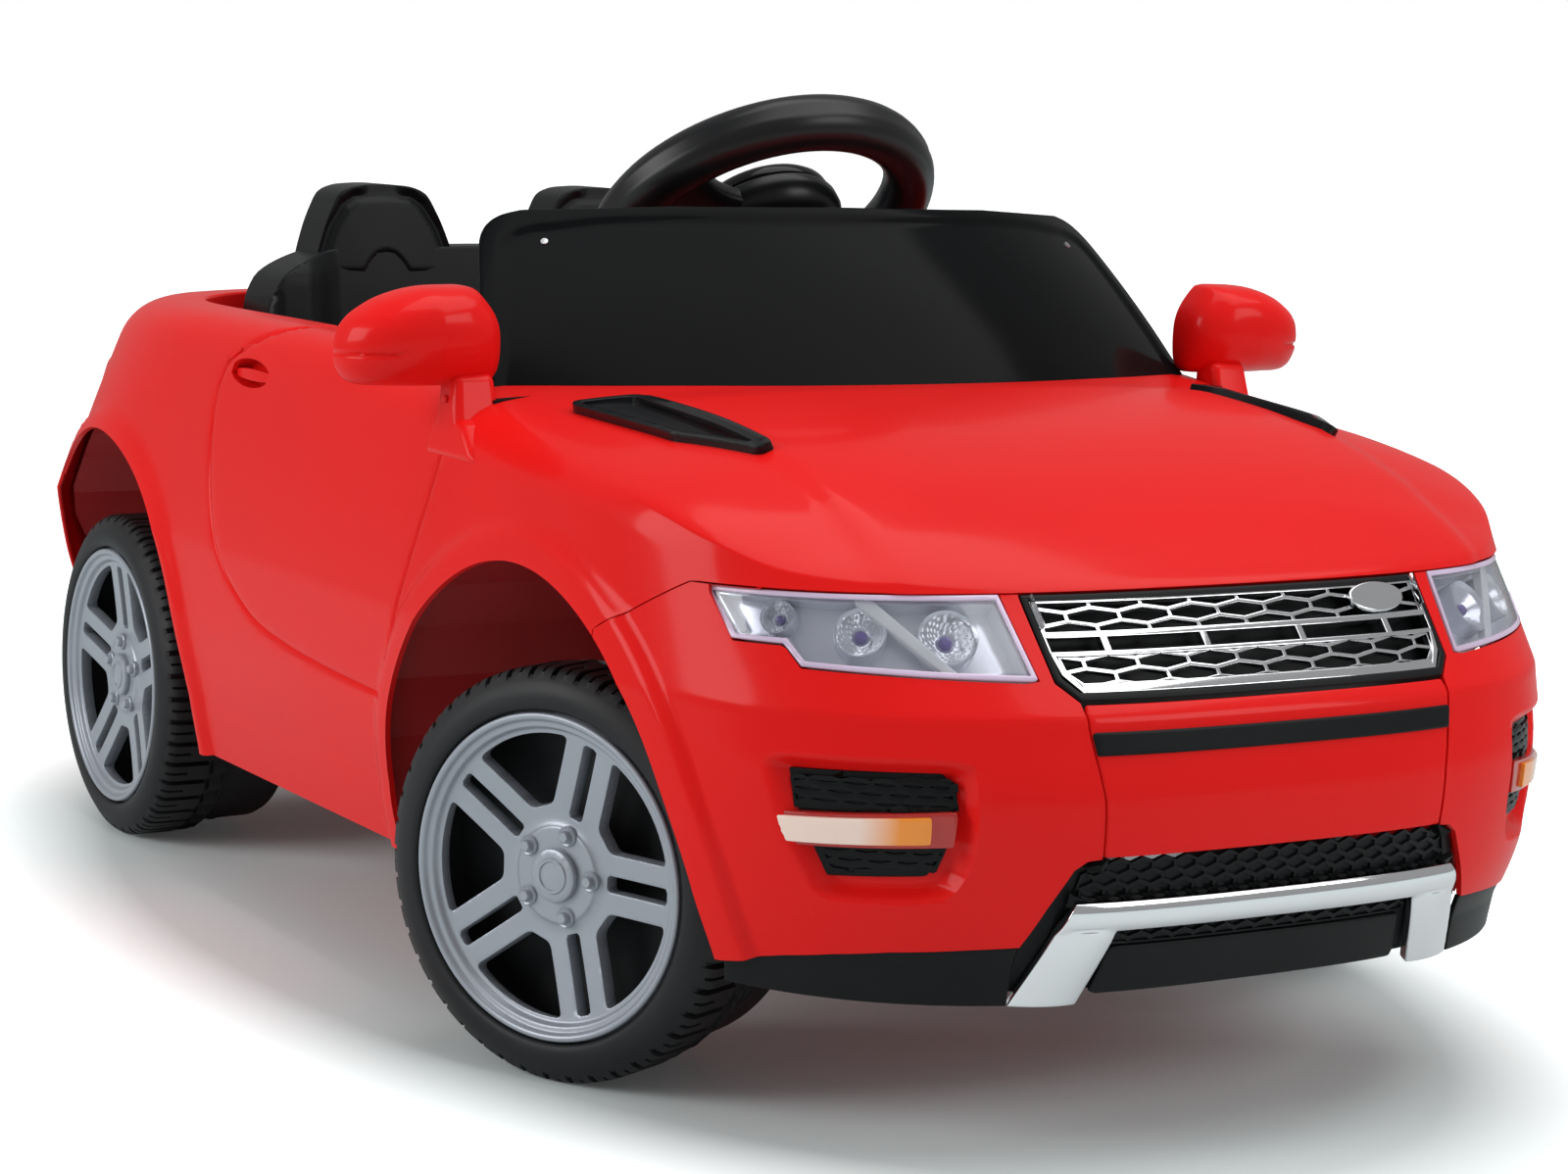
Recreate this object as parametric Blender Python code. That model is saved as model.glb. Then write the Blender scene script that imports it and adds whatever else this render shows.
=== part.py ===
"""A child's ride-on car: moulded body, steered front wheels, driven rear wheel.

Metres, +Z up, the car faces -Y and its left side is +X. Everything is drawn with
the rear axle at y = 0 and set back by REAR_AXLE_Y when it is placed, so that the
origin is under the middle of the car. "ahead" is a distance ahead of the rear axle.
"""
import math

import bpy
import bmesh
from mathutils import Matrix, Vector

for leftover in list(bpy.data.objects):
    bpy.data.objects.remove(leftover, do_unlink=True)

# Overall layout
REAR_AXLE_Y = 0.3310
WHEELBASE = 0.588
FIT_GAP = 0.0003

# Wheels and tyres
TYRE_RADIUS = 0.1034
TYRE_WIDTH = 0.092
TREAD_DEPTH = 0.0035
BARE_TYRE_RADIUS = TYRE_RADIUS - 0.0062
TREAD_LUGS = 16
RIM_RADIUS = 0.0815
RIM_BORE = 0.0125
RIM_GAP = 0.0011
HUB_END = 0.0700
WASHER_RADIUS = 0.0090
CAP_RADIUS = 0.0145
FRONT_SPOKE_TURN = math.radians(90)
BOLT_CIRCLE = 0.0190
BOLT_RADIUS = 0.0032
AXLE_RADIUS = 0.006
HUB_RADIUS = 0.018
REAR_WHEEL_FACE = 0.252
KINGPIN_X = 0.155
KINGPIN_TO_FACE = 0.112

# Steering
STEER_REST = math.radians(24.5)
STEER_ARM = 0.045
KINGPIN_RADIUS = 0.004
BARREL_RADIUS = 0.008
EAR_THICKNESS = 0.006
EAR_TOP = 0.152
EAR_BOTTOM = 0.070
ARM_TOP = 0.1362
ARM_THICKNESS = 0.006
TIE_ROD_THICKNESS = 0.005
TIE_ROD_WIDTH = 0.014
LINK_PIN_RADIUS = 0.003
OPEN_PIVOT_CLEARANCE = 0.0012
WHEEL_CENTRE = Vector((0.0, -0.386, 0.417))
COLUMN_RAKE = math.radians(37.7)
STEERING_WHEEL_RADIUS = 0.0885
STEERING_RIM_RADIUS = 0.0138
SHAFT_RADIUS = 0.005

# Body surface
BODY_BOTTOM = 0.084
VALANCE_BOTTOM = 0.078
SKIN = 0.003
WAIST_HEIGHT = 0.212
NOSE_CENTRE = 0.61
HOOD_EDGE_HEIGHT = 0.266
LOWER_TAIL_CENTRE = 0.05
UPPER_TAIL_CENTRE = 0.15
FRONT_ARCH = {"ahead": WHEELBASE + 0.020, "height": TYRE_RADIUS, "radius": TYRE_RADIUS + 0.0486}
REAR_ARCH = {"ahead": 0.004, "height": TYRE_RADIUS, "radius": TYRE_RADIUS + 0.0566}
COCKPIT_HALF_WIDTH = 0.212
COCKPIT_FRONT = 0.505
COCKPIT_REAR = -0.032

# Underbody
FLOOR_TOP = 0.0830
FLOOR_THICKNESS = 0.0032
FRONT_SHELF_TOP = 0.1580
REAR_SHELF_TOP = 0.1540
FRONT_WELL = {"ahead": WHEELBASE + 0.008, "radius": TYRE_RADIUS + 0.0566, "inner": 0.122}
REAR_WELL = {"ahead": REAR_ARCH["ahead"], "radius": TYRE_RADIUS + 0.0626, "inner": 0.148}
WALL = 0.003

# Rings of the lower body: height, half width, nose, tail and corner sharpness
LOWER_RINGS = [
    (0.075, 0.240, 0.862, 0.190, 2.90),
    (0.125, 0.257, 0.878, 0.212, 2.90),
    (0.170, 0.263, 0.884, 0.220, 2.90),
    (WAIST_HEIGHT, 0.264, 0.877, 0.222, 2.85),
]
LOWER_TAIL_POWER = 3.0
SHOULDER_RING = (0.253, 0.832, 0.200, 3.0)
SHOULDER_TAIL_POWER = 2.2

# Height of the shoulder line and of the middle line against distance ahead
SHOULDER_HEIGHTS = [
    (-0.20, 0.335), (-0.08, 0.341), (0.00, 0.343), (0.15, 0.345), (0.27, 0.346),
    (0.33, 0.344), (0.40, 0.335), (0.45, 0.331), (0.50, 0.325), (0.55, 0.313),
    (0.60, 0.307), (0.65, 0.303), (0.70, 0.297), (0.745, 0.284), (0.78, 0.272),
    (0.832, HOOD_EDGE_HEIGHT),
]
MIDDLE_HEIGHTS = [
    (-0.20, 0.335), (-0.12, 0.345), (0.00, 0.350), (0.30, 0.348), (0.50, 0.337),
    (0.567, 0.333), (0.62, 0.329), (0.683, 0.321), (0.74, 0.307), (0.78, 0.292),
    (0.81, 0.278), (0.832, HOOD_EDGE_HEIGHT),
]
CROWN_POWER = 4.0


def through(knots, x):
    """Smooth curve through (x, value) knots without overshoot."""
    if x <= knots[0][0]:
        return knots[0][1]
    if x >= knots[-1][0]:
        return knots[-1][1]
    i = max(k for k in range(len(knots) - 1) if knots[k][0] <= x)

    def secant(k):
        return (knots[k + 1][1] - knots[k][1]) / (knots[k + 1][0] - knots[k][0])

    def slope(k):
        if k == 0:
            return secant(0)
        if k == len(knots) - 1:
            return secant(k - 1)
        before, after = secant(k - 1), secant(k)
        return 0.0 if before * after <= 0 else 2 * before * after / (before + after)

    step = knots[i + 1][0] - knots[i][0]
    t = (x - knots[i][0]) / step
    start = (2 * t ** 3 - 3 * t * t + 1) * knots[i][1]
    start += (t ** 3 - 2 * t * t + t) * step * slope(i)
    end = (3 * t * t - 2 * t ** 3) * knots[i + 1][1]
    end += (t ** 3 - t * t) * step * slope(i + 1)
    return start + end


def mix(a, b, share):
    return a + (b - a) * share


def ring_sizes(height):
    """Half width, nose, tail, powers and tail centre of the body at a height."""
    if height <= WAIST_HEIGHT:
        columns = [[(row[0], row[k]) for row in LOWER_RINGS] for k in range(1, 5)]
        half, nose, tail, power = [through(column, height) for column in columns]
        return half, nose, tail, power, LOWER_TAIL_POWER, LOWER_TAIL_CENTRE
    return flank_sizes((height - WAIST_HEIGHT) / (HOOD_EDGE_HEIGHT - WAIST_HEIGHT))


def flank_sizes(share):
    """The same sizes at a share of the way from the waist up to the shoulder."""
    _, half, nose, tail, power = LOWER_RINGS[-1]
    half = mix(half, SHOULDER_RING[0], share)
    nose = mix(nose, SHOULDER_RING[1], share)
    tail = mix(tail, SHOULDER_RING[2], share)
    power = mix(power, SHOULDER_RING[3], share)
    tail_power = mix(LOWER_TAIL_POWER, SHOULDER_TAIL_POWER, share)
    return half, nose, tail, power, tail_power, mix(LOWER_TAIL_CENTRE, UPPER_TAIL_CENTRE, share)


def quarter(half, length, power, count, inset):
    """(x, distance) points of a rounded corner, evenly spaced before it is inset."""
    def corner(angle, amount):
        return ((half - amount) * math.sin(angle) ** (2 / power),
                (length - amount) * max(math.cos(angle), 0.0) ** (2 / power))
    steps = 90
    angles = [math.pi / 2 * k / steps for k in range(steps + 1)]
    dense = [corner(angle, 0.0) for angle in angles]
    lengths = [0.0]
    for a, b in zip(dense, dense[1:]):
        lengths.append(lengths[-1] + math.dist(a, b))
    points = [(0.0, length - inset)]
    k = 0
    for n in range(1, count):
        target = lengths[-1] * n / count
        while lengths[k + 1] < target:
            k += 1
        share = (target - lengths[k]) / (lengths[k + 1] - lengths[k])
        points.append(corner(mix(angles[k], angles[k + 1], share), inset))
    points.append((half - inset, 0.0))
    return points


def half_outline(sizes, inset):
    """(x, y) points from the nose round the left side to the tail."""
    half, nose, tail, power, tail_power, tail_centre = sizes
    front = quarter(half, nose - NOSE_CENTRE, power, NOSE_COLUMNS, inset)
    points = [(x, -NOSE_CENTRE - d) for x, d in front]
    for k in range(1, SIDE_COLUMNS):
        points.append((half - inset, mix(-NOSE_CENTRE, -tail_centre, k / SIDE_COLUMNS)))
    rear = quarter(half, tail + tail_centre, tail_power, TAIL_COLUMNS, inset)
    points += [(x, d - tail_centre) for x, d in reversed(rear)]
    return points


def shoulder_half_width(y, inset):
    """Half width inside the shoulder ring at a place along the car."""
    half, nose, tail, power, tail_power, tail_centre = flank_sizes(1.0)
    if -y > NOSE_CENTRE:
        reach = min((-y - NOSE_CENTRE) / (nose - inset - NOSE_CENTRE), 1.0)
        return (half - inset) * (1 - reach ** power) ** (1 / power)
    if y > -tail_centre:
        reach = min((y + tail_centre) / (tail - inset + tail_centre), 1.0)
        return (half - inset) * (1 - reach ** tail_power) ** (1 / tail_power)
    return half - inset


def top_height(x, y, inset=0.0):
    """Height of the hood and rear deck."""
    edge = through(SHOULDER_HEIGHTS, -y)
    middle = through(MIDDLE_HEIGHTS, -y)
    half = max(shoulder_half_width(y, inset), 1e-6)
    return edge + (middle - edge) * (1 - min(abs(x) / half, 1.0) ** CROWN_POWER) - inset


def fascia_y(x, z):
    """Place of the front face's outer surface."""
    half, nose, _, power, _, _ = ring_sizes(z)
    reach = min(abs(x) / half, 0.999)
    return -NOSE_CENTRE - (nose - NOSE_CENTRE) * (1 - reach ** power) ** (1 / power)


NOSE_COLUMNS = 14
SIDE_COLUMNS = 9
TAIL_COLUMNS = 7
LOWER_STEPS = (0.125, 0.170, WAIST_HEIGHT)
FLANK_STEPS = (0.5,)
TOP_STEPS = (0.10, 0.32, 0.64, 1.0)


def body_rings(inset, bottom):
    """Closed rings of the body surface from its bottom edge to its middle line."""
    halves = []
    for height in (bottom,) + LOWER_STEPS:
        outline = half_outline(ring_sizes(height), inset)
        halves.append([(x, y, height) for x, y in outline])
    for share in FLANK_STEPS + (1.0,):
        outline = half_outline(flank_sizes(share), inset)
        halves.append([
            (x, y, mix(WAIST_HEIGHT, through(SHOULDER_HEIGHTS, -y) - inset, share))
            for x, y in outline
        ])
    shoulder = halves[-1]
    for share in TOP_STEPS:
        row = []
        for x, y, _ in shoulder:
            spine = min(max(y, -NOSE_CENTRE), -UPPER_TAIL_CENTRE)
            spine += 0.25 * (y - spine)
            place = mix(y, spine, share)
            across = x * (1 - share)
            row.append((across, place, top_height(across, place, inset)))
        halves.append(row)
    halves[-1][0] = halves[-1][1]
    halves[-1][-1] = halves[-1][-2]
    rings = []
    for half in halves:
        rings.append(half + [(-x, y, z) for x, y, z in reversed(half[1:-1])])
    return rings


def loose(name, bm):
    """A working object made of a bmesh, before it is finished or used up."""
    mesh = bpy.data.meshes.new(name)
    bm.to_mesh(mesh)
    bm.free()
    obj = bpy.data.objects.new(name, mesh)
    bpy.context.scene.collection.objects.link(obj)
    return obj


def face_out(bm):
    bmesh.ops.recalc_face_normals(bm, faces=bm.faces)
    if bm.calc_volume(signed=True) < 0:
        bmesh.ops.reverse_faces(bm, faces=bm.faces)


def loft(rings, name="loft", cap_first=True, cap_last=True, ring_to_ring=False):
    """Skin over closed rings of equal count; the last can join the first."""
    bm = bmesh.new()
    rows = [[bm.verts.new(point) for point in ring] for ring in rings]
    pairs = list(zip(rows, rows[1:]))
    if ring_to_ring:
        pairs.append((rows[-1], rows[0]))
    for low, high in pairs:
        for k in range(len(low)):
            nxt = (k + 1) % len(low)
            bm.faces.new((low[k], low[nxt], high[nxt], high[k]))
    if cap_first and not ring_to_ring:
        bm.faces.new(list(reversed(rows[0])))
    if cap_last and not ring_to_ring:
        bm.faces.new(rows[-1])
    tidy(bm)
    return loose(name, bm)


def add_skin(bm, rings):
    """Triangles over the body's rings, laid the same way on both sides of the car."""
    rows = [[bm.verts.new(point) for point in ring] for ring in rings]
    for low, high in zip(rows, rows[1:]):
        for k in range(len(low)):
            a, b = low[k], low[(k + 1) % len(low)]
            d, c = high[k], high[(k + 1) % len(low)]
            halves = ((a, b, c), (a, c, d)) if k < len(low) / 2 else ((a, b, d), (b, c, d))
            for half in halves:
                bm.faces.new(half)
    return rows[0]


def tidy(bm):
    bmesh.ops.remove_doubles(bm, verts=bm.verts, dist=1e-7)
    bmesh.ops.dissolve_degenerate(bm, edges=bm.edges, dist=1e-7)
    face_out(bm)


def body_solid(inset, bottom):
    bm = bmesh.new()
    bm.faces.new(add_skin(bm, body_rings(inset, bottom)))
    tidy(bm)
    return loose("body_solid", bm)


def body_skin(outer, inner, bottom):
    """A shell of the body surface between two insets, open underneath."""
    bm = bmesh.new()
    outside = add_skin(bm, body_rings(outer, bottom))
    inside = add_skin(bm, body_rings(inner, bottom))
    for k in range(len(outside)):
        nxt = (k + 1) % len(outside)
        bm.faces.new((outside[k], outside[nxt], inside[nxt], inside[k]))
    tidy(bm)
    return loose("body_skin", bm)


def prism(outline, axis, low, high, name="prism"):
    """An outline in the two other axes, in X, Y, Z order, drawn out along one axis."""
    def point(u, v, w):
        return {"X": (w, u, v), "Y": (u, w, v), "Z": (u, v, w)}[axis]
    return loft([[point(u, v, w) for u, v in outline] for w in (low, high)], name)


def box(x, y, z, name="box"):
    return prism([(x[0], y[0]), (x[1], y[0]), (x[1], y[1]), (x[0], y[1])], "Z", z[0], z[1], name)


def circle(u, v, radius, count, turn=0.0):
    return [
        (u + radius * math.cos(turn + 2 * math.pi * k / count),
         v + radius * math.sin(turn + 2 * math.pi * k / count))
        for k in range(count)
    ]


def rod(start, end, radius, sides=12, end_radius=None, name="rod"):
    """A round bar between two points, tapered if end_radius is given."""
    start, end = Vector(start), Vector(end)
    turn = (end - start).to_track_quat("Z", "Y").to_matrix()
    rings = []
    for centre, r in ((start, radius), (end, radius if end_radius is None else end_radius)):
        rings.append([centre + turn @ Vector((u, v, 0)) for u, v in circle(0, 0, r, sides)])
    return loft(rings, name)


def turned(profile, count, closed=True, ripple=None, name="turned"):
    """Revolve an (x, radius) profile round the X axis; ripple changes a radius by place."""
    rings = []
    for k in range(count):
        angle = 2 * math.pi * k / count - math.pi / 2
        ring = []
        for n, (x, radius) in enumerate(profile):
            r = radius if ripple is None else ripple(n, k, radius)
            ring.append((x, r * math.cos(angle), r * math.sin(angle)))
        rings.append(ring)
    return loft(rings, name, ring_to_ring=closed)


def combine(base, tool, operation):
    """Join, cut or keep the common part of two working objects; the tool is used up."""
    step = base.modifiers.new("Combine", "BOOLEAN")
    step.operation = operation
    step.solver = "EXACT"
    step.object = tool
    graph = bpy.context.evaluated_depsgraph_get()
    result = bpy.data.meshes.new_from_object(base.evaluated_get(graph))
    base.modifiers.clear()
    base.data = result
    bpy.data.objects.remove(tool, do_unlink=True)
    return base


def join(base, *tools):
    for tool in tools:
        combine(base, tool, "UNION")
    return base


def cut(base, *tools):
    for tool in tools:
        combine(base, tool, "DIFFERENCE")
    return base


def keep(base, tool):
    return combine(base, tool, "INTERSECT")


def cluster(pieces):
    """One working object of several that stand clear of each other."""
    bm = bmesh.new()
    for piece in pieces:
        bm.from_mesh(piece.data)
        bpy.data.objects.remove(piece, do_unlink=True)
    return loose("cluster", bm)


def moved(obj, matrix):
    obj.data.transform(matrix)
    if matrix.determinant() < 0:
        obj.data.flip_normals()
    return obj


def other_side(obj):
    """A copy of a left piece's mesh as the right piece."""
    copy = bpy.data.objects.new("right", obj.data.copy())
    bpy.context.scene.collection.objects.link(copy)
    return moved(copy, Matrix.Diagonal((-1, 1, 1, 1)))


def finish_pair(obj, name, look):
    finish(other_side(obj), f"{name}_right", look)
    finish(obj, f"{name}_left", look)


def mirrored(outline):
    return [(-u, v) for u, v in reversed(outline)]


def grown(outline, amount):
    """An outline moved outwards by an amount, with mitred corners."""
    area = sum(a[0] * b[1] - b[0] * a[1] for a, b in zip(outline, outline[1:] + outline[:1]))
    side = 1 if area > 0 else -1
    result = []
    for k, here in enumerate(outline):
        before, after = outline[k - 1], outline[(k + 1) % len(outline)]
        a = Vector((here[0] - before[0], here[1] - before[1])).normalized()
        b = Vector((after[0] - here[0], after[1] - here[1])).normalized()
        na, nb = Vector((a.y, -a.x)) * side, Vector((b.y, -b.x)) * side
        bisector = (na + nb).normalized()
        reach = amount / max(bisector.dot(na), 0.3)
        result.append((here[0] + bisector.x * reach, here[1] + bisector.y * reach))
    return result


MATERIALS = {}


def material(name, colour, roughness, metallic=0.0):
    if name not in MATERIALS:
        mat = bpy.data.materials.new(name)
        mat.use_nodes = True
        shader = mat.node_tree.nodes["Principled BSDF"]
        shader.inputs["Base Color"].default_value = (*colour, 1.0)
        shader.inputs["Roughness"].default_value = roughness
        shader.inputs["Metallic"].default_value = metallic
        mat.diffuse_color = (*colour, 1.0)
        MATERIALS[name] = mat
    return MATERIALS[name]


RED = ("red_plastic", (0.60, 0.012, 0.016), 0.22)
DARK_RED = ("inner_red_plastic", (0.30, 0.008, 0.010), 0.45)
BLACK = ("black_plastic", (0.012, 0.012, 0.013), 0.42)
GLOSS_BLACK = ("gloss_black_plastic", (0.008, 0.008, 0.009), 0.12)
TYRE_BLACK = ("tyre_black", (0.015, 0.015, 0.016), 0.60)
SILVER = ("silver_paint", (0.52, 0.53, 0.56), 0.35, 0.6)
CHROME = ("chrome_plating", (0.78, 0.78, 0.80), 0.10, 1.0)
STEEL = ("zinc_steel", (0.50, 0.50, 0.52), 0.38, 1.0)
CLEAR = ("clear_plastic", (0.78, 0.80, 0.86), 0.08)
AMBER = ("amber_lens", (0.85, 0.28, 0.04), 0.18)
RED_LENS = ("red_lens", (0.62, 0.03, 0.02), 0.15)


def finish(obj, name, look, pivot=None, parent=None):
    """Name a piece, give it its material and put its origin on its pivot."""
    obj.name = name
    obj.data.name = name
    obj.data.materials.clear()
    obj.data.materials.append(material(*look))
    pivot = Vector((0, 0, 0)) if pivot is None else Vector(pivot)
    obj.data.transform(Matrix.Translation(-pivot))
    obj.location = pivot
    if parent is None:
        obj.location.y += REAR_AXLE_Y
    else:
        obj.parent = parent
    obj.data.shade_smooth()
    obj.data.set_sharp_from_angle(angle=math.radians(32))
    return obj


def axis_empty(name, place, rotation):
    empty = bpy.data.objects.new(name, None)
    empty.location = Vector(place) + Vector((0, REAR_AXLE_Y, 0))
    empty.rotation_euler = rotation
    bpy.context.scene.collection.objects.link(empty)
    return empty


# Outlines on the front face, as (x, z), for the car's left side
LAMP = [(0.1218, 0.2270), (0.2135, 0.2308), (0.2169, 0.2398), (0.2318, 0.2400),
        (0.2354, 0.2625), (0.1262, 0.2632)]
RECESS = [(0.1615, 0.1964), (0.1600, 0.1500), (0.1710, 0.1289), (0.2092, 0.1312),
          (0.2237, 0.1660), (0.2266, 0.1923)]
FOG_INSERT = [(0.1655, 0.1887), (0.1640, 0.1600), (0.1700, 0.1400), (0.2095, 0.1375),
              (0.2200, 0.1660), (0.2217, 0.1842)]
TURN_LAMP = [(0.1640, 0.1560), (0.2185, 0.1535), (0.2220, 0.1650), (0.1640, 0.1690)]
# Outlines of the middle pieces, half of each, from the bottom to the top
PANEL_HALF = [(0.0935, 0.1487), (0.0990, 0.1760), (0.1045, 0.2060), (0.1052, 0.2182)]
GRILLE_HALF = [(0.1060, 0.2188), (0.1145, 0.2268), (0.1165, 0.2632)]
STRIP_HALF = [(0.1012, 0.1956), (0.1033, 0.2060)]
MESH_PANEL_HALF = [(0.1300, VALANCE_BOTTOM), (0.1300, 0.1070), (0.1215, 0.1255),
                   (0.1115, 0.1445), (0.1035, 0.1480)]
TRIM_OUTER_HALF = [(0.1290, 0.0770), (0.1095, 0.1280)]
TRIM_INNER_HALF = [(0.1000, 0.0700), (0.0865, 0.1160)]
# Lower edge of the red bumper, from the mesh panel round to the wheel arch
BUMPER_FOOT = [(0.1305, 0.1073), (0.1390, 0.1055), (0.1790, 0.0900), (0.2120, 0.0915), (0.3000, 0.0920)]
BUMPER_TOP = 0.2635


def both_sides(half):
    """A closed outline from its half, drawn bottom to top on the left side."""
    return half + mirrored(half)


def on_nose(outline, outer, inner, bottom=VALANCE_BOTTOM):
    """A plate between two insets of the front face, cut to an outline seen from ahead."""
    return keep(body_skin(outer, inner, bottom), prism(outline, "Y", -1.2, -0.65))


def bumper_region(clearance):
    """What lies below and ahead of the seam between hood, fenders and bumper."""
    c = clearance
    outline = [(-1.0, -0.1), (-0.690 + c, -0.1), (-0.690 + c, 0.235 + c),
               (-0.742 + c, BUMPER_TOP + c), (-1.0, BUMPER_TOP + c)]
    return prism(outline, "X", -0.5, 0.5)


def rear_bumper_region(clearance):
    c = clearance
    return box((-0.5, 0.5), (0.100 - c, 0.5), (-0.1, 0.225 + c))


def below_foot(clearance):
    """What lies below the bumper's lower edge."""
    foot = [(x, z - clearance) for x, z in BUMPER_FOOT]
    end = foot[-1][0]
    outline = [(-end, -0.1), (end, -0.1)] + foot[::-1] + [(-x, z) for x, z in foot]
    return prism(outline, "Y", -1.2, 1.0)


def upright(half_width, low, high):
    """A rectangle on the front face, centred on the car."""
    return [(-half_width, low), (half_width, low), (half_width, high), (-half_width, high)]


def arch_cutters(extra=0.0):
    """Cylinders that open the wheel arches on both sides."""
    cutters = []
    for arch in (FRONT_ARCH, REAR_ARCH):
        ring = circle(-arch["ahead"], arch["height"], arch["radius"] + extra, 32)
        cutters.append(prism(ring, "X", 0.200, 0.40))
        cutters.append(prism(ring, "X", -0.40, -0.200))
    return cutters


def rounded_plan(half_width, front, rear, power, count):
    """A closed rounded outline between two places along the car."""
    middle, half_length = (front + rear) / 2, (front - rear) / 2
    points = []
    for k in range(count):
        angle = 2 * math.pi * (k + 0.5) / count
        c, s = math.cos(angle), math.sin(angle)
        x = half_width * math.copysign(abs(c) ** (2 / power), c)
        points.append((x, -middle + half_length * math.copysign(abs(s) ** (2 / power), s)))
    return points


def make_body_shell():
    shell = body_skin(0.0, SKIN, BODY_BOTTOM)
    cockpit = rounded_plan(COCKPIT_HALF_WIDTH, COCKPIT_FRONT, COCKPIT_REAR, 5.0, 32)
    cut(shell, prism(cockpit, "Z", 0.25, 0.45))
    cut(shell, bumper_region(0.0), rear_bumper_region(0.0), *arch_cutters())
    return finish(shell, "body_shell", RED)


def make_front_bumper():
    bumper = keep(body_skin(0.0, SKIN, BODY_BOTTOM), bumper_region(-FIT_GAP))
    cut(bumper, below_foot(0.0), *arch_cutters())
    half = [(0.1305, 0.06), (0.1305, 0.1073), (0.1118, 0.1483), (0.0990, 0.1487), (0.1000, 0.1760),
            (0.1055, 0.2060), (0.1063, 0.2185), (0.1150, 0.2266), (0.1172, 0.2640), (0.1175, 0.29)]
    cut(bumper, prism(both_sides(half), "Y", -1.2, -0.65))
    rail = on_nose(upright(0.1215, 0.154, 0.213), SKIN + 0.0004, SKIN + 0.0032)
    tabs = on_nose(upright(0.1205, 0.156, 0.211), 0.4 * SKIN, SKIN + 0.0025)
    cut(tabs, box((-0.1090, 0.1090), (-1.2, -0.65), (0.1, 0.3)))
    join(bumper, join(rail, tabs))
    for flip in (False, True):
        recess = mirrored(RECESS) if flip else RECESS
        lamp = grown(LAMP, FIT_GAP)
        lamp = lamp[:-1] + [(lamp[-2][0], 0.29), (lamp[-1][0], 0.29), lamp[-1]]
        lamp = mirrored(lamp) if flip else lamp
        pocket = on_nose(grown(recess, 0.0025), 0.0015, 0.0180)
        join(bumper, pocket)
        cut(bumper, on_nose(recess, -0.010, 0.0155))
        cut(bumper, prism(lamp, "Y", -1.2, -0.65))
    return finish(bumper, "front_bumper", RED)


def make_rear_bumper():
    bumper = keep(body_skin(0.0, SKIN, BODY_BOTTOM), rear_bumper_region(-FIT_GAP))
    cut(bumper, *arch_cutters())
    return finish(bumper, "rear_bumper", RED)


def make_front_trim():
    """Centre panel, black strip, lower mesh panel and plated bumper trim."""
    panel = on_nose(grown(both_sides(PANEL_HALF), -FIT_GAP), 0.0, SKIN)
    finish(panel, "centre_panel", RED)
    strip = on_nose(both_sides(STRIP_HALF), -0.0016, -FIT_GAP)
    finish(strip, "front_strip", BLACK)
    mesh = on_nose(grown(both_sides(MESH_PANEL_HALF), -FIT_GAP), 0.0045, 0.0075)
    finish(mesh, "lower_mesh_panel", BLACK)
    trim_outline = TRIM_OUTER_HALF + mirrored(TRIM_OUTER_HALF)
    trim = on_nose(trim_outline, -0.0025, 0.0042)
    cut(trim, prism(both_sides(TRIM_INNER_HALF), "Y", -1.2, -0.65))
    finish(trim, "bumper_trim", CHROME)


def make_valance():
    """The black lip under the bumper, tied behind the mesh panel by a rail."""
    lip = keep(body_skin(-0.002, 0.0025, VALANCE_BOTTOM), bumper_region(-FIT_GAP))
    keep(lip, below_foot(FIT_GAP))
    cut(lip, *arch_cutters())
    cut(lip, box((-0.1303, 0.1303), (-1.2, -0.65), (0.0, 0.2)))
    rail = on_nose(upright(0.150, 0.0, 0.095), 0.0079, 0.0110, VALANCE_BOTTOM + 0.0005)
    ears = on_nose(upright(0.147, 0.0, 0.093), 0.0012, 0.0104, VALANCE_BOTTOM + 0.0010)
    cut(ears, box((-0.1320, 0.1320), (-1.2, -0.65), (0.0, 0.2)))
    join(lip, ears, rail)
    return finish(lip, "bumper_valance", BLACK)


HEX_PITCH = 0.0277
HEX_PEAK = 0.00375
HEX_SIDE = 0.0018
MESH_BAR = 0.0019
SMALLEST_CELL = 6e-6
HEX_BANDS = [{"low": 0.2462, "high": 0.2602, "row": 0.2535},
             {"low": 0.2262, "high": 0.2374, "row": 0.2341}]
SLOT_ROW = {"low": 0.2388, "high": 0.2446, "dividers": (-0.0825, -0.0280, 0.0280, 0.0825), "bar": 0.0035}


def hexagon(x, z):
    """A flat wide cell with its points up and down, less half a bar all round."""
    half, peak = HEX_PITCH / 2 - MESH_BAR / 2, HEX_PEAK - MESH_BAR / 2
    return [(x - half, z - HEX_SIDE), (x, z - peak), (x + half, z - HEX_SIDE),
            (x + half, z + HEX_SIDE), (x, z + peak), (x - half, z + HEX_SIDE)]


def clipped(outline, axis, limit, way):
    """The part of an outline on one side of a limit along one of its two axes."""
    result = []
    for k, here in enumerate(outline):
        before = outline[k - 1]
        inside, was_inside = (way * (p[axis] - limit) > 0 for p in (here, before))
        if inside != was_inside:
            share = (limit - before[axis]) / (here[axis] - before[axis])
            result.append(tuple(mix(before[n], here[n], share) for n in (0, 1)))
        if inside:
            result.append(here)
    return result


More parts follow.
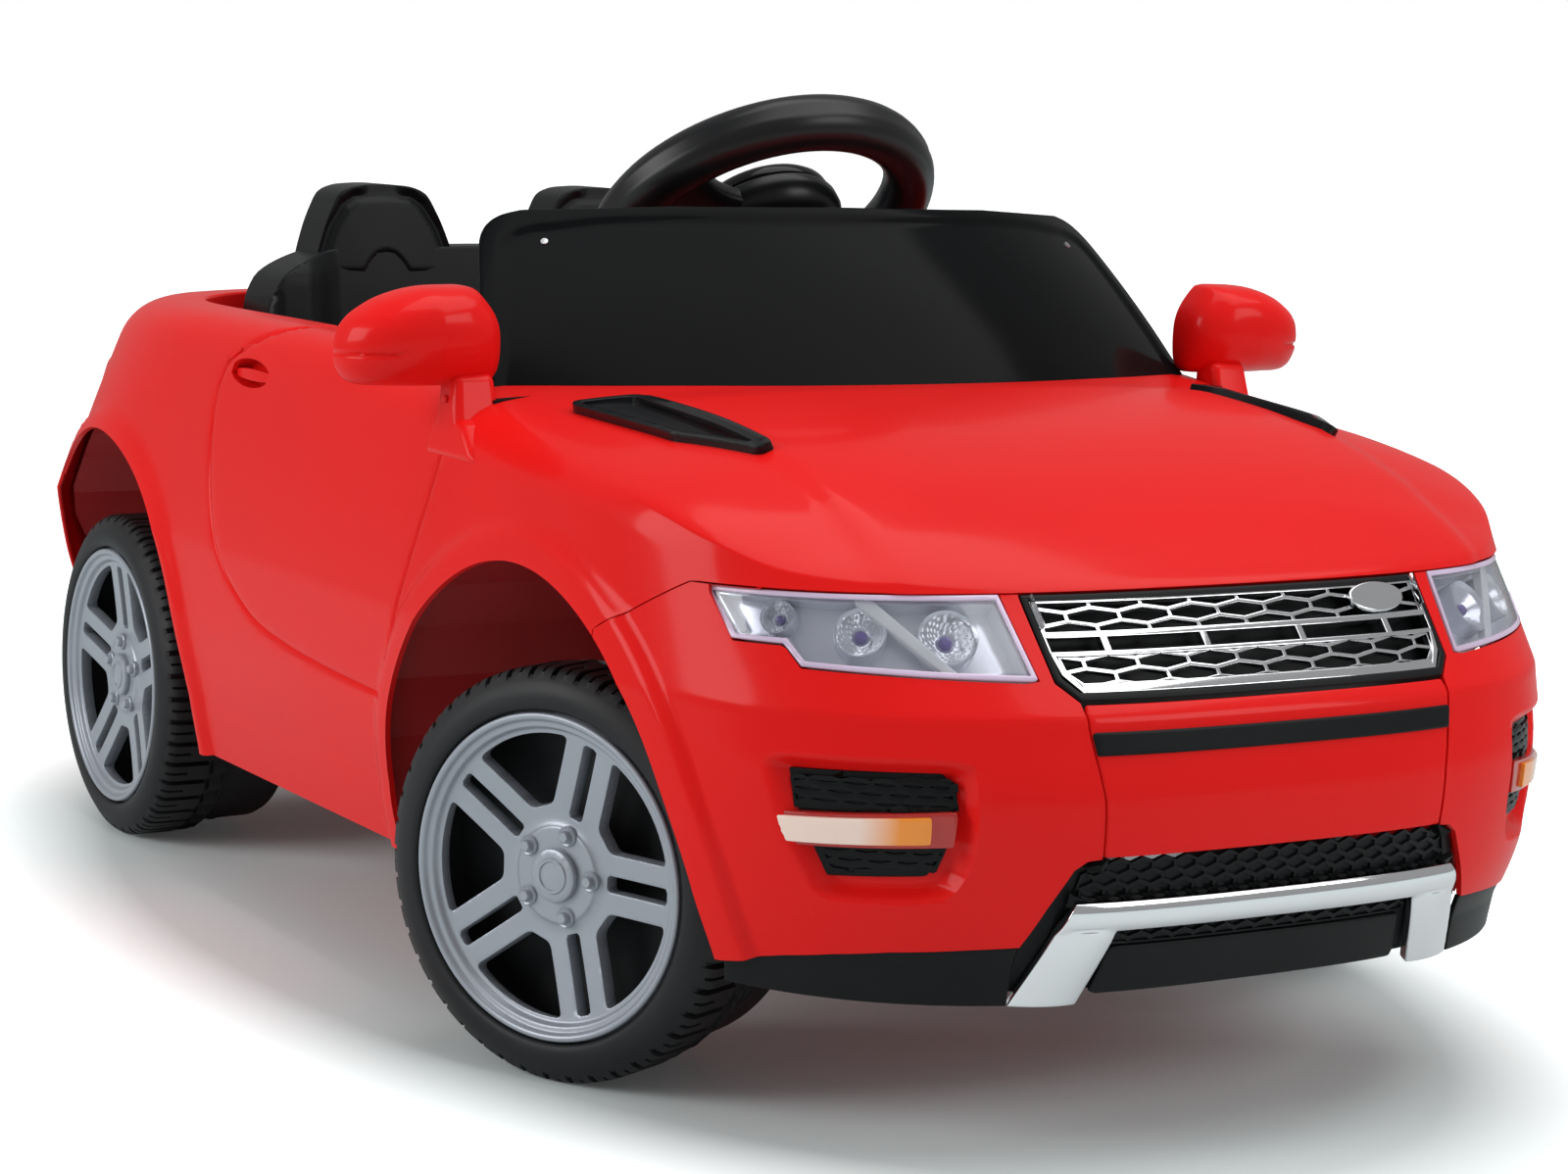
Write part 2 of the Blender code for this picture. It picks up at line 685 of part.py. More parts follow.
def honeycomb_cells(band, half_width):
    """Staggered rows of cells, cut off at the band's edges."""
    cells = []
    limits = [(0, -half_width, 1), (0, half_width, -1), (1, band["low"], 1), (1, band["high"], -1)]
    for row in (-1, 0, 1):
        z = band["row"] + row * (HEX_PEAK + HEX_SIDE)
        for k in range(-5, 6):
            x = (k + (0.5 if row else 0.0)) * HEX_PITCH
            cell = hexagon(x, z)
            for axis, limit, way in limits:
                cell = clipped(cell, axis, limit, way)
            if len(cell) > 2 and outline_area(cell) > SMALLEST_CELL:
                cells.append(cell)
    return cells


def outline_area(outline):
    return abs(sum(a[0] * b[1] - b[0] * a[1] for a, b in zip(outline, outline[1:] + outline[:1]))) / 2


def make_grille():
    """Black surround and plated honeycomb with a row of slots across its middle."""
    outer = both_sides(GRILLE_HALF)
    inner = grown(outer, -0.0035)
    surround = on_nose(grown(outer, -FIT_GAP), -0.0005, 0.0113)
    recess = keep(body_skin(-0.01, 0.0093, VALANCE_BOTTOM), prism(inner, "Y", -1.2, -0.65))
    cut(surround, recess)
    finish(surround, "grille_surround", BLACK)
    mesh = on_nose(grown(inner, -FIT_GAP), 0.0012, 0.0040)
    cells = []
    for band, half_width in zip(HEX_BANDS, (0.1105, 0.1060)):
        cells += honeycomb_cells(band, half_width)
    edges = (-0.1090,) + SLOT_ROW["dividers"] + (0.1090,)
    for a, b in zip(edges, edges[1:]):
        low = a + SLOT_ROW["bar"] / 2
        high = b - SLOT_ROW["bar"] / 2
        cells.append([(low, SLOT_ROW["low"]), (high, SLOT_ROW["low"]),
                      (high, SLOT_ROW["high"]), (low, SLOT_ROW["high"])])
    cut(mesh, cluster([prism(cell, "Y", -0.95, -0.75) for cell in cells]))
    finish(mesh, "grille_mesh", CHROME)
    oval = [(0.082 + 0.0175 * u, 0.2535 + 0.0062 * v) for u, v in circle(0, 0, 1, 16)]
    plate = on_nose(oval, -0.0012, 0.0009)
    finish(plate, "grille_plate", CHROME)


def make_lamps():
    finish_pair(on_nose(LAMP, -0.0006, 0.0016), "headlamp_lens", CLEAR)
    reflector = on_nose(grown(LAMP, -0.0008), 0.0019, 0.0185)
    for x, z, radius in ((0.1480, 0.2460, 0.0135), (0.1795, 0.2475, 0.0125), (0.2130, 0.2515, 0.0085)):
        bm = bmesh.new()
        bmesh.ops.create_uvsphere(bm, u_segments=10, v_segments=5, radius=radius)
        bowl = loose("bowl", bm)
        moved(bowl, Matrix.Translation((x, fascia_y(x, z) + 0.002, z)))
        cut(reflector, bowl)
    finish_pair(reflector, "headlamp_reflector", CHROME)
    finish_pair(on_nose(FOG_INSERT, 0.0122, 0.0152), "fog_insert", BLACK)
    finish_pair(on_nose(TURN_LAMP, 0.0030, 0.0119), "turn_lamp", AMBER)
    outline = [(0.135, 0.262), (0.215, 0.258), (0.222, 0.300), (0.130, 0.306)]
    tail = keep(body_skin(-0.0030, -FIT_GAP, BODY_BOTTOM), prism(outline, "Y", 0.06, 0.5))
    finish_pair(tail, "tail_lamp", RED_LENS)


VENT = [(0.1600, -0.690), (0.1690, -0.684), (0.2070, -0.560), (0.1980, -0.556),
        (0.1700, -0.566), (0.1620, -0.640)]


def make_hood_vents():
    vent = keep(body_skin(-0.0055, -FIT_GAP, BODY_BOTTOM), prism(VENT, "Z", 0.26, 0.40))
    slot = keep(body_skin(-0.0200, -0.0025, BODY_BOTTOM), prism(grown(VENT, -0.0022), "Z", 0.26, 0.42))
    finish_pair(cut(vent, slot), "hood_vent", BLACK)


SCREEN = {"foot_half": 0.231, "top_half": 0.191, "foot_ahead": 0.572, "top_ahead": 0.490,
          "foot_sweep": 0.074, "top_sweep": 0.058, "top_height": 0.413, "thickness": 0.004}


def screen_point(u, v):
    """Outer surface of the windscreen; u runs across it and v from foot to top."""
    sweep = abs(u) ** 2.2
    x = mix(SCREEN["foot_half"], SCREEN["top_half"], v) * u
    ahead = mix(SCREEN["foot_ahead"] - SCREEN["foot_sweep"] * sweep,
                SCREEN["top_ahead"] - SCREEN["top_sweep"] * sweep, v)
    foot = 0.325
    z = mix(foot, SCREEN["top_height"] - 0.006 * u * u, v) + 0.010 * math.sin(math.pi * v) * 0.4
    return Vector((x, -ahead, z))


def make_windscreen():
    """A swept black screen whose foot follows the hood."""
    across, up = 16, 4
    front, back = [], []
    for i in range(up + 1):
        row, under = [], []
        for k in range(across + 1):
            u = -1 + 2 * k / across
            point = screen_point(u, i / up)
            row.append(point)
            under.append(point + Vector((0.0, SCREEN["thickness"], -0.0012)))
        front.append(row)
        back.append(under)
    rings = []
    for i in range(up + 1):
        rings.append(front[i] + list(reversed(back[i])))
    screen = loft(rings, "windscreen")
    corner = 0.022
    outline = [(0.26, 0.29), (0.26, 0.34), (0.191 + 0.012, 0.388)]
    centre = (0.191 - 0.012, 0.407 - corner)
    for k in range(5):
        angle = math.radians(12 + 70 * k / 4)
        x = centre[0] + corner * math.cos(angle)
        outline.append((x, centre[1] + corner * math.sin(angle) + 0.0015))
    outline.append((0.10, 0.4200))
    keep(screen, prism(both_sides(outline), "Y", -0.7, -0.3))
    cut(screen, body_solid(-FIT_GAP, BODY_BOTTOM))
    return finish(screen, "windscreen", GLOSS_BLACK)


MIRROR = {"x": 0.276, "ahead": 0.503, "z": 0.360,
          "half_width": 0.0385, "half_height": 0.0235, "depth": 0.034}


def make_mirrors():
    """Domed housing on a short stem, open at the back for its glass."""
    sections = [(0.0, 0.20), (0.08, 0.62), (0.35, 0.92), (0.75, 1.0), (1.0, 0.99)]
    rings = []
    for depth, scale in sections:
        ring = []
        for k in range(16):
            angle = 2 * math.pi * (k + 0.5) / 16
            c, s = math.cos(angle), math.sin(angle)
            x = MIRROR["half_width"] * scale * math.copysign(abs(c) ** (2 / 2.8), c)
            z = MIRROR["half_height"] * scale * math.copysign(abs(s) ** (2 / 2.8), s)
            y = -MIRROR["ahead"] + MIRROR["depth"] * (depth - 0.5)
            ring.append((MIRROR["x"] + x, y, MIRROR["z"] + z))
        rings.append(ring)
    housing = loft(rings, "housing")
    stem = loft([
        [(0.240, -0.520, 0.300), (0.262, -0.520, 0.300), (0.262, -0.492, 0.300), (0.240, -0.492, 0.300)],
        [(0.250, -0.513, 0.350), (0.270, -0.513, 0.350), (0.270, -0.497, 0.350), (0.250, -0.497, 0.350)],
    ], "stem")
    join(housing, stem)
    rear_face = -MIRROR["ahead"] + MIRROR["depth"] * 0.5
    x0, z0 = MIRROR["x"], MIRROR["z"]
    well = [(x0 + (p[0] - x0) * 0.90, z0 + (p[2] - z0) * 0.86) for p in rings[3]]
    cut(housing, prism(well, "Y", rear_face - 0.006, rear_face + 0.01))
    cut(housing, body_solid(-FIT_GAP, BODY_BOTTOM))
    finish_pair(housing, "mirror_housing", RED)
    glass = prism(grown(well, -FIT_GAP), "Y", rear_face - 0.006 + FIT_GAP, rear_face - 0.003)
    finish_pair(glass, "mirror_glass", CHROME)


def oval_ring(x, y, z, half_x, half_y, power, count):
    ring = []
    for k in range(count):
        angle = 2 * math.pi * (k + 0.5) / count
        c, s = math.cos(angle), math.sin(angle)
        ring.append((x + half_x * math.copysign(abs(c) ** (2 / power), c),
                     y + half_y * math.copysign(abs(s) ** (2 / power), s), z))
    return ring


SEAT = {"low_half_width": 0.1465, "front": 0.240, "back": 0.020,
        "cushion_top": 0.205, "headrest_x": 0.075}


def make_seat():
    """One moulding: bench, backrest board and two headrests."""
    bottom = REAR_SHELF_TOP + FIT_GAP
    front, back = -SEAT["front"], -SEAT["back"]
    centre, half_length = (front + back) / 2, (back - front) / 2
    bench_rings = []
    low_half = SEAT["low_half_width"]
    for z, half_x, share in ((bottom, low_half, 0.62), (bottom + 0.012, low_half, 0.80),
                             (0.190, low_half, 0.97), (0.200, low_half, 1.0),
                             (SEAT["cushion_top"], low_half - 0.006, 0.93)):
        half_y = half_length * share
        shift = half_length - half_y
        bench_rings.append(oval_ring(0, centre + shift * 0.6, z, half_x, half_y, 7.0, 20))
    seat = loft(bench_rings, "seat")
    board_rings = []
    for z, half_x, thick in ((0.185, low_half, 0.022), (0.272, low_half, 0.021), (0.279, 0.176, 0.020),
                             (0.325, 0.174, 0.019), (0.346, 0.160, 0.014), (0.354, 0.140, 0.009)):
        lean = (z - 0.185) * 0.16
        board_rings.append(oval_ring(0, back - 0.030 + lean, z, half_x, thick, 5.0, 20))
    join(seat, loft(board_rings, "board"))
    for side in (-1, 1):
        rings = []
        for z, half_x, thick in ((0.240, 0.066, 0.026), (0.345, 0.066, 0.027), (0.366, 0.0600, 0.027),
                                 (0.392, 0.0500, 0.024), (0.411, 0.0395, 0.019), (0.418, 0.0310, 0.011)):
            lean = (z - 0.185) * 0.16
            middle = side * SEAT["headrest_x"]
            rings.append(oval_ring(middle, back - 0.030 + lean, z, half_x, thick, 4.0, 16))
        join(seat, loft(rings, "headrest"))
    cut(seat, box((-0.062, 0.062), (-0.185, -0.070), (bottom - 0.01, 0.1990)))
    return finish(seat, "seat", BLACK)


COLUMN_AXIS = Vector((0, math.sin(COLUMN_RAKE), math.cos(COLUMN_RAKE)))


def column_point(distance):
    """A point on the steering column, a distance below the steering wheel's middle."""
    return WHEEL_CENTRE - COLUMN_AXIS * distance


def make_dashboard():
    """Black cross member under the screen, bored for the steering column."""
    dash = box((-0.30, 0.30), (-0.525, -0.440), (0.262, 0.40))
    keep(dash, body_solid(SKIN + FIT_GAP * 2, BODY_BOTTOM))
    cut(dash, rod(column_point(0.02), column_point(0.30), SHAFT_RADIUS + FIT_GAP, 16))
    hollow = box((-0.19, 0.19), (-0.520, -0.445), (0.20, 0.290))
    cut(dash, hollow)
    for x, half in ((-0.090, 0.0085), (0.090, 0.0085)):
        cut(dash, box((x - half - FIT_GAP, x + half + FIT_GAP), (-0.452, -0.43), (0.296, 0.316)))
    return finish(dash, "dashboard", BLACK)


def well_shell(well, side, wall_bottom):
    """Half-round wheel housing, open below and outwards."""
    centre_y, height = -well["ahead"], TYRE_RADIUS
    inner, outer = well["inner"], 0.30
    shell = prism(circle(centre_y, height, well["radius"] + WALL, 28), "X", inner, outer)
    cut(shell, prism(circle(centre_y, height, well["radius"], 28), "X", inner + WALL, outer + 0.1))
    cut(shell, box((0.0, 0.5), (-2, 2), (-0.2, FLOOR_TOP - FLOOR_THICKNESS)))
    cut(shell, box((0.0, inner + 0.020), (-2, 2), (-0.2, wall_bottom)))
    if side < 0:
        moved(shell, Matrix.Diagonal((-1, 1, 1, 1)))
    return shell


def column_bearing():
    """Bridge moulded on the front shelf for the steering shaft's lower end."""
    bridge = box((-0.046, 0.046), (-0.580, -0.550), (0.184, 0.204))
    for side in (-1, 1):
        leg = sorted((side * 0.036, side * 0.046))
        join(bridge, box(leg, (-0.579, -0.551), (FRONT_SHELF_TOP - 0.001, 0.185)))
    cut(bridge, rod(column_point(0.20), column_point(0.36), SHAFT_RADIUS + FIT_GAP, 16))
    return bridge


def make_chassis():
    """Floor pan, toe board, shelves over both axles and four wheel housings."""
    floor_low = FLOOR_TOP - FLOOR_THICKNESS
    front_edge = FRONT_WELL["ahead"] - FRONT_WELL["radius"]
    rear_edge = REAR_WELL["ahead"] + REAR_WELL["radius"]
    front_x, rear_x = FRONT_WELL["inner"], REAR_WELL["inner"]
    pan = box((-0.30, 0.30), (-front_edge - 0.001, -rear_edge + 0.001), (floor_low, FLOOR_TOP))
    join(pan, box((-front_x - 0.002, front_x + 0.002), (-front_edge - 0.0030, -front_edge + 0.0001),
                  (floor_low, FRONT_SHELF_TOP)))
    join(pan, box((-rear_x - 0.002, rear_x + 0.002), (-rear_edge - 0.0001, -rear_edge + 0.0030),
                  (floor_low, REAR_SHELF_TOP)))
    join(pan, box((-front_x - 0.002, front_x + 0.002), (-0.90, -front_edge - 0.001),
                  (FRONT_SHELF_TOP - WALL, FRONT_SHELF_TOP)))
    join(pan, box((-rear_x - 0.002, rear_x + 0.002), (-rear_edge + 0.001, 0.30),
                  (REAR_SHELF_TOP - WALL, REAR_SHELF_TOP)))
    for side in (-1, 1):
        join(pan, well_shell(FRONT_WELL, side, FRONT_SHELF_TOP - WALL - 0.0001))
        join(pan, well_shell(REAR_WELL, side, REAR_SHELF_TOP - WALL - 0.0001))
    keep(pan, body_solid(SKIN + 0.0005, 0.076))
    cut(pan, box((-0.034, 0.034), (-0.604, -0.526), (0.10, 0.20)))
    cut(pan, box((-0.5, 0.5), (-1.0, -0.775), (-0.1, 0.5)))
    join(pan, column_bearing())
    return finish(pan, "chassis_tub", DARK_RED)


def wheel_profile():
    """Section of the moulded wheel: tread, side walls, web and hub, as (x, radius)."""
    return [
        (0.0905, RIM_RADIUS + RIM_GAP), (TYRE_WIDTH, RIM_RADIUS + 0.0090),
        (0.0870, TYRE_RADIUS - 0.0024),
        (0.0820, TYRE_RADIUS), (0.0460, TYRE_RADIUS), (0.0430, BARE_TYRE_RADIUS),
        (0.0040, BARE_TYRE_RADIUS), (0.0, BARE_TYRE_RADIUS - 0.0092), (0.0490, 0.0800), (0.0500, HUB_RADIUS),
        (0.0040, HUB_RADIUS), (0.0040, AXLE_RADIUS + FIT_GAP), (HUB_END, AXLE_RADIUS + FIT_GAP),
        (HUB_END, HUB_RADIUS), (0.0560, HUB_RADIUS + 0.001), (0.0560, RIM_RADIUS + RIM_GAP),
    ]


def lug_radius(point, step, radius):
    """The tread rises at every other step round the wheel."""
    if point in (3, 4):
        return radius if step % 2 == 0 else radius - TREAD_DEPTH
    return radius


def rim_columns(radius):
    """Angles of the window edges and the wide window's middle at a radius."""
    share = min(max((radius - 0.0335) / 0.0370, 0.0), 1.0)
    narrow = math.degrees(0.0034 / max(radius, 0.027))
    wide = mix(15.5, 25.5, share)
    angles = []
    for k in range(5):
        for offset in (-narrow, narrow, 36 - wide, 36, 36 + wide):
            angles.append(math.radians(90 + 72 * k + offset))
    return angles


def make_rim():
    """Dished cover of five double spokes between a hub and an outer band."""
    bands = [(0.0815, RIM_BORE), (0.0805, 0.0275), (0.0803, 0.0335),
             (0.0845, 0.0705), (0.0900, RIM_RADIUS)]
    bm = bmesh.new()
    skins = []
    for back in (0.0, 0.0040):
        skins.append([[bm.verts.new((x - back, r * math.cos(a), r * math.sin(a))) for a in rim_columns(r)]
                      for x, r in bands])
    count = 25

    def open_cell(band, column):
        if not 0 <= band < len(bands) - 1:
            return True
        place = column % 5
        return (place in (2, 3) and band == 2) or (place == 0 and band in (1, 2))

    for band in range(len(bands) - 1):
        for k in range(count):
            if open_cell(band, k):
                continue
            nxt = (k + 1) % count
            for skin, order in ((skins[0], 1), (skins[1], -1)):
                quad = (skin[band][k], skin[band][nxt], skin[band + 1][nxt], skin[band + 1][k])
                bm.faces.new(quad[::order])
    outer, under = skins
    for band in range(len(bands)):
        for k in range(count):
            nxt = (k + 1) % count
            if open_cell(band - 1, k) != open_cell(band, k):
                bm.faces.new((outer[band][k], outer[band][nxt], under[band][nxt], under[band][k]))
            inside = 0 <= band < len(bands) - 1
            if inside and open_cell(band, k - 1) != open_cell(band, k):
                bm.faces.new((outer[band][k], outer[band + 1][k], under[band + 1][k], under[band][k]))
    unused = [v for v in bm.verts if not v.link_faces]
    bmesh.ops.delete(bm, geom=unused, context="VERTS")
    face_out(bm)
    rim = loose("rim", bm)
    for k in range(5):
        angle = math.radians(90 + 72 * k)
        y, z = BOLT_CIRCLE * math.cos(angle), BOLT_CIRCLE * math.sin(angle)
        bolt = stacked([(0.0795, BOLT_RADIUS), (0.0828, BOLT_RADIUS), (0.0834, BOLT_RADIUS * 0.7)], 8)
        join(rim, moved(bolt, Matrix.Translation((0, y, z))))
    return rim


def stacked(sections, count):
    """A turned solid along X from (x, radius) sections."""
    return loft([[(x, u, v) for u, v in circle(0, 0, r, count)] for x, r in sections], "stacked")


def make_cap():
    """Domed cap with a hollow stem that clips into the rim."""
    face = 0.0815 + FIT_GAP
    stem, socket = RIM_BORE - FIT_GAP, WASHER_RADIUS + 0.0008
    profile = [(0.0768, stem), (face, stem), (face, CAP_RADIUS), (face + 0.0030, CAP_RADIUS - 0.0010),
               (face + 0.0060, 0.0100)]
    cap = stacked(profile, 14)
    return cut(cap, stacked([(0.0700, socket), (0.0812, socket)], 14))


def make_wheel(name, centre, side, parent, spoke_turn):
    """Tyre, rim cover and centre cap of one wheel; centre is on its outer face."""
    tyre = turned(wheel_profile(), 2 * TREAD_LUGS, ripple=lug_radius)
    place = Matrix.Diagonal((side, 1, 1, 1)) @ Matrix.Translation((-TYRE_WIDTH, 0, 0))
    rim = moved(make_rim(), Matrix.Rotation(spoke_turn, 4, "X"))
    for piece, label, look in ((tyre, "tyre", TYRE_BLACK), (rim, "rim", SILVER),
                               (make_cap(), "centre_cap", SILVER)):
        moved(piece, place)
        finish(piece, f"{label}_{name}", look, parent=parent)
        piece.location = Vector(centre)
        if parent is None:
            piece.location.y += REAR_AXLE_Y


def axle_end(face):
    """(x, radius) sections of an axle's end with its lock washer, outwards."""
    washer = face - TYRE_WIDTH + HUB_END + FIT_GAP
    return [(washer, AXLE_RADIUS), (washer, WASHER_RADIUS), (washer + 0.0042, WASHER_RADIUS),
            (washer + 0.0055, AXLE_RADIUS)]


def make_rear_axle():
    end = axle_end(REAR_WHEEL_FACE)
    axle = stacked([(-x, r) for x, r in reversed(end)] + end, 12)
    moved(axle, Matrix.Translation((0, 0, TYRE_RADIUS)))
    finish(axle, "rear_axle", STEEL)
    shelf_under = REAR_SHELF_TOP - WALL - FIT_GAP
    bore = AXLE_RADIUS + FIT_GAP
    low, high = -0.145, -0.127
    outline = [(-0.020, shelf_under), (-0.014, 0.092), (-0.008, 0.088), (0.008, 0.088),
               (0.014, 0.092), (0.020, shelf_under)]
    bracket = prism(outline, "X", low, high)
    cut(bracket, prism(circle(0, TYRE_RADIUS, bore, 16), "X", low - 0.1, high + 0.1))
    finish(bracket, "axle_bracket", BLACK)
    case = [(-0.030, shelf_under), (-0.030, 0.095), (-0.018, 0.075), (0.018, 0.075),
            (0.040, 0.088), (0.075, 0.088), (0.075, shelf_under)]
    unit = prism(case, "X", 0.096, 0.1440)
    join(unit, rod((0.100, 0.055, 0.118), (0.045, 0.055, 0.118), 0.0175, 16))
    collar_end = REAR_WHEEL_FACE - TYRE_WIDTH + 0.0037
    join(unit, prism(circle(0, TYRE_RADIUS, 0.014, 16), "X", 0.140, collar_end))
    cut(unit, prism(circle(0, TYRE_RADIUS, bore, 16), "X", 0.0, 0.3))
    finish(unit, "drive_unit", BLACK)
    battery = box((-0.055, 0.055), (-0.180, -0.080), (REAR_SHELF_TOP + FIT_GAP, REAR_SHELF_TOP + 0.040))
    finish(battery, "battery", BLACK)


def make_front_axle():
    """Steel beam under the front shelf with a fork and a riveted kingpin at each end."""
    ahead = WHEELBASE
    top = FRONT_SHELF_TOP - WALL - FIT_GAP
    beam = box((-0.124, 0.124), (-ahead - 0.010, -ahead + 0.010), (EAR_TOP - EAR_THICKNESS, EAR_TOP))
    for side in (-1, 1):
        web = sorted((side * 0.1200, side * 0.1260))
        ear = sorted((side * 0.1230, side * (KINGPIN_X + 0.009)))
        join(beam, box(web, (-ahead - 0.010, -ahead + 0.010), (EAR_BOTTOM, EAR_TOP)))
        for low in (EAR_TOP - EAR_THICKNESS - 0.0001, EAR_BOTTOM + 0.0001):
            join(beam, box(ear, (-ahead - 0.009, -ahead + 0.009), (low, low + EAR_THICKNESS)))
        pad = sorted((side * 0.060, side * 0.100))
        join(beam, box(pad, (-ahead - 0.008, -ahead + 0.008), (EAR_TOP - 0.001, top)))
        pin = circle(side * KINGPIN_X, -ahead, KINGPIN_RADIUS, 12)
        join(beam, prism(pin, "Z", EAR_BOTTOM - 0.002, EAR_TOP + 0.002))
    finish(beam, "front_axle_beam", STEEL)


def make_knuckle(label, side, parent):
    """Barrel on the kingpin, stub axle and steering arm with its link pin."""
    low = EAR_BOTTOM + EAR_THICKNESS + FIT_GAP
    high = EAR_TOP - EAR_THICKNESS - FIT_GAP
    knuckle = prism(circle(0, 0, BARREL_RADIUS, 14), "Z", low, high)
    shoulder = KINGPIN_TO_FACE - TYRE_WIDTH + 0.0036
    sections = [(0.0030, 0.0095), (shoulder, 0.0095), (shoulder, AXLE_RADIUS)]
    stub = stacked(sections + axle_end(KINGPIN_TO_FACE), 12)
    join(knuckle, moved(stub, Matrix.Translation((0, 0, TYRE_RADIUS)) @ Matrix.Diagonal((side, 1, 1, 1))))
    half = TIE_ROD_WIDTH / 2
    arm = [(half, 0.0), (half, STEER_ARM)]
    arm += [(half * math.cos(math.radians(30 * k)), STEER_ARM + half * math.sin(math.radians(30 * k)))
            for k in range(1, 6)]
    arm += [(-half, STEER_ARM), (-half, 0.0)]
    join(knuckle, prism(arm, "Z", ARM_TOP - ARM_THICKNESS, ARM_TOP))
    join(knuckle, prism(circle(0, STEER_ARM, LINK_PIN_RADIUS, 12), "Z", ARM_TOP - 0.002,
                        ARM_TOP + TIE_ROD_THICKNESS + 0.0030))
    cut(knuckle, prism(circle(0, 0, KINGPIN_RADIUS + FIT_GAP, 12), "Z", 0, 0.2))
    return finish(knuckle, f"knuckle_{label}", STEEL, parent=parent)


def make_tie_rod():
    """Flat link between the steering arms, slotted in its middle for the crank."""
    swing = Vector((-math.sin(STEER_REST), math.cos(STEER_REST), 0)) * STEER_ARM
    left = Vector((KINGPIN_X, -WHEELBASE, 0)) + swing
    right = Vector((-KINGPIN_X, -WHEELBASE, 0)) + swing
    low = ARM_TOP + FIT_GAP
    high = low + TIE_ROD_THICKNESS
    half = TIE_ROD_WIDTH / 2
    outline = []
    for k in range(7):
        angle = math.radians(-90 + 30 * k)
        outline.append((left.x + half * math.cos(angle), left.y + half * math.sin(angle)))
    for k in range(7):
        angle = math.radians(90 + 30 * k)
        outline.append((right.x + half * math.cos(angle), right.y + half * math.sin(angle)))
    link = prism(outline, "Z", low, high)
    middle = (left + right) / 2
    pad = prism([(middle.x + 0.013 * u, middle.y + 0.016 * v) for u, v in circle(0, 0, 1, 16)], "Z",
                low + 0.0001, high - 0.0001)
    join(link, pad)
    slot_half_x = SHAFT_RADIUS + 0.0008
    slot = [(middle.x + slot_half_x * u, middle.y + 0.011 * v) for u, v in circle(0, 0, 1, 16)]
    cut(link, prism(slot, "Z", 0.1, 0.2))
    cut(link, prism(circle(left.x, left.y, LINK_PIN_RADIUS + FIT_GAP, 14), "Z", 0.1, 0.2))
    cut(link, prism(circle(right.x, right.y, LINK_PIN_RADIUS + OPEN_PIVOT_CLEARANCE, 14), "Z", 0.1, 0.2))
    return finish(link, "tie_rod", STEEL, pivot=(left.x, left.y, low))


HUB_SINK = 0.030


def make_steering():
    """Steering wheel, hub cover, two horn buttons and the cranked shaft."""
    turn = Matrix.Rotation(-COLUMN_RAKE, 4, "X") @ Matrix.Rotation(STEER_REST, 4, "Z")
    axis = axis_empty("steering_axis", WHEEL_CENTRE, turn.to_euler())
    rim_rings = []
    for k in range(28):
        angle = 2 * math.pi * k / 28
        ring = []
        for u, v in circle(STEERING_WHEEL_RADIUS, 0, STEERING_RIM_RADIUS, 8):
            ring.append((u * math.cos(angle), u * math.sin(angle), v))
        rim_rings.append(ring)
    wheel = loft(rim_rings, "steering_wheel", ring_to_ring=True)
    hub_rings = [[(x, y, z) for x, y in circle(0, 0, r, 20)]
                 for z, r in ((-HUB_SINK - 0.012, 0.016), (-HUB_SINK, 0.020),
                              (-0.022, 0.038), (-0.010, 0.044), (0.0, 0.043))]
    join(wheel, loft(hub_rings, "hub"))
    for side in (-1, 1):
        spoke = loft([
            [(side * 0.030, -0.020, -0.016), (side * 0.030, 0.014, -0.016),
             (side * 0.030, 0.014, -0.002), (side * 0.030, -0.020, -0.002)],
            [(side * 0.084, -0.016, -0.008), (side * 0.084, 0.010, -0.008),
             (side * 0.084, 0.010, 0.006), (side * 0.084, -0.016, 0.006)],
        ], "spoke")
        join(wheel, spoke)
    lower_rings = []
    for half, y, low, high in ((0.012, 0.034, -0.016, -0.003), (0.010, 0.084, -0.006, 0.005)):
        lower_rings.append([(-half, y, low), (half, y, low), (half, y, high), (-half, y, high)])
    lower = loft(lower_rings, "lower_spoke")
    join(wheel, lower)
    cut(wheel, prism(circle(0, 0, SHAFT_RADIUS + FIT_GAP, 16), "Z", -0.1, -0.012))
    for side in (-1, 1):
        cut(wheel, box(sorted((side * 0.0485, side * 0.0615)), (-0.008, 0.004), (-0.006, 0.02)))
    finish(wheel, "steering_wheel", GLOSS_BLACK, parent=axis)
    dome = [[(x, y, z) for x, y in circle(0, 0, r, 20)]
            for z, r in ((FIT_GAP, 0.041), (0.006, 0.039), (0.013, 0.028), (0.016, 0.012))]
    finish(loft(dome, "dome"), "hub_cover", GLOSS_BLACK, parent=axis)
    for side, label in ((1, "left"), (-1, "right")):
        button = box(sorted((side * 0.0488, side * 0.0612)), (-0.0077, 0.0037), (-0.0030, 0.0072))
        finish(button, f"horn_button_{label}", SILVER, pivot=(side * 0.055, -0.002, 0.003), parent=axis)
    crank_low = 0.3040
    shaft = rod((0, 0, -0.0125), (0, 0, -crank_low - 0.002), SHAFT_RADIUS, 12)
    arm_end = STEER_ARM + 0.003
    join(shaft, rod((0, 0, -crank_low), (0, arm_end, -crank_low), SHAFT_RADIUS - 0.0002, 12))
    ends = [(0, STEER_ARM, -crank_low + rise) for rise in (0.003, -0.020)]
    join(shaft, rod(ends[0], ends[1], SHAFT_RADIUS - 0.0004, 12))
    finish(shaft, "steering_shaft", STEEL, parent=axis)


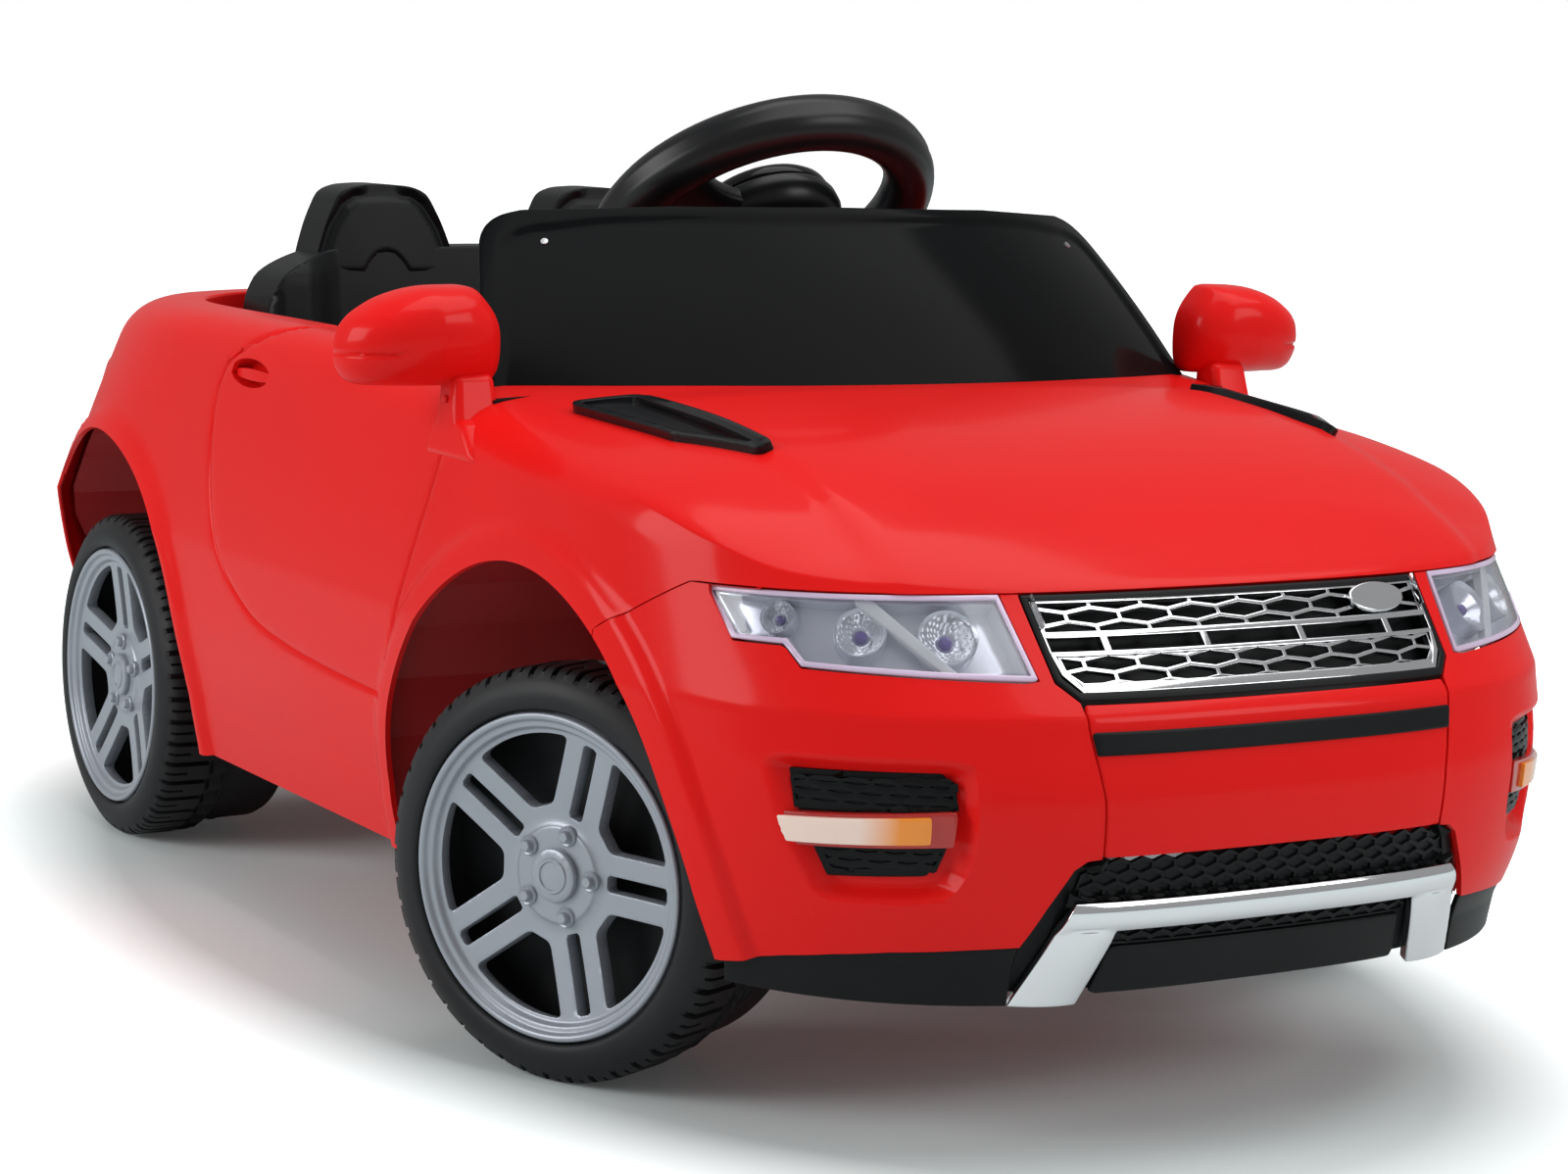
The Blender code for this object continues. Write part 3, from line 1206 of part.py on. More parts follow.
def make_pedal():
    """Accelerator pedal hinged over its switch box on the floor."""
    base = box((-0.098, -0.046), (-0.410, -0.345), (FLOOR_TOP + FIT_GAP, FLOOR_TOP + 0.0100))
    for x in (-0.098, -0.050):
        join(base, box((x, x + 0.004), (-0.355, -0.345), (FLOOR_TOP + 0.009, FLOOR_TOP + 0.0200)))
    pin_z = FLOOR_TOP + 0.0155
    cut(base, prism(circle(-0.350, pin_z, 0.0023, 10), "X", -0.12, -0.03))
    finish(base, "pedal_base", BLACK)
    rise = math.radians(17)
    length = 0.062
    toe = pin_z + length * math.tan(rise)
    plate = [(-0.350 + 0.004, pin_z - 0.0035), (-0.350 - length, toe - 0.0025),
             (-0.350 - length - 0.002, toe + 0.0030), (-0.350 + 0.001, pin_z + 0.0045)]
    pedal = prism(plate, "X", -0.0933, -0.0507)
    join(pedal, prism(circle(-0.350, pin_z, 0.0020, 10), "X", -0.0975, -0.0465))
    finish(pedal, "pedal", BLACK, pivot=(-0.072, -0.350, pin_z))


def make_switches():
    """Direction rocker and power button in the dashboard's rear face."""
    side = [(-0.4505, 0.2975), (-0.4505, 0.3145), (-0.4360, 0.3140), (-0.4385, 0.3060),
            (-0.4360, 0.2980)]
    rocker = prism(side, "X", -0.0983, -0.0817)
    finish(rocker, "direction_switch", BLACK, pivot=(-0.090, -0.445, 0.306))
    button = box((0.0817, 0.0983), (-0.4505, -0.4350), (0.2975, 0.3145))
    finish(button, "power_button", RED_LENS, pivot=(0.090, -0.445, 0.306))


def main():
    make_body_shell()
    make_front_bumper()
    make_rear_bumper()
    make_front_trim()
    make_valance()
    make_grille()
    make_lamps()
    make_hood_vents()
    make_windscreen()
    make_mirrors()
    make_chassis()
    make_seat()
    make_dashboard()
    make_rear_axle()
    make_front_axle()
    make_tie_rod()
    make_steering()
    make_pedal()
    make_switches()
    for side, label in ((1, "left"), (-1, "right")):
        make_wheel(f"rear_{label}", (side * REAR_WHEEL_FACE, 0, TYRE_RADIUS), side, None, 0.0)
        steer = axis_empty(f"steer_axis_{label}", (side * KINGPIN_X, -WHEELBASE, 0), (0, 0, STEER_REST))
        make_knuckle(label, side, steer)
        centre = (side * KINGPIN_TO_FACE, 0, TYRE_RADIUS)
        make_wheel(f"front_{label}", centre, side, steer, FRONT_SPOKE_TURN)


main()
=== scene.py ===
"""The look of the child's ride-on car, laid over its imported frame.

Metres, +Z up, the car faces -Y and its left side is +X. Surfaces are drawn with
the rear axle at y = 0, and each finished piece is set back by REAR_AXLE_Y.
"""
import math

import bmesh
import bpy
from bpy.props import FloatProperty, FloatVectorProperty, IntProperty, PointerProperty
from mathutils import Matrix, Vector


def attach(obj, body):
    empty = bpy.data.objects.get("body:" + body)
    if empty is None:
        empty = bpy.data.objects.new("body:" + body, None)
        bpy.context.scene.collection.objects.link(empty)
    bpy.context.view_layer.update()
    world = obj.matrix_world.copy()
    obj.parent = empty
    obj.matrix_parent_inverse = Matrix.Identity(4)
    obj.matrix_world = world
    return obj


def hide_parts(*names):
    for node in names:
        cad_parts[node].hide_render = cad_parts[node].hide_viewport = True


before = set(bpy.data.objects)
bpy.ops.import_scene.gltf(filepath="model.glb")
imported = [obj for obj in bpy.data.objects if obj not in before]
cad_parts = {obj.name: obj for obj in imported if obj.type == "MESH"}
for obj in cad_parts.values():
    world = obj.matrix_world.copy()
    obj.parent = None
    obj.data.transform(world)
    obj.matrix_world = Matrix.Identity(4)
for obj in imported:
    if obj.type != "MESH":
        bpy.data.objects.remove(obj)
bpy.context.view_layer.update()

bl_info = {
    "name": "Ride-on car",
    "version": (1, 0, 0),
    "blender": (4, 5, 0),
    "location": "3D View > Sidebar > Ride-on car",
    "description": "Builds the visible pieces of a child's ride-on car over its frame",
    "category": "Object",
}

TURN = 2 * math.pi
REAR_AXLE_Y = 0.3310
WHEELBASE = 0.588
STEER_REST = math.radians(24.5)
CAMERA_PLACE = (-1.00716, -1.78519, 0.48153)
CAMERA_TURN = {"azimuth": -30.745, "drop": 7.946, "roll": 1.728}
CAMERA_LENS = 79.78
ROOM_LIGHT = 0.34
# The floor's blue-green tint is painted to cancel the red light the car throws onto it.
FLOOR_COLOUR_AGAINST_RED_BOUNCE = (0.72, 0.79, 0.79, 1)
# Lamps as (name, place, aim, size, power)
LAMPS = [("top_light", (0.5, -0.5, 2.6), (0, 0, 0.2), (2.2, 2.6), 42.0),
         ("side_light", (-3.2, 0.6, 1.5), (0, 0, 0.25), (2.2, 1.6), 54.0),
         ("front_light", (1.6, -3.0, 1.8), (0, -0.3, 0.2), (1.8, 1.2), 26.0)]


class CarSizes(bpy.types.PropertyGroup):
    skin: FloatProperty(name="Skin", description="Thickness of the moulded body",
                        default=0.003, unit="LENGTH")
    edge: FloatProperty(name="Edge rounding", description="Radius on the body's cut edges",
                        default=0.0011, unit="LENGTH")
    groove: FloatProperty(name="Door groove", description="Width of the groove round a door",
                          default=0.0042, unit="LENGTH")
    groove_depth: FloatProperty(name="Groove depth", description="Depth of the groove round a door",
                                default=0.0020, unit="LENGTH")
    mesh_bar: FloatProperty(name="Grille bar", description="Width of the bars between grille cells",
                            default=0.0019, unit="LENGTH")
    tread_blocks: IntProperty(name="Tread blocks", description="Blocks round one shoulder of a tyre",
                              default=44, min=12, max=90)


class CarColours(bpy.types.PropertyGroup):
    body: FloatVectorProperty(name="Body", description="Moulded red body", subtype="COLOR",
                              size=3, min=0, max=1, default=(0.80, 0.0095, 0.0085))
    # The Inside red is the body red darkened: painted shade for faces inside and under the body, which are the same red
    # plastic.
    inside: FloatVectorProperty(name="Inside", description="Red under body", subtype="COLOR",
                                size=3, min=0, max=1, default=(0.50, 0.010, 0.012))
    trim: FloatVectorProperty(name="Black trim", description="Black plastic parts", subtype="COLOR",
                              size=3, min=0, max=1, default=(0.0070, 0.0078, 0.0085))
    wheel: FloatVectorProperty(name="Wheel cover", description="Silver paint of the wheel covers",
                               subtype="COLOR", size=3, min=0, max=1, default=(0.36, 0.39, 0.44))


def sizes():
    return bpy.context.scene.car_sizes


def mix(a, b, share):
    return a + (b - a) * share


def smooth(share):
    """Ease from 0 to 1."""
    share = min(max(share, 0.0), 1.0)
    return share * share * (3 - 2 * share)


def curve_point(points, t):
    """Smooth curve between the middle two of four points."""
    a, b, c, d = (Vector(point) for point in points)
    return 0.5 * (2 * b + (c - a) * t + (2 * a - 5 * b + 4 * c - d) * t * t + (3 * b - a - 3 * c + d) * t ** 3)


def round_stops(count):
    """Even angles round a full turn."""
    return [TURN * k / count for k in range(count)]


def through(knots, x):
    """Smooth curve through (x, value) knots without overshoot."""
    if x <= knots[0][0]:
        return knots[0][1]
    if x >= knots[-1][0]:
        return knots[-1][1]
    i = max(k for k in range(len(knots) - 1) if knots[k][0] <= x)

    def secant(k):
        return (knots[k + 1][1] - knots[k][1]) / (knots[k + 1][0] - knots[k][0])

    def slope(k):
        if k == 0:
            return secant(0)
        if k == len(knots) - 1:
            return secant(k - 1)
        before, after = secant(k - 1), secant(k)
        return 0.0 if before * after <= 0 else 2 * before * after / (before + after)

    step = knots[i + 1][0] - knots[i][0]
    t = (x - knots[i][0]) / step
    start = (2 * t ** 3 - 3 * t * t + 1) * knots[i][1] + (t ** 3 - 2 * t * t + t) * step * slope(i)
    end = (3 * t * t - 2 * t ** 3) * knots[i + 1][1] + (t ** 3 - t * t) * step * slope(i + 1)
    return start + end


# Body surface: rings of the lower body as (height, half width, nose, tail, sharpness)
WAIST_HEIGHT = 0.212
NOSE_CENTRE = 0.61
HOOD_EDGE_HEIGHT = 0.266
LOWER_TAIL_CENTRE = 0.05
UPPER_TAIL_CENTRE = 0.15
BODY_BOTTOM = 0.084
VALANCE_BOTTOM = 0.078
LOWER_RINGS = [(0.075, 0.240, 0.862, 0.190, 2.90), (0.125, 0.257, 0.878, 0.212, 2.90),
               (0.170, 0.263, 0.884, 0.220, 2.90), (WAIST_HEIGHT, 0.264, 0.877, 0.222, 2.85)]
LOWER_TAIL_POWER = 3.0
SHOULDER_RING = (0.253, 0.832, 0.200, 3.0)
SHOULDER_TAIL_POWER = 2.2
SHOULDER_HEIGHTS = [
    (-0.20, 0.335), (-0.08, 0.341), (0.00, 0.343), (0.15, 0.345), (0.27, 0.346),
    (0.33, 0.344), (0.40, 0.335), (0.45, 0.331), (0.50, 0.325), (0.55, 0.313),
    (0.60, 0.307), (0.65, 0.303), (0.70, 0.297), (0.745, 0.284), (0.78, 0.272),
    (0.832, HOOD_EDGE_HEIGHT),
]
MIDDLE_HEIGHTS = [
    (-0.20, 0.335), (-0.12, 0.345), (0.00, 0.350), (0.30, 0.348), (0.50, 0.337),
    (0.567, 0.333), (0.62, 0.329), (0.683, 0.321), (0.74, 0.307), (0.78, 0.292),
    (0.81, 0.278), (0.832, HOOD_EDGE_HEIGHT),
]
CROWN_POWER = 4.0
NOSE_SHARE = 0.36
SIDE_SHARE = 0.80
FRONT_ARCH = {"ahead": 0.608, "height": 0.1034, "radius": 0.152}
REAR_ARCH = {"ahead": 0.004, "height": 0.1034, "radius": 0.160}


def ring_sizes(height):
    """Half width, nose, tail, powers and tail centre of the body at a height."""
    if height <= WAIST_HEIGHT:
        columns = [[(row[0], row[k]) for row in LOWER_RINGS] for k in range(1, 5)]
        half, nose, tail, power = [through(column, height) for column in columns]
        return half, nose, tail, power, LOWER_TAIL_POWER, LOWER_TAIL_CENTRE
    return flank_sizes((height - WAIST_HEIGHT) / (HOOD_EDGE_HEIGHT - WAIST_HEIGHT))


def flank_sizes(share):
    _, half, nose, tail, power = LOWER_RINGS[-1]
    return (mix(half, SHOULDER_RING[0], share), mix(nose, SHOULDER_RING[1], share),
            mix(tail, SHOULDER_RING[2], share), mix(power, SHOULDER_RING[3], share),
            mix(LOWER_TAIL_POWER, SHOULDER_TAIL_POWER, share),
            mix(LOWER_TAIL_CENTRE, UPPER_TAIL_CENTRE, share))


def fascia_y(x, z):
    """Place of the front face's outer surface."""
    half, nose, _, power, _, _ = ring_sizes(z)
    reach = min(abs(x) / half, 0.999)
    return -NOSE_CENTRE - (nose - NOSE_CENTRE) * (1 - reach ** power) ** (1 / power)


def shoulder_half_width(y):
    half, nose, tail, power, tail_power, tail_centre = flank_sizes(1.0)
    if -y > NOSE_CENTRE:
        reach = min((-y - NOSE_CENTRE) / (nose - NOSE_CENTRE), 1.0)
        return half * (1 - reach ** power) ** (1 / power)
    if y > -tail_centre:
        reach = min((y + tail_centre) / (tail + tail_centre), 1.0)
        return half * (1 - reach ** tail_power) ** (1 / tail_power)
    return half


def top_height(x, y):
    """Height of the hood and rear deck."""
    edge = through(SHOULDER_HEIGHTS, -y)
    middle = through(MIDDLE_HEIGHTS, -y)
    half = max(shoulder_half_width(y), 1e-6)
    return edge + (middle - edge) * (1 - min(abs(x) / half, 1.0) ** CROWN_POWER)


def even_angles(half, length, power, count=120):
    """Angles that spread points evenly round a rounded corner."""
    fine = [math.pi / 2 * k / 900 for k in range(901)]
    points = [(half * math.sin(a) ** (2 / power), length * max(math.cos(a), 0.0) ** (2 / power)) for a in fine]
    lengths = [0.0]
    for a, b in zip(points, points[1:]):
        lengths.append(lengths[-1] + math.dist(a, b))
    angles, k = [], 0
    for n in range(count + 1):
        target = lengths[-1] * n / count
        while k < 899 and lengths[k + 1] < target:
            k += 1
        angles.append(mix(fine[k], fine[k + 1], (target - lengths[k]) / (lengths[k + 1] - lengths[k])))
    return angles


NOSE_ANGLES = even_angles(0.264, 0.267, 2.85)
TAIL_ANGLES = even_angles(0.264, 0.272, 3.0)


def angle_at(angles, share):
    place = min(max(share, 0.0), 1.0) * (len(angles) - 1)
    k = min(int(place), len(angles) - 2)
    return mix(angles[k], angles[k + 1], place - k)


def outline_point(ring, s):
    """A point of a half ring, s running from the nose round the left side to the tail."""
    half, nose, tail, power, tail_power, tail_centre = ring
    if s <= NOSE_SHARE:
        angle = angle_at(NOSE_ANGLES, s / NOSE_SHARE)
        return (half * math.sin(angle) ** (2 / power),
                -NOSE_CENTRE - (nose - NOSE_CENTRE) * max(math.cos(angle), 0.0) ** (2 / power))
    if s < SIDE_SHARE:
        return half, mix(-NOSE_CENTRE, -tail_centre, (s - NOSE_SHARE) / (SIDE_SHARE - NOSE_SHARE))
    angle = angle_at(TAIL_ANGLES, (1 - s) / (1 - SIDE_SHARE))
    return (half * math.sin(angle) ** (2 / tail_power),
            (tail + tail_centre) * max(math.cos(angle), 0.0) ** (2 / tail_power) - tail_centre)


def plain_body(s, t):
    """Body surface: t is 0 to 1 below the waist, to 2 up the flank, to 3 over the top."""
    if t < 1:
        height = mix(BODY_BOTTOM, WAIST_HEIGHT, t)
        x, y = outline_point(ring_sizes(height), s)
        return Vector((x, y, height))
    if t < 2:
        x, y = outline_point(flank_sizes(t - 1), s)
        return Vector((x, y, mix(WAIST_HEIGHT, through(SHOULDER_HEIGHTS, -y), t - 1)))
    x, y = outline_point(flank_sizes(1.0), s)
    spine = min(max(y, -NOSE_CENTRE), -UPPER_TAIL_CENTRE)
    spine += 0.25 * (y - spine)
    x, y = x * (3 - t), mix(y, spine, t - 2)
    return Vector((x, y, top_height(x, y)))


SHOULDER_BELOW = 0.17
SHOULDER_ABOVE = 0.10


def rounded_body(s, t):
    """The body surface with its shoulder rounded along the sides."""
    low, high = 2 - SHOULDER_BELOW, 2 + SHOULDER_ABOVE
    if not low < t < high:
        return plain_body(s, t)
    share = smooth((s - NOSE_SHARE * 0.62) / (NOSE_SHARE * 0.30))
    if share == 0:
        return plain_body(s, t)
    w = (t - low) / (high - low)
    below, corner, above = plain_body(s, low), plain_body(s, 2.0), plain_body(s, high)
    bend = below * (1 - w) ** 2 + corner * 2 * w * (1 - w) + above * w * w
    return plain_body(s, t).lerp(bend, share)


LIP_RISE = 0.0042
SILL_HEIGHT = 0.1185


def arch_lip(point, arch, width):
    """Rise of the lip round a wheel arch."""
    away = math.hypot(point.y + arch["ahead"], point.z - arch["height"]) - arch["radius"]
    return LIP_RISE * smooth((width - away) / 0.0075) if away < width else 0.0


def body_relief(point):
    """How far the surface stands out of its plain shape."""
    rise = 0.0
    if abs(point.x) > 0.19 and point.z < 0.30:
        rise = max(arch_lip(point, FRONT_ARCH, 0.0205), arch_lip(point, REAR_ARCH, 0.0130))
        if point.z < SILL_HEIGHT and -0.47 < point.y < -0.15:
            rise += 0.0055 * (SILL_HEIGHT - point.z) / (SILL_HEIGHT - BODY_BOTTOM)
    elif point.z > 0.262 and point.y < -0.54:
        dome = smooth((0.1765 - abs(point.x)) / 0.0085)
        fade = smooth((-0.545 - point.y) / 0.05) * smooth((point.y + 0.834) / 0.055)
        rise = 0.0034 * dome * fade
    return rise


def body_place(s, t):
    point = rounded_body(s, t)
    rise = body_relief(point)
    if rise == 0:
        return point
    e = 1e-3
    along = rounded_body(min(s + e, 1), t) - rounded_body(max(s - e, 0), t)
    up = rounded_body(s, min(t + e, 3)) - rounded_body(s, max(t - e, 0))
    normal = along.cross(up).normalized()
    if normal.dot(point - Vector((0, mix(point.y, -0.33, 0.3), 0.19))) < 0:
        normal = -normal
    return point + normal * rise


# Sheets: a surface sampled at (u, v) corners whose cells are cut along drawn lines
def sheet_over(place, across, along, turn=0.0):
    """A grid of cells; turn is the period across where the sheet closes on itself."""
    n = len(across)
    cells = []
    for j in range(len(along) - 1):
        for i in range(n if turn else n - 1):
            a, b = j * n + i, j * n + (i + 1) % n
            cells.append([a, b, b + n, a + n])
    corners = [(u, v) for v in along for u in across]
    return {"place": place, "corners": corners, "cells": cells, "held": set(), "turn": turn,
            "points": [place(u, v) for u, v in corners]}


def between(sheet, a, b, share):
    """A place between two corners."""
    (ua, va), (ub, vb) = sheet["corners"][a], sheet["corners"][b]
    turn = sheet["turn"]
    if turn and abs(ub - ua) > turn / 2:
        ub += turn if ub < ua else -turn
    return mix(ua, ub, share), mix(va, vb, share)


def stops(low, high, count):
    return [mix(low, high, k / count) for k in range(count + 1)]


def draw_line(sheet, side, within=None):
    """Move corners onto the line where side is zero and split cells along it."""
    corners, points, held, place = sheet["corners"], sheet["points"], sheet["held"], sheet["place"]
    value = [side(point) for point in points]
    for k in held:
        if abs(value[k]) < 2e-6:
            value[k] = 0.0
    edges = {tuple(sorted((cell[k - 1], cell[k]))) for cell in sheet["cells"] for k in range(len(cell))}
    moves = {}
    for a, b in sorted(edges):
        if value[a] * value[b] >= 0:
            continue
        low, high = 0.0, 1.0
        for _ in range(11):
            half = (low + high) / 2
            if side(place(*between(sheet, a, b, half))) * value[a] > 0:
                low = half
            else:
                high = half
        uv = between(sheet, a, b, high)
        if within and not within(place(*uv)):
            continue
        near, part, other = (a, high, b) if high <= 0.5 else (b, 1 - high, a)
        if near in held and other not in held:
            near, part = other, 1 - part
        if near not in moves or part < moves[near][0]:
            moves[near] = (part, uv)
    for k, (_, uv) in moves.items():
        corners[k] = uv
        points[k] = place(*uv)
        value[k] = 0.0
        held.add(k)
    cells = []
    for cell in sheet["cells"]:
        if len(cell) == 4:
            for k in (0, 1):
                if value[cell[k]] == 0 and value[cell[k + 2]] == 0 and value[cell[k + 1]] * value[cell[k - 1]] < 0:
                    cells.append([cell[k], cell[k + 1], cell[k + 2]])
                    cells.append([cell[k], cell[k + 2], cell[k - 1]])
                    break
            else:
                cells.append(cell)
        else:
            cells.append(cell)
    sheet["cells"] = cells
    return value


def trim(sheet, side, within=None):
    """Keep the part of a sheet where side is positive."""
    value = draw_line(sheet, side, within)
    kept = []
    for cell in sheet["cells"]:
        if within and not all(within(sheet["points"][k]) for k in cell):
            kept.append(cell)
            continue
        total = sum(value[k] for k in cell)
        if max(value[k] for k in cell) > 0 and total > 0:
            kept.append(cell)
    sheet["cells"] = kept
    return sheet


def inside_outline(outline, axes, reach=0.03):
    """Signed distance into a closed outline seen along one axis."""
    a, b = axes
    low = [min(p[k] for p in outline) - reach for k in (0, 1)]
    high = [max(p[k] for p in outline) + reach for k in (0, 1)]
    pairs = [(outline[k - 1], outline[k]) for k in range(len(outline))]

    def side(point):
        u, v = point[a], point[b]
        if u < low[0] or u > high[0] or v < low[1] or v > high[1]:
            return -reach
        best, within = 1e9, False
        for p, q in pairs:
            du, dv = q[0] - p[0], q[1] - p[1]
            share = ((u - p[0]) * du + (v - p[1]) * dv) / max(du * du + dv * dv, 1e-18)
            share = min(max(share, 0.0), 1.0)
            best = min(best, math.hypot(u - p[0] - share * du, v - p[1] - share * dv))
            if (p[1] > v) != (q[1] > v) and u < p[0] + (v - p[1]) / dv * du:
                within = not within
        return best if within else -best
    return side


def outside_outline(outline, axes, reach=0.03):
    inner = inside_outline(outline, axes, reach)
    return lambda point: -inner(point)


def pin_corners(sheet, outline, axes, sharp=25):
    """Move the nearest corners of a sheet onto an outline's sharp corners."""
    place, corners, points = sheet["place"], sheet["corners"], sheet["points"]
    a, b = axes
    for k, target in enumerate(outline):
        before, after = outline[k - 1], outline[(k + 1) % len(outline)]
        into = Vector((target[0] - before[0], target[1] - before[1]))
        out = Vector((after[0] - target[0], after[1] - target[1]))
        if into.length < 1e-7 or out.length < 1e-7 or math.degrees(into.angle(out)) < sharp:
            continue
        near = min((i for i in range(len(points)) if i not in sheet["held"]),
                   key=lambda i: math.hypot(points[i][a] - target[0], points[i][b] - target[1]))
        if math.hypot(points[near][a] - target[0], points[near][b] - target[1]) > 0.012:
            continue
        u, v = corners[near]
        for _ in range(12):
            here = place(u, v)
            e = 1e-5
            pu, pv = place(u + e, v), place(u, v + e)
            m = [[(pu[a] - here[a]) / e, (pv[a] - here[a]) / e], [(pu[b] - here[b]) / e, (pv[b] - here[b]) / e]]
            det = m[0][0] * m[1][1] - m[0][1] * m[1][0]
            if abs(det) < 1e-12:
                break
            da, db = target[0] - here[a], target[1] - here[b]
            u += (da * m[1][1] - db * m[0][1]) / det
            v += (db * m[0][0] - da * m[1][0]) / det
        corners[near] = (u, v)
        points[near] = place(u, v)
        sheet["held"].add(near)


def cut_out(sheet, outline, axes):
    pin_corners(sheet, outline, axes)
    return trim(sheet, outside_outline(outline, axes))


def cut_to(sheet, outline, axes):
    pin_corners(sheet, outline, axes)
    return trim(sheet, inside_outline(outline, axes))


def corner(start, here, end, steps):
    """Points of a bend from start to end, drawn towards a corner."""
    bend = [start * (1 - w) ** 2 + here * 2 * w * (1 - w) + end * w * w for w in stops(0, 1, steps)]
    return [(point.x, point.y) for point in bend]


def rounded(outline, radius, steps=3):
    """A closed outline with its corners rounded."""
    result = []
    for k, here in enumerate(outline):
        a, b = Vector(outline[k - 1]), Vector(outline[(k + 1) % len(outline)])
        here = Vector(here)
        r = min(radius, (a - here).length * 0.45, (b - here).length * 0.45)
        result += corner(here + (a - here).normalized() * r, here, here + (b - here).normalized() * r, steps)
    return result


def winding(outline):
    """1 for an outline drawn anticlockwise, otherwise -1."""
    return 1 if sum(a[0] * b[1] - b[0] * a[1] for a, b in zip(outline, outline[1:] + outline[:1])) > 0 else -1


def grown(outline, amount):
    """An outline moved outwards by an amount, with mitred corners."""
    way = winding(outline)
    result = []
    for k, here in enumerate(outline):
        before, after = outline[k - 1], outline[(k + 1) % len(outline)]
        a = Vector((here[0] - before[0], here[1] - before[1])).normalized()
        b = Vector((after[0] - here[0], after[1] - here[1])).normalized()
        na, nb = Vector((a.y, -a.x)) * way, Vector((b.y, -b.x)) * way
        bisector = (na + nb).normalized()
        reach = amount / max(bisector.dot(na), 0.35)
        result.append((here[0] + bisector.x * reach, here[1] + bisector.y * reach))
    return result


def mirrored(outline):
    return [(-u, v) for u, v in reversed(outline)]


def both_sides(half):
    """A closed outline from its half, drawn bottom to top on the left side."""
    return half + mirrored(half)


# Working objects
def settle(obj=None):
    """Leave edit mode, deselect everything and make one object active."""
    active = bpy.context.view_layer.objects.active
    if active and active.mode != "OBJECT":
        bpy.ops.object.mode_set(mode="OBJECT")
    bpy.ops.object.select_all(action="DESELECT")
    if obj:
        obj.select_set(True)
        bpy.context.view_layer.objects.active = obj
    return obj


def object_of(name, points, faces):
    mesh = bpy.data.meshes.new(name)
    mesh.from_pydata([tuple(p) for p in points], [], faces)
    mesh.validate()
    obj = bpy.data.objects.new(name, mesh)
    bpy.context.scene.collection.objects.link(obj)
    return obj


def sheet_object(name, sheet, inside):
    """Make a mesh of a sheet, facing away from a point inside the object."""
    used = sorted({k for cell in sheet["cells"] for k in cell})
    number = {k: n for n, k in enumerate(used)}
    points = [sheet["points"][k] for k in used]
    faces = [[number[k] for k in cell] for cell in sheet["cells"]]
    obj = object_of(name, points, faces)
    inside = Vector(inside)
    total = sum(p.area * p.normal.dot(p.center - inside) for p in obj.data.polygons)
    if total < 0:
        obj.data.flip_normals()
    return obj


def use_modifier(obj, kind, **settings):
    """Add a modifier and apply it."""
    settle(obj)
    modifier = obj.modifiers.new(kind.title(), kind)
    for key, value in settings.items():
        setattr(modifier, key, value)
    bpy.ops.object.modifier_apply(modifier=modifier.name)
    return obj


def mirror_across(obj):
    return use_modifier(obj, "MIRROR", use_clip=True, merge_threshold=1e-5)


def thicken(obj, thickness, offset=-1):
    return use_modifier(obj, "SOLIDIFY", thickness=thickness, offset=offset)


def round_edges(obj, width, segments=2, angle=38):
    return use_modifier(obj, "BEVEL", width=width, segments=segments, limit_method="ANGLE",
                        angle_limit=math.radians(angle), use_clamp_overlap=True)


def soft_shade(obj, angle=50):
    obj.data.shade_smooth()
    obj.data.set_sharp_from_angle(angle=math.radians(angle))
    return use_modifier(obj, "WEIGHTED_NORMAL", weight=50, keep_sharp=True)


def moulded(obj, thickness, edge, segments=2, angle=50, shade=50):
    """Give a skin its thickness, rounded edges and smooth shading."""
    thicken(obj, thickness)
    round_edges(obj, edge, segments, angle)
    return soft_shade(obj, shade)


def edit_all(obj, *steps):
    """Run steps on a whole mesh in edit mode."""
    settle(obj)
    bpy.ops.object.mode_set(mode="EDIT")
    bpy.ops.mesh.select_all(action="SELECT")
    for step in steps:
        step()
    bpy.ops.object.mode_set(mode="OBJECT")
    return obj


def face_out():
    bpy.ops.mesh.normals_make_consistent(inside=False)


def pick_edges(obj, wanted):
    """Select the wanted edges; edit mode is left on."""
    settle(obj)
    bpy.ops.object.mode_set(mode="EDIT")
    bpy.ops.mesh.select_mode(type="EDGE")
    bpy.ops.mesh.select_all(action="DESELECT")
    bm = bmesh.from_edit_mesh(obj.data)
    chosen = [edge for edge in bm.edges if wanted(edge)]
    for edge in chosen:
        edge.select_set(True)
    bmesh.update_edit_mesh(obj.data)
    return bool(chosen)


def push(obj, amount):
    """Move every point along its normal."""
    return edit_all(obj, lambda: bpy.ops.transform.shrink_fatten(value=amount))


def joined(first, *others):
    settle(first)
    for other in others:
        other.select_set(True)
    bpy.ops.object.join()
    return first


def copy_of(obj, matrix=None):
    """A copy with its own mesh, moved or mirrored."""
    copy = bpy.data.objects.new(obj.name, obj.data.copy())
    bpy.context.scene.collection.objects.link(copy)
    if matrix is not None:
        copy.data.transform(matrix)
        if matrix.determinant() < 0:
            copy.data.flip_normals()
    return copy


ACROSS = Matrix.Diagonal((-1, 1, 1, 1))
LOOKS = {}


def finish_piece(obj, name, look, body, nodes=(), slot=None, set_back=True):
    """Name a piece, place it, give it its finish and hang it on its body."""
    settle(obj)
    obj.name = name
    obj.data.name = name
    if set_back:
        obj.data.transform(Matrix.Translation((0, REAR_AXLE_Y, 0)))
    obj.data.materials.clear()
    obj.data.materials.append(LOOKS[look])
    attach(obj, body)
    if nodes:
        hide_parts(*nodes)
    return obj


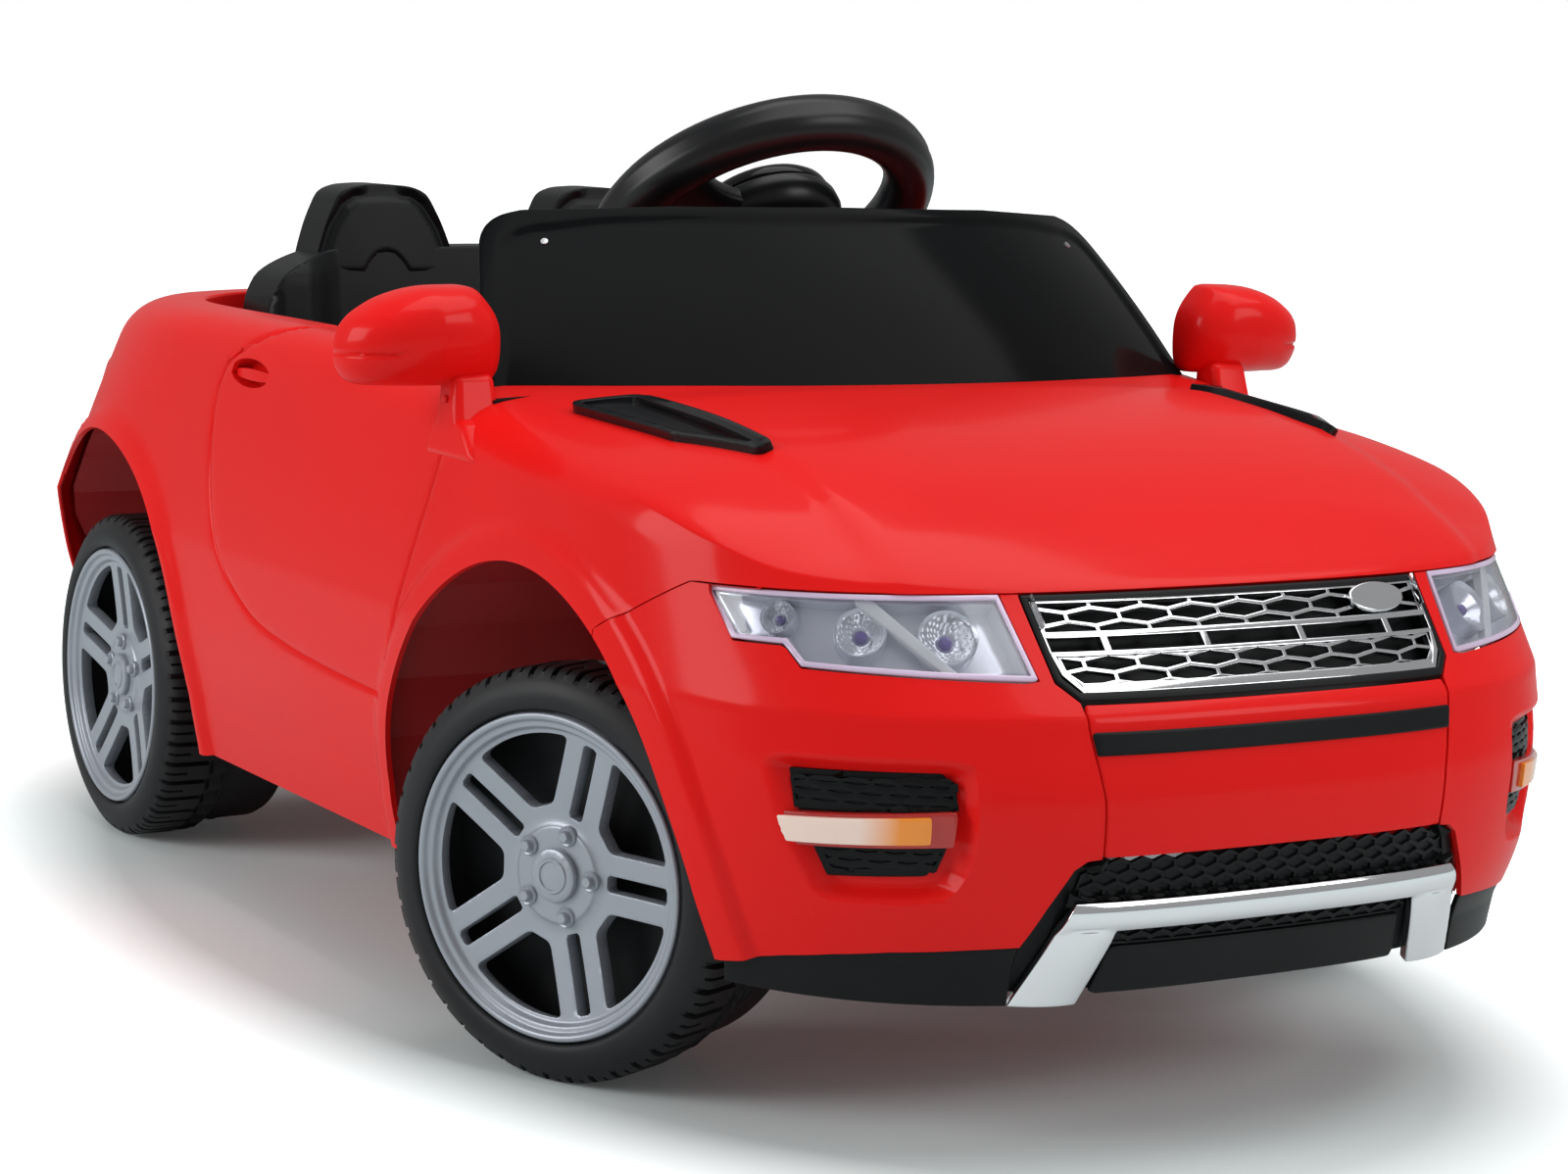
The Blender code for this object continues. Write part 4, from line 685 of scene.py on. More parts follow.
# Shared shader node groups
def socket_group(name, inputs, outputs):
    group = bpy.data.node_groups.new(name, "ShaderNodeTree")
    for label, kind, value in inputs:
        socket = group.interface.new_socket(label, in_out="INPUT", socket_type=kind)
        if value is not None:
            socket.default_value = value
    for label, kind in outputs:
        group.interface.new_socket(label, in_out="OUTPUT", socket_type=kind)
    return group, group.nodes.new("NodeGroupInput"), group.nodes.new("NodeGroupOutput")


def add_node(tree, kind, **settings):
    """Add a node; in_NAME or in_NUMBER sets that input, or links a socket to it."""
    node = tree.nodes.new(kind)
    for key, value in settings.items():
        if key.startswith("in_"):
            socket = node.inputs[int(key[3:]) if key[3:].isdigit() else key[3:].replace("_", " ")]
            if isinstance(value, bpy.types.NodeSocket):
                tree.links.new(value, socket)
            else:
                socket.default_value = value
        else:
            setattr(node, key, value)
    return node


def maths(tree, operation, **settings):
    return add_node(tree, "ShaderNodeMath", operation=operation, **settings).outputs[0]


def noise(tree, place, **settings):
    return add_node(tree, "ShaderNodeTexNoise", in_Vector=place, **settings).outputs["Fac"]


def make_moulding_group():
    """Slow unevenness and fine grain of a moulded surface."""
    group, start, end = socket_group(
        "moulding", [("Vector", "NodeSocketVector", None), ("Mottle", "NodeSocketFloat", 14.0),
                     ("Grain", "NodeSocketFloat", 900.0)],
        [("Shade", "NodeSocketFloat"), ("Sheen", "NodeSocketFloat"), ("Height", "NodeSocketFloat")])
    place = start.outputs["Vector"]
    slow = noise(group, place, in_Scale=start.outputs["Mottle"], in_Detail=3.0, in_Roughness=0.55)
    fine = noise(group, place, in_Scale=start.outputs["Grain"], in_Detail=2.0, in_Roughness=0.6)
    wave = noise(group, place, in_Scale=38.0, in_Detail=1.0)
    group.links.new(slow, end.inputs["Shade"])
    group.links.new(maths(group, "MULTIPLY_ADD", in_0=fine, in_1=0.35, in_2=slow), end.inputs["Sheen"])
    group.links.new(maths(group, "MULTIPLY_ADD", in_0=fine, in_1=0.22, in_2=wave), end.inputs["Height"])


def make_wear_group():
    """Mask of rubbed edges and of a few fine scratches."""
    group, start, end = socket_group(
        "wear", [("Vector", "NodeSocketVector", None), ("Edge", "NodeSocketFloat", 0.55),
                 ("Scratches", "NodeSocketFloat", 0.3)], [("Mask", "NodeSocketFloat")])
    place, edge = start.outputs["Vector"], start.outputs["Edge"]
    pointed = add_node(group, "ShaderNodeNewGeometry").outputs["Pointiness"]
    rubbed = add_node(group, "ShaderNodeMapRange", in_0=pointed, in_1=edge,
                      in_2=maths(group, "ADD", in_0=edge, in_1=0.12), in_3=0.0, in_4=1.0)
    patches = noise(group, place, in_Scale=60.0, in_Detail=4.0, in_Roughness=0.7)
    worn = maths(group, "MULTIPLY", in_0=rubbed.outputs[0], in_1=patches)
    stretch = add_node(group, "ShaderNodeMapping", in_Vector=place, in_Rotation=(0.3, 0.5, 0.7),
                       in_Scale=(6.0, 160.0, 160.0))
    lines = noise(group, stretch.outputs["Vector"], in_Scale=3.0, in_Detail=2.0, in_Roughness=0.75)
    thin = add_node(group, "ShaderNodeMapRange", in_0=lines, in_1=0.70, in_2=0.78, in_3=0.0, in_4=1.0)
    faint = maths(group, "MULTIPLY", in_0=thin.outputs[0], in_1=start.outputs["Scratches"])
    group.links.new(maths(group, "ADD", in_0=worn, in_1=faint, use_clamp=True), end.inputs["Mask"])


def make_look(name, colour, roughness, spread=0.06, shade=0.10, metallic=0.0, coat=0.0, bump=0.08,
              grain=900.0, mottle=14.0, wear=0.25, worn_colour=None, specular=0.5):
    """A moulded, painted or plated finish with unevenness, grain and light wear."""
    material = bpy.data.materials.new(name)
    material.use_nodes = True
    material.diffuse_color = (*colour, 1.0)
    tree = material.node_tree
    shader = tree.nodes["Principled BSDF"]
    for key, value in (("Metallic", metallic), ("Coat Weight", coat), ("Coat Roughness", 0.12),
                       ("Specular IOR Level", specular)):
        shader.inputs[key].default_value = value
    place = add_node(tree, "ShaderNodeTexCoord").outputs["Object"]
    moulding = add_node(tree, "ShaderNodeGroup", node_tree=bpy.data.node_groups["moulding"], in_Vector=place,
                        in_Mottle=mottle, in_Grain=grain).outputs
    rubbed = add_node(tree, "ShaderNodeGroup", node_tree=bpy.data.node_groups["wear"], in_Vector=place)
    ramp = add_node(tree, "ShaderNodeValToRGB", in_Fac=moulding["Shade"])
    for stop, position, share in zip(ramp.color_ramp.elements, (0.25, 0.75), (1 - shade, 1 + shade)):
        stop.position = position
        stop.color = (*[min(c * share, 1) for c in colour], 1)
    lighter = worn_colour or [min(c * 1.25 + 0.02, 1) for c in colour]
    strength = maths(tree, "MULTIPLY", in_0=rubbed.outputs["Mask"], in_1=wear)
    blend = add_node(tree, "ShaderNodeMix", data_type="RGBA", in_Factor=strength)
    rough = add_node(tree, "ShaderNodeMapRange", in_0=moulding["Sheen"], in_1=0.3, in_2=0.95,
                     in_3=max(roughness - spread, 0.02), in_4=roughness + spread)
    dull = maths(tree, "MULTIPLY_ADD", in_0=strength, in_1=0.18, in_2=rough.outputs[0])
    relief = add_node(tree, "ShaderNodeBump", in_Strength=bump, in_Distance=0.0004, in_Height=moulding["Height"])
    for source, target in ((ramp.outputs["Color"], blend.inputs["A"]), (dull, shader.inputs["Roughness"]),
                           (blend.outputs["Result"], shader.inputs["Base Color"]),
                           (relief.outputs["Normal"], shader.inputs["Normal"])):
        tree.links.new(source, target)
    blend.inputs["B"].default_value = (*lighter, 1)
    LOOKS[name] = material
    return material


def painted_highlight_fade(material, colour, start, end):
    """Paint a highlight: turn a finish to another colour between two distances from the car's middle plane."""
    tree = material.node_tree
    target = tree.nodes["Principled BSDF"].inputs["Base Color"]
    place = add_node(tree, "ShaderNodeTexCoord").outputs["Object"]
    away = maths(tree, "ABSOLUTE", in_0=add_node(tree, "ShaderNodeSeparateXYZ", in_0=place).outputs["X"])
    share = add_node(tree, "ShaderNodeMapRange", in_0=away, in_1=start, in_2=end)
    blend = add_node(tree, "ShaderNodeMix", data_type="RGBA", in_Factor=share.outputs[0])
    blend.inputs["B"].default_value = (*colour, 1)
    tree.links.new(target.links[0].from_socket, blend.inputs["A"])
    tree.links.new(blend.outputs["Result"], target)


def make_clear(name, colour, roughness):
    """Clear or tinted plastic with moulded unevenness."""
    shader = make_look(name, colour, roughness, spread=0.02, shade=0.03, bump=0.05,
                       wear=0.1).node_tree.nodes["Principled BSDF"]
    shader.inputs["Transmission Weight"].default_value = 1.0
    shader.inputs["IOR"].default_value = 1.46


class RIDEON_OT_finishes(bpy.types.Operator):
    """Make the finishes of all pieces"""
    bl_idname = "rideon.finishes"
    bl_label = "Finishes"

    def execute(self, context):
        colours = context.scene.car_colours
        make_moulding_group()
        make_wear_group()
        red, inside = tuple(colours.body), tuple(colours.inside)
        black, silver = tuple(colours.trim), tuple(colours.wheel)
        make_look("red_plastic", red, 0.36, spread=0.05, shade=0.03, coat=0.20, bump=0.03, mottle=7.0, wear=0.10,
                  worn_colour=(0.80, 0.04, 0.035), specular=0.06)
        # inner_red_plastic is the body's red plastic with painted shade: darker where faces sit inside and under the
        # body.
        make_look("inner_red_plastic", inside, 0.40, shade=0.06, bump=0.15)
        make_look("black_plastic", black, 0.36, spread=0.06, shade=0.20, bump=0.22, grain=1500.0, wear=0.2,
                  worn_colour=(0.02, 0.021, 0.022), specular=0.14)
        make_look("gloss_black_plastic", (0.008, 0.0085, 0.0095), 0.14, spread=0.03, shade=0.15, bump=0.04,
                  wear=0.15, worn_colour=(0.02, 0.02, 0.022), specular=0.22)
        make_look("wheel_black", (0.0075, 0.008, 0.009), 0.30, spread=0.06, shade=0.20, bump=0.20, grain=1500.0,
                  wear=0.2, worn_colour=(0.02, 0.021, 0.022), specular=0.30)
        make_look("screen_black", (0.0055, 0.0060, 0.0065), 0.14, spread=0.02, shade=0.10, bump=0.02, wear=0.05,
                  worn_colour=(0.012, 0.012, 0.013), specular=0.03)
        make_look("tyre_black", (0.016, 0.0165, 0.018), 0.48, spread=0.10, shade=0.25, bump=0.35, grain=1100.0,
                  wear=0.4, worn_colour=(0.05, 0.05, 0.052), specular=0.25)
        make_look("silver_paint", silver, 0.34, spread=0.05, shade=0.05, metallic=0.35, bump=0.10, wear=0.25,
                  worn_colour=(0.55, 0.58, 0.62), grain=1800.0)
        make_look("chrome_plating", (0.80, 0.81, 0.83), 0.07, spread=0.03, shade=0.04, metallic=1.0, bump=0.06,
                  wear=0.2, worn_colour=(0.6, 0.6, 0.62))
        make_look("zinc_steel", (0.48, 0.48, 0.50), 0.34, spread=0.10, shade=0.12, metallic=1.0, bump=0.15,
                  mottle=40.0)
        make_clear("clear_plastic", (0.93, 0.94, 1.0), 0.03)
        make_look("lens_rim", (0.66, 0.52, 0.70), 0.18, shade=0.15, coat=0.4, bump=0.05)
        make_look("lamp_silver", (0.86, 0.88, 0.94), 0.20, spread=0.06, shade=0.08, metallic=0.45, bump=0.08)
        make_look("lamp_white", (0.94, 0.95, 0.98), 0.20, spread=0.05, shade=0.05, bump=0.08)
        make_look("bulb_purple", (0.20, 0.15, 0.42), 0.15, spread=0.05, shade=0.2, coat=0.5, bump=0.05)
        amber = make_look("amber_lens", (0.90, 0.28, 0.02), 0.14, shade=0.10, coat=0.4, bump=0.08)
        # The pale outer end of the amber turn bar is a painted highlight, not a colour of the lens itself.
        painted_highlight_fade(amber, (0.95, 0.72, 0.62), 0.186, 0.200)
        make_look("bezel_red", (0.45, 0.02, 0.015), 0.15, shade=0.10, coat=0.4, bump=0.06)
        make_look("red_lens", (0.62, 0.03, 0.02), 0.12, shade=0.12, coat=0.5, bump=0.06)
        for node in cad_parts.values():
            for slot in node.material_slots:
                base = slot.material.name.split(".")[0] if slot.material else None
                if base in LOOKS:
                    slot.material = LOOKS[base]
        return {"FINISHED"}


def make_room(scene):
    """White for the camera, a dimmer even light for everything else."""
    world = bpy.data.worlds.new("studio")
    scene.world = world
    world.use_nodes = True
    tree = world.node_tree
    tree.nodes.clear()
    room = add_node(tree, "ShaderNodeBackground", in_Color=(1, 1, 1, 1), in_Strength=ROOM_LIGHT)
    white = add_node(tree, "ShaderNodeBackground", in_Color=(1, 1, 1, 1), in_Strength=1.0)
    seen = add_node(tree, "ShaderNodeLightPath").outputs["Is Camera Ray"]
    choice = add_node(tree, "ShaderNodeMixShader", in_0=seen, in_1=room.outputs[0], in_2=white.outputs[0])
    add_node(tree, "ShaderNodeOutputWorld", in_0=choice.outputs[0])


def make_paper():
    """Pale floor that keeps the car's shadow and brightens to white away from it; its camera-only glow is dimmed round
    the car, which paints a shadow pool there.
    """
    paper = bpy.data.materials.new("paper")
    paper.use_nodes = True
    tree = paper.node_tree
    shader = tree.nodes["Principled BSDF"]
    for key, value in (("Base Color", FLOOR_COLOUR_AGAINST_RED_BOUNCE), ("Roughness", 0.9), ("Specular IOR Level", 0.0),
                       ("Emission Color", (1, 1, 1, 1))):
        shader.inputs[key].default_value = value
    place = add_node(tree, "ShaderNodeTexCoord").outputs["Object"]
    wide = add_node(tree, "ShaderNodeVectorMath", operation="MULTIPLY", in_0=place, in_1=(1.9, 1.0, 1.0))
    away = add_node(tree, "ShaderNodeVectorMath", operation="LENGTH", in_0=wide.outputs[0])
    # The glow falls to almost nothing near the car: painted shadow round the car's footprint.
    fade = add_node(tree, "ShaderNodeMapRange", in_0=away.outputs["Value"], in_1=0.58, in_2=0.80, in_3=0.03, in_4=1.0)
    seen = add_node(tree, "ShaderNodeLightPath").outputs["Is Camera Ray"]
    tree.links.new(maths(tree, "MULTIPLY", in_0=seen, in_1=fade.outputs[0]), shader.inputs["Emission Strength"])
    return paper


class RIDEON_OT_stage(bpy.types.Operator):
    """Set the floor, the lights and the camera"""
    bl_idname = "rideon.stage"
    bl_label = "Stage"

    def execute(self, context):
        make_room(context.scene)
        settle()
        bpy.ops.mesh.primitive_plane_add(size=40, location=(0, 0, 0))
        floor = context.active_object
        floor.name = "floor"
        floor.data.materials.append(make_paper())
        for name, place, aim, size, power in LAMPS:
            lamp = bpy.data.lights.new(name, "AREA")
            lamp.shape = "RECTANGLE"
            lamp.size, lamp.size_y = size
            lamp.energy = power
            lamp_object = bpy.data.objects.new(name, lamp)
            context.scene.collection.objects.link(lamp_object)
            lamp_object.location = place
            lamp_object.rotation_euler = (Vector(aim) - Vector(place)).to_track_quat("-Z", "Y").to_euler()
        camera_data = bpy.data.cameras.new("camera")
        camera_data.lens = CAMERA_LENS
        camera_data.sensor_width = 36.0
        camera = bpy.data.objects.new("camera", camera_data)
        context.scene.collection.objects.link(camera)
        az, drop, roll = (math.radians(CAMERA_TURN[key]) for key in ("azimuth", "drop", "roll"))
        forward = Vector((-math.sin(az) * math.cos(drop), math.cos(az) * math.cos(drop), -math.sin(drop)))
        level = forward.cross(Vector((0, 0, 1))).normalized()
        up = level.cross(forward)
        right = level * math.cos(roll) + up * math.sin(roll)
        up = up * math.cos(roll) - level * math.sin(roll)
        turn = Matrix((right, up, -forward)).transposed().to_4x4()
        camera.matrix_world = Matrix.Translation(CAMERA_PLACE) @ turn
        context.scene.camera = camera
        context.scene.view_settings.view_transform = "Standard"
        return {"FINISHED"}


# Body pieces: outlines seen from the side, as (y, z), or from the front, as (x, z)
COCKPIT = {"half": 0.212, "front": 0.505, "rear": -0.032}
SEAM = [(-0.690, -0.1), (-0.690, 0.235), (-0.742, 0.2635), (-1.0, 0.2635), (-1.0, -0.1)]
REAR_SEAM = [(0.100, -0.1), (0.100, 0.225), (0.5, 0.225), (0.5, -0.1)]
SEAM_GAP = 0.0004
LAMP = [(0.1218, 0.2270), (0.2135, 0.2308), (0.2169, 0.2398), (0.2318, 0.2400), (0.2354, 0.2625),
        (0.1262, 0.2632)]
CENTRE_GAP = [(0.1305, 0.02), (0.1305, 0.1073), (0.1220, 0.1255), (0.1118, 0.1440), (0.1060, 0.1480),
              (0.0990, 0.1487), (0.1000, 0.1760), (0.1055, 0.2060), (0.1063, 0.2185), (0.1150, 0.2266),
              (0.1172, 0.2640), (0.1175, 0.29), (-0.05, 0.29), (-0.05, 0.02)]
DOOR_REAR = [(-0.3206, 0.3514), (-0.2751, 0.3468), (-0.2315, 0.3316), (-0.2073, 0.3194), (-0.1950, 0.2962),
             (-0.1942, 0.2620), (-0.2056, 0.2264), (-0.2236, 0.2050), (-0.2448, 0.1908), (-0.2792, 0.1775),
             (-0.3318, 0.1701), (-0.3882, 0.1663), (-0.4535, 0.1640)]
DOOR_FRONT = [(-0.5254, 0.3118), (-0.5086, 0.3026), (-0.5021, 0.2894), (-0.4895, 0.2603), (-0.4767, 0.2308),
              (-0.4638, 0.1960), (-0.4535, 0.1640)]
HANDLE = {"y": -0.2453, "z": 0.3181, "half_y": 0.0288, "half_z": 0.0083}
INSIDE_BODY = (0, -0.33, 0.19)
FLANK_X = 0.19


def arch_side(arch):
    """Positive outside a wheel arch, on the left flank only."""
    def side(point):
        if abs(point.x) < FLANK_X:
            return 0.05
        return math.hypot(point.y + arch["ahead"], point.z - arch["height"]) - arch["radius"]
    return side


def cockpit_side(point):
    centre = -(COCKPIT["front"] + COCKPIT["rear"]) / 2
    length = (COCKPIT["front"] - COCKPIT["rear"]) / 2
    if point.z < 0.28:
        return 1.0
    return abs(point.x / COCKPIT["half"]) ** 5 + abs((point.y - centre) / length) ** 5 - 1


def smooth_path(path, steps=6):
    """A finer open path through the given points."""
    result = []
    for k in range(len(path) - 1):
        near = [path[min(max(k + n, 0), len(path) - 1)] for n in (-1, 0, 1, 2)]
        result += [tuple(curve_point(near, n / steps)) for n in range(steps)]
    result.append(tuple(path[-1]))
    return result


def beside_path(path):
    """Signed distance beside an open path in (y, z)."""
    pairs = list(zip(path, path[1:]))

    def side(point):
        if abs(point.x) < FLANK_X:
            return 1.0
        best, sign = 1e9, 1
        for p, q in pairs:
            dy, dz = q[0] - p[0], q[1] - p[1]
            ry, rz = point.y - p[0], point.z - p[1]
            share = min(max((ry * dy + rz * dz) / (dy * dy + dz * dz), 0.0), 1.0)
            away = math.hypot(ry - share * dy, rz - share * dz)
            if away < best:
                best, sign = away, 1 if dy * rz - dz * ry > 0 else -1
        return sign * best
    return side


def near_path(path, reach=0.004):
    """Whether a point of the flank lies beside an open path, not beyond its ends."""
    pairs = list(zip(path, path[1:]))

    def within(point):
        if abs(point.x) < FLANK_X:
            return False
        for p, q in pairs:
            dy, dz = q[0] - p[0], q[1] - p[1]
            ry, rz = point.y - p[0], point.z - p[1]
            share = (ry * dy + rz * dz) / (dy * dy + dz * dz)
            if 0 <= share <= 1 and math.hypot(ry - share * dy, rz - share * dz) < reach:
                return True
        return False
    return within


def press_groove(obj, path):
    """Press a rounded groove along a drawn path on the flank."""
    side = beside_path(path)
    within = near_path(path)

    def on_line(point, slack=2e-5):
        return abs(side(point)) < slack and within(point)

    def along(edge):
        a, b = (vertex.co for vertex in edge.verts)
        return on_line(a) and on_line(b) and on_line((a + b) / 2, 0.0012)
    if not pick_edges(obj, along):
        raise RuntimeError("no edges lie on the groove's path")
    bpy.ops.mesh.bevel(offset=sizes().groove / 2, segments=4, affect="EDGES", clamp_overlap=True)
    bm = bmesh.from_edit_mesh(obj.data)
    width, depth = sizes().groove / 2, sizes().groove_depth
    bm.normal_update()
    moves = []
    for vertex in bm.verts:
        if vertex.select:
            away = abs(side(vertex.co))
            if away < width * 0.9:
                moves.append((vertex, vertex.normal * -depth * (1 - smooth(away / width))))
    for vertex, move in moves:
        vertex.co += move
    bmesh.update_edit_mesh(obj.data)
    bpy.ops.object.mode_set(mode="OBJECT")
    return obj


def turn_edge_in(obj, near, depth, radius):
    """Fold the free edge of an opening down into it and round the fold."""
    def middle(edge):
        return (edge.verts[0].co + edge.verts[1].co) / 2
    pick_edges(obj, lambda edge: edge.is_boundary and near(middle(edge)))
    bpy.ops.mesh.extrude_edges_move(TRANSFORM_OT_translate={"value": (0, 0, -depth)})
    bm = bmesh.from_edit_mesh(obj.data)
    fold = [e for e in bm.edges if not e.is_boundary and near(middle(e))
            and any(f.normal.z > 0.5 for f in e.link_faces) and any(abs(f.normal.z) < 0.4 for f in e.link_faces)]
    for edge in bm.edges:
        edge.select_set(False)
    for edge in fold:
        edge.select_set(True)
    bmesh.update_edit_mesh(obj.data)
    if fold:
        bpy.ops.mesh.bevel(offset=radius, segments=4, affect="EDGES", clamp_overlap=True)
    bpy.ops.object.mode_set(mode="OBJECT")
    return obj


def body_sheet():
    """The left half of the body as a sheet, finer at the nose's corner and the shoulder."""
    s = stops(0, NOSE_SHARE * 0.9, 58) + stops(NOSE_SHARE * 0.9, SIDE_SHARE, 135)[1:] + stops(SIDE_SHARE, 1.0, 52)[1:]
    t = stops(0, 1, 28) + stops(1, 2 - SHOULDER_BELOW, 23)[1:]
    t += stops(2 - SHOULDER_BELOW, 2 + SHOULDER_ABOVE, 10)[1:] + stops(2 + SHOULDER_ABOVE, 3, 34)[1:]
    return sheet_over(body_place, s, t)


class RIDEON_OT_body(bpy.types.Operator):
    """Mould the body shell with its arches, door grooves, sills and cockpit edge"""
    bl_idname = "rideon.body"
    bl_label = "Body shell"

    def execute(self, context):
        sheet = body_sheet()
        trim(sheet, cockpit_side)
        trim(sheet, outside_outline(grown(SEAM, SEAM_GAP), (1, 2), 0.4))
        trim(sheet, outside_outline(grown(REAR_SEAM, SEAM_GAP), (1, 2), 0.4))
        for arch in (FRONT_ARCH, REAR_ARCH):
            trim(sheet, arch_side(arch))
        trim(sheet, outside_handle)
        rear, front = smooth_path(DOOR_REAR), smooth_path(DOOR_FRONT)
        for path in (rear, front):
            draw_line(sheet, beside_path(path), near_path(path))
        draw_line(sheet, lambda p: p.z - SILL_HEIGHT if abs(p.x) > 0.19 and -0.47 < p.y < -0.15 else 1.0)
        shell = sheet_object("body", sheet, INSIDE_BODY)
        for path in (rear, front):
            press_groove(shell, path)
        turn_edge_in(shell, lambda p: p.z > 0.30 and abs(p.x) < 0.2125 and -0.507 < p.y < 0.034
                     and abs(cockpit_side(p)) < 0.06, 0.024, 0.0045)
        mirror_across(shell)
        moulded(shell, sizes().skin, sizes().edge)
        finish_piece(shell, "body", "red_plastic", "car", ["body_shell"], "red_plastic")
        return {"FINISHED"}


def outside_handle(point):
    if abs(point.x) < FLANK_X:
        return 1.0
    return math.hypot((point.y - HANDLE["y"]) / HANDLE["half_y"], (point.z - HANDLE["z"]) / HANDLE["half_z"]) - 1


def flank_point(y, z):
    """The point of the left flank at a place along the car and a height."""
    s, t = mix(NOSE_SHARE, SIDE_SHARE, (y + NOSE_CENTRE) / (NOSE_CENTRE - 0.10)), 1.7
    for _ in range(14):
        here = body_place(s, t)
        e = 1e-4
        ds, dt = (body_place(s + e, t) - here) / e, (body_place(s, t + e) - here) / e
        det = ds.y * dt.z - dt.y * ds.z
        if abs(det) < 1e-12:
            break
        dy, dz = y - here.y, z - here.z
        s += (dy * dt.z - dz * dt.y) / det
        t += (dz * ds.y - dy * ds.z) / det
    return body_place(s, t)


# Front pieces: outlines seen from the front, as (x, z)
PANEL_HALF = [(0.0984, 0.1487), (0.0994, 0.1760), (0.1049, 0.2060), (0.1057, 0.2182)]
GRILLE_HALF = [(0.1060, 0.2188), (0.1145, 0.2268), (0.1165, 0.2632)]
STRIP_HALF = [(0.1024, 0.1956), (0.1043, 0.2060)]
MESH_PANEL_HALF = [(0.1300, VALANCE_BOTTOM), (0.1300, 0.1070), (0.1215, 0.1255), (0.1115, 0.1445), (0.1035, 0.1480)]
TRIM_HALF = [(0.0980, 0.0780), (0.1290, 0.0780), (0.1130, 0.1235), (0.1095, 0.1280)]
TRIM_INNER_HALF = [(0.0865, 0.1155), (0.0980, 0.0780)]
SCOOP_DEPTH = 0.0085
UPPER_INSERT = [(0.1622, 0.1690), (0.2240, 0.1664), (0.2254, 0.1830), (0.2225, 0.1856), (0.1672, 0.1880),
                (0.1644, 0.1856)]
LOWER_INSERT = [(0.1692, 0.1402), (0.2095, 0.1372), (0.2180, 0.1530), (0.1652, 0.1562)]
LAMP_BAR = [(0.1700, 0.1570), (0.2228, 0.1537), (0.2245, 0.1648), (0.1704, 0.1690)]
LAMP_BEZEL = [(0.1612, 0.1556), (0.2236, 0.1518), (0.2252, 0.1664), (0.1606, 0.1712)]


def nose_point(x, z):
    return Vector((x, fascia_y(x, z), z))


def nose_normal(x, z):
    e = 5e-4
    across = nose_point(x + e, z) - nose_point(x - e, z)
    up = nose_point(x, z + e) - nose_point(x, z - e)
    return across.cross(up).normalized()


def nose_sheet(outline, step=0.0025, place=nose_point, axes=(0, 2)):
    """A grid on the front face or on another surface, cut to an outline."""
    low = [min(p[k] for p in outline) - step * 1.5 for k in (0, 1)]
    high = [max(p[k] for p in outline) + step * 1.5 for k in (0, 1)]
    across, up = [stops(low[k], high[k], max(3, round((high[k] - low[k]) / step))) for k in (0, 1)]
    return cut_to(sheet_over(place, across, up), outline, axes)


def nose_piece(name, outline, thickness, stand=0.0, edge=0.0007, holes=(), step=0.0025, segments=2,
               place=nose_point, axes=(0, 2)):
    """A plate that follows the front face, standing a little out of it or sunk in it."""
    sheet = nose_sheet(outline, step, place, axes)
    for hole in holes:
        cut_out(sheet, hole, axes)
    piece = sheet_object(name, sheet, INSIDE_BODY)
    if stand:
        push(piece, stand)
    thicken(piece, thickness)
    if edge:
        round_edges(piece, edge, segments, 45)
    return soft_shade(piece)


def finish_both(obj, name, look, nodes=(), slot=None, body="car"):
    """Finish a left piece and its mirror image on the right."""
    other = copy_of(obj, ACROSS)
    for piece, side in ((obj, "left"), (other, "right")):
        finish_piece(piece, f"{name}_{side}", look, body, [f"{node}_{side}" for node in nodes], slot)


def clipped_to(cell, outline):
    """The part of a cell inside a convex outline."""
    way = winding(outline)
    for k, end in enumerate(outline):
        start = outline[k - 1]
        du, dv = end[0] - start[0], end[1] - start[1]

        def side(p):
            return way * (du * (p[1] - start[1]) - dv * (p[0] - start[0]))
        result = []
        for n, here in enumerate(cell):
            before = cell[n - 1]
            a, b = side(before), side(here)
            if (a > 0) != (b > 0):
                share = a / (a - b)
                result.append((mix(before[0], here[0], share), mix(before[1], here[1], share)))
            if b > 0:
                result.append(here)
        cell = result
        if len(cell) < 3:
            return []
    return cell


def honeycomb(outline, pitch, peak, side, row):
    """Staggered six-sided cells with points up and down, cut off at a convex outline."""
    low = [min(p[k] for p in outline) for k in (0, 1)]
    high = [max(p[k] for p in outline) for k in (0, 1)]
    rise = peak + side
    cells = []
    for r in range(int((low[1] - row) / rise) - 2, int((high[1] - row) / rise) + 3):
        offset = 0.5 if r % 2 else 0.0
        for k in range(int(low[0] / pitch) - 2, int(high[0] / pitch) + 3):
            x, z = (k + offset) * pitch, row + r * rise
            cell = [(x - pitch / 2, z - side), (x, z - peak), (x + pitch / 2, z - side),
                    (x + pitch / 2, z + side), (x, z + peak), (x - pitch / 2, z + side)]
            cell = clipped_to(cell, outline)
            if cell:
                cells.append(cell)
    return cells


def cells_object(name, cells, place=nose_point):
    """Weld outlines that share corners into one sheet."""
    number, points, faces = {}, [], []
    for cell in cells:
        face = []
        for u, v in cell:
            key = (round(u * 5e4), round(v * 5e4))
            if key not in number:
                number[key] = len(points)
                points.append(place(u, v))
            if not face or face[-1] != number[key]:
                face.append(number[key])
        if len(face) > 2 and face[0] == face[-1]:
            face.pop()
        if len(set(face)) > 2:
            faces.append(face)
    obj = object_of(name, points, faces)
    if sum(p.normal.y for p in obj.data.polygons) > 0:
        obj.data.flip_normals()
    return obj


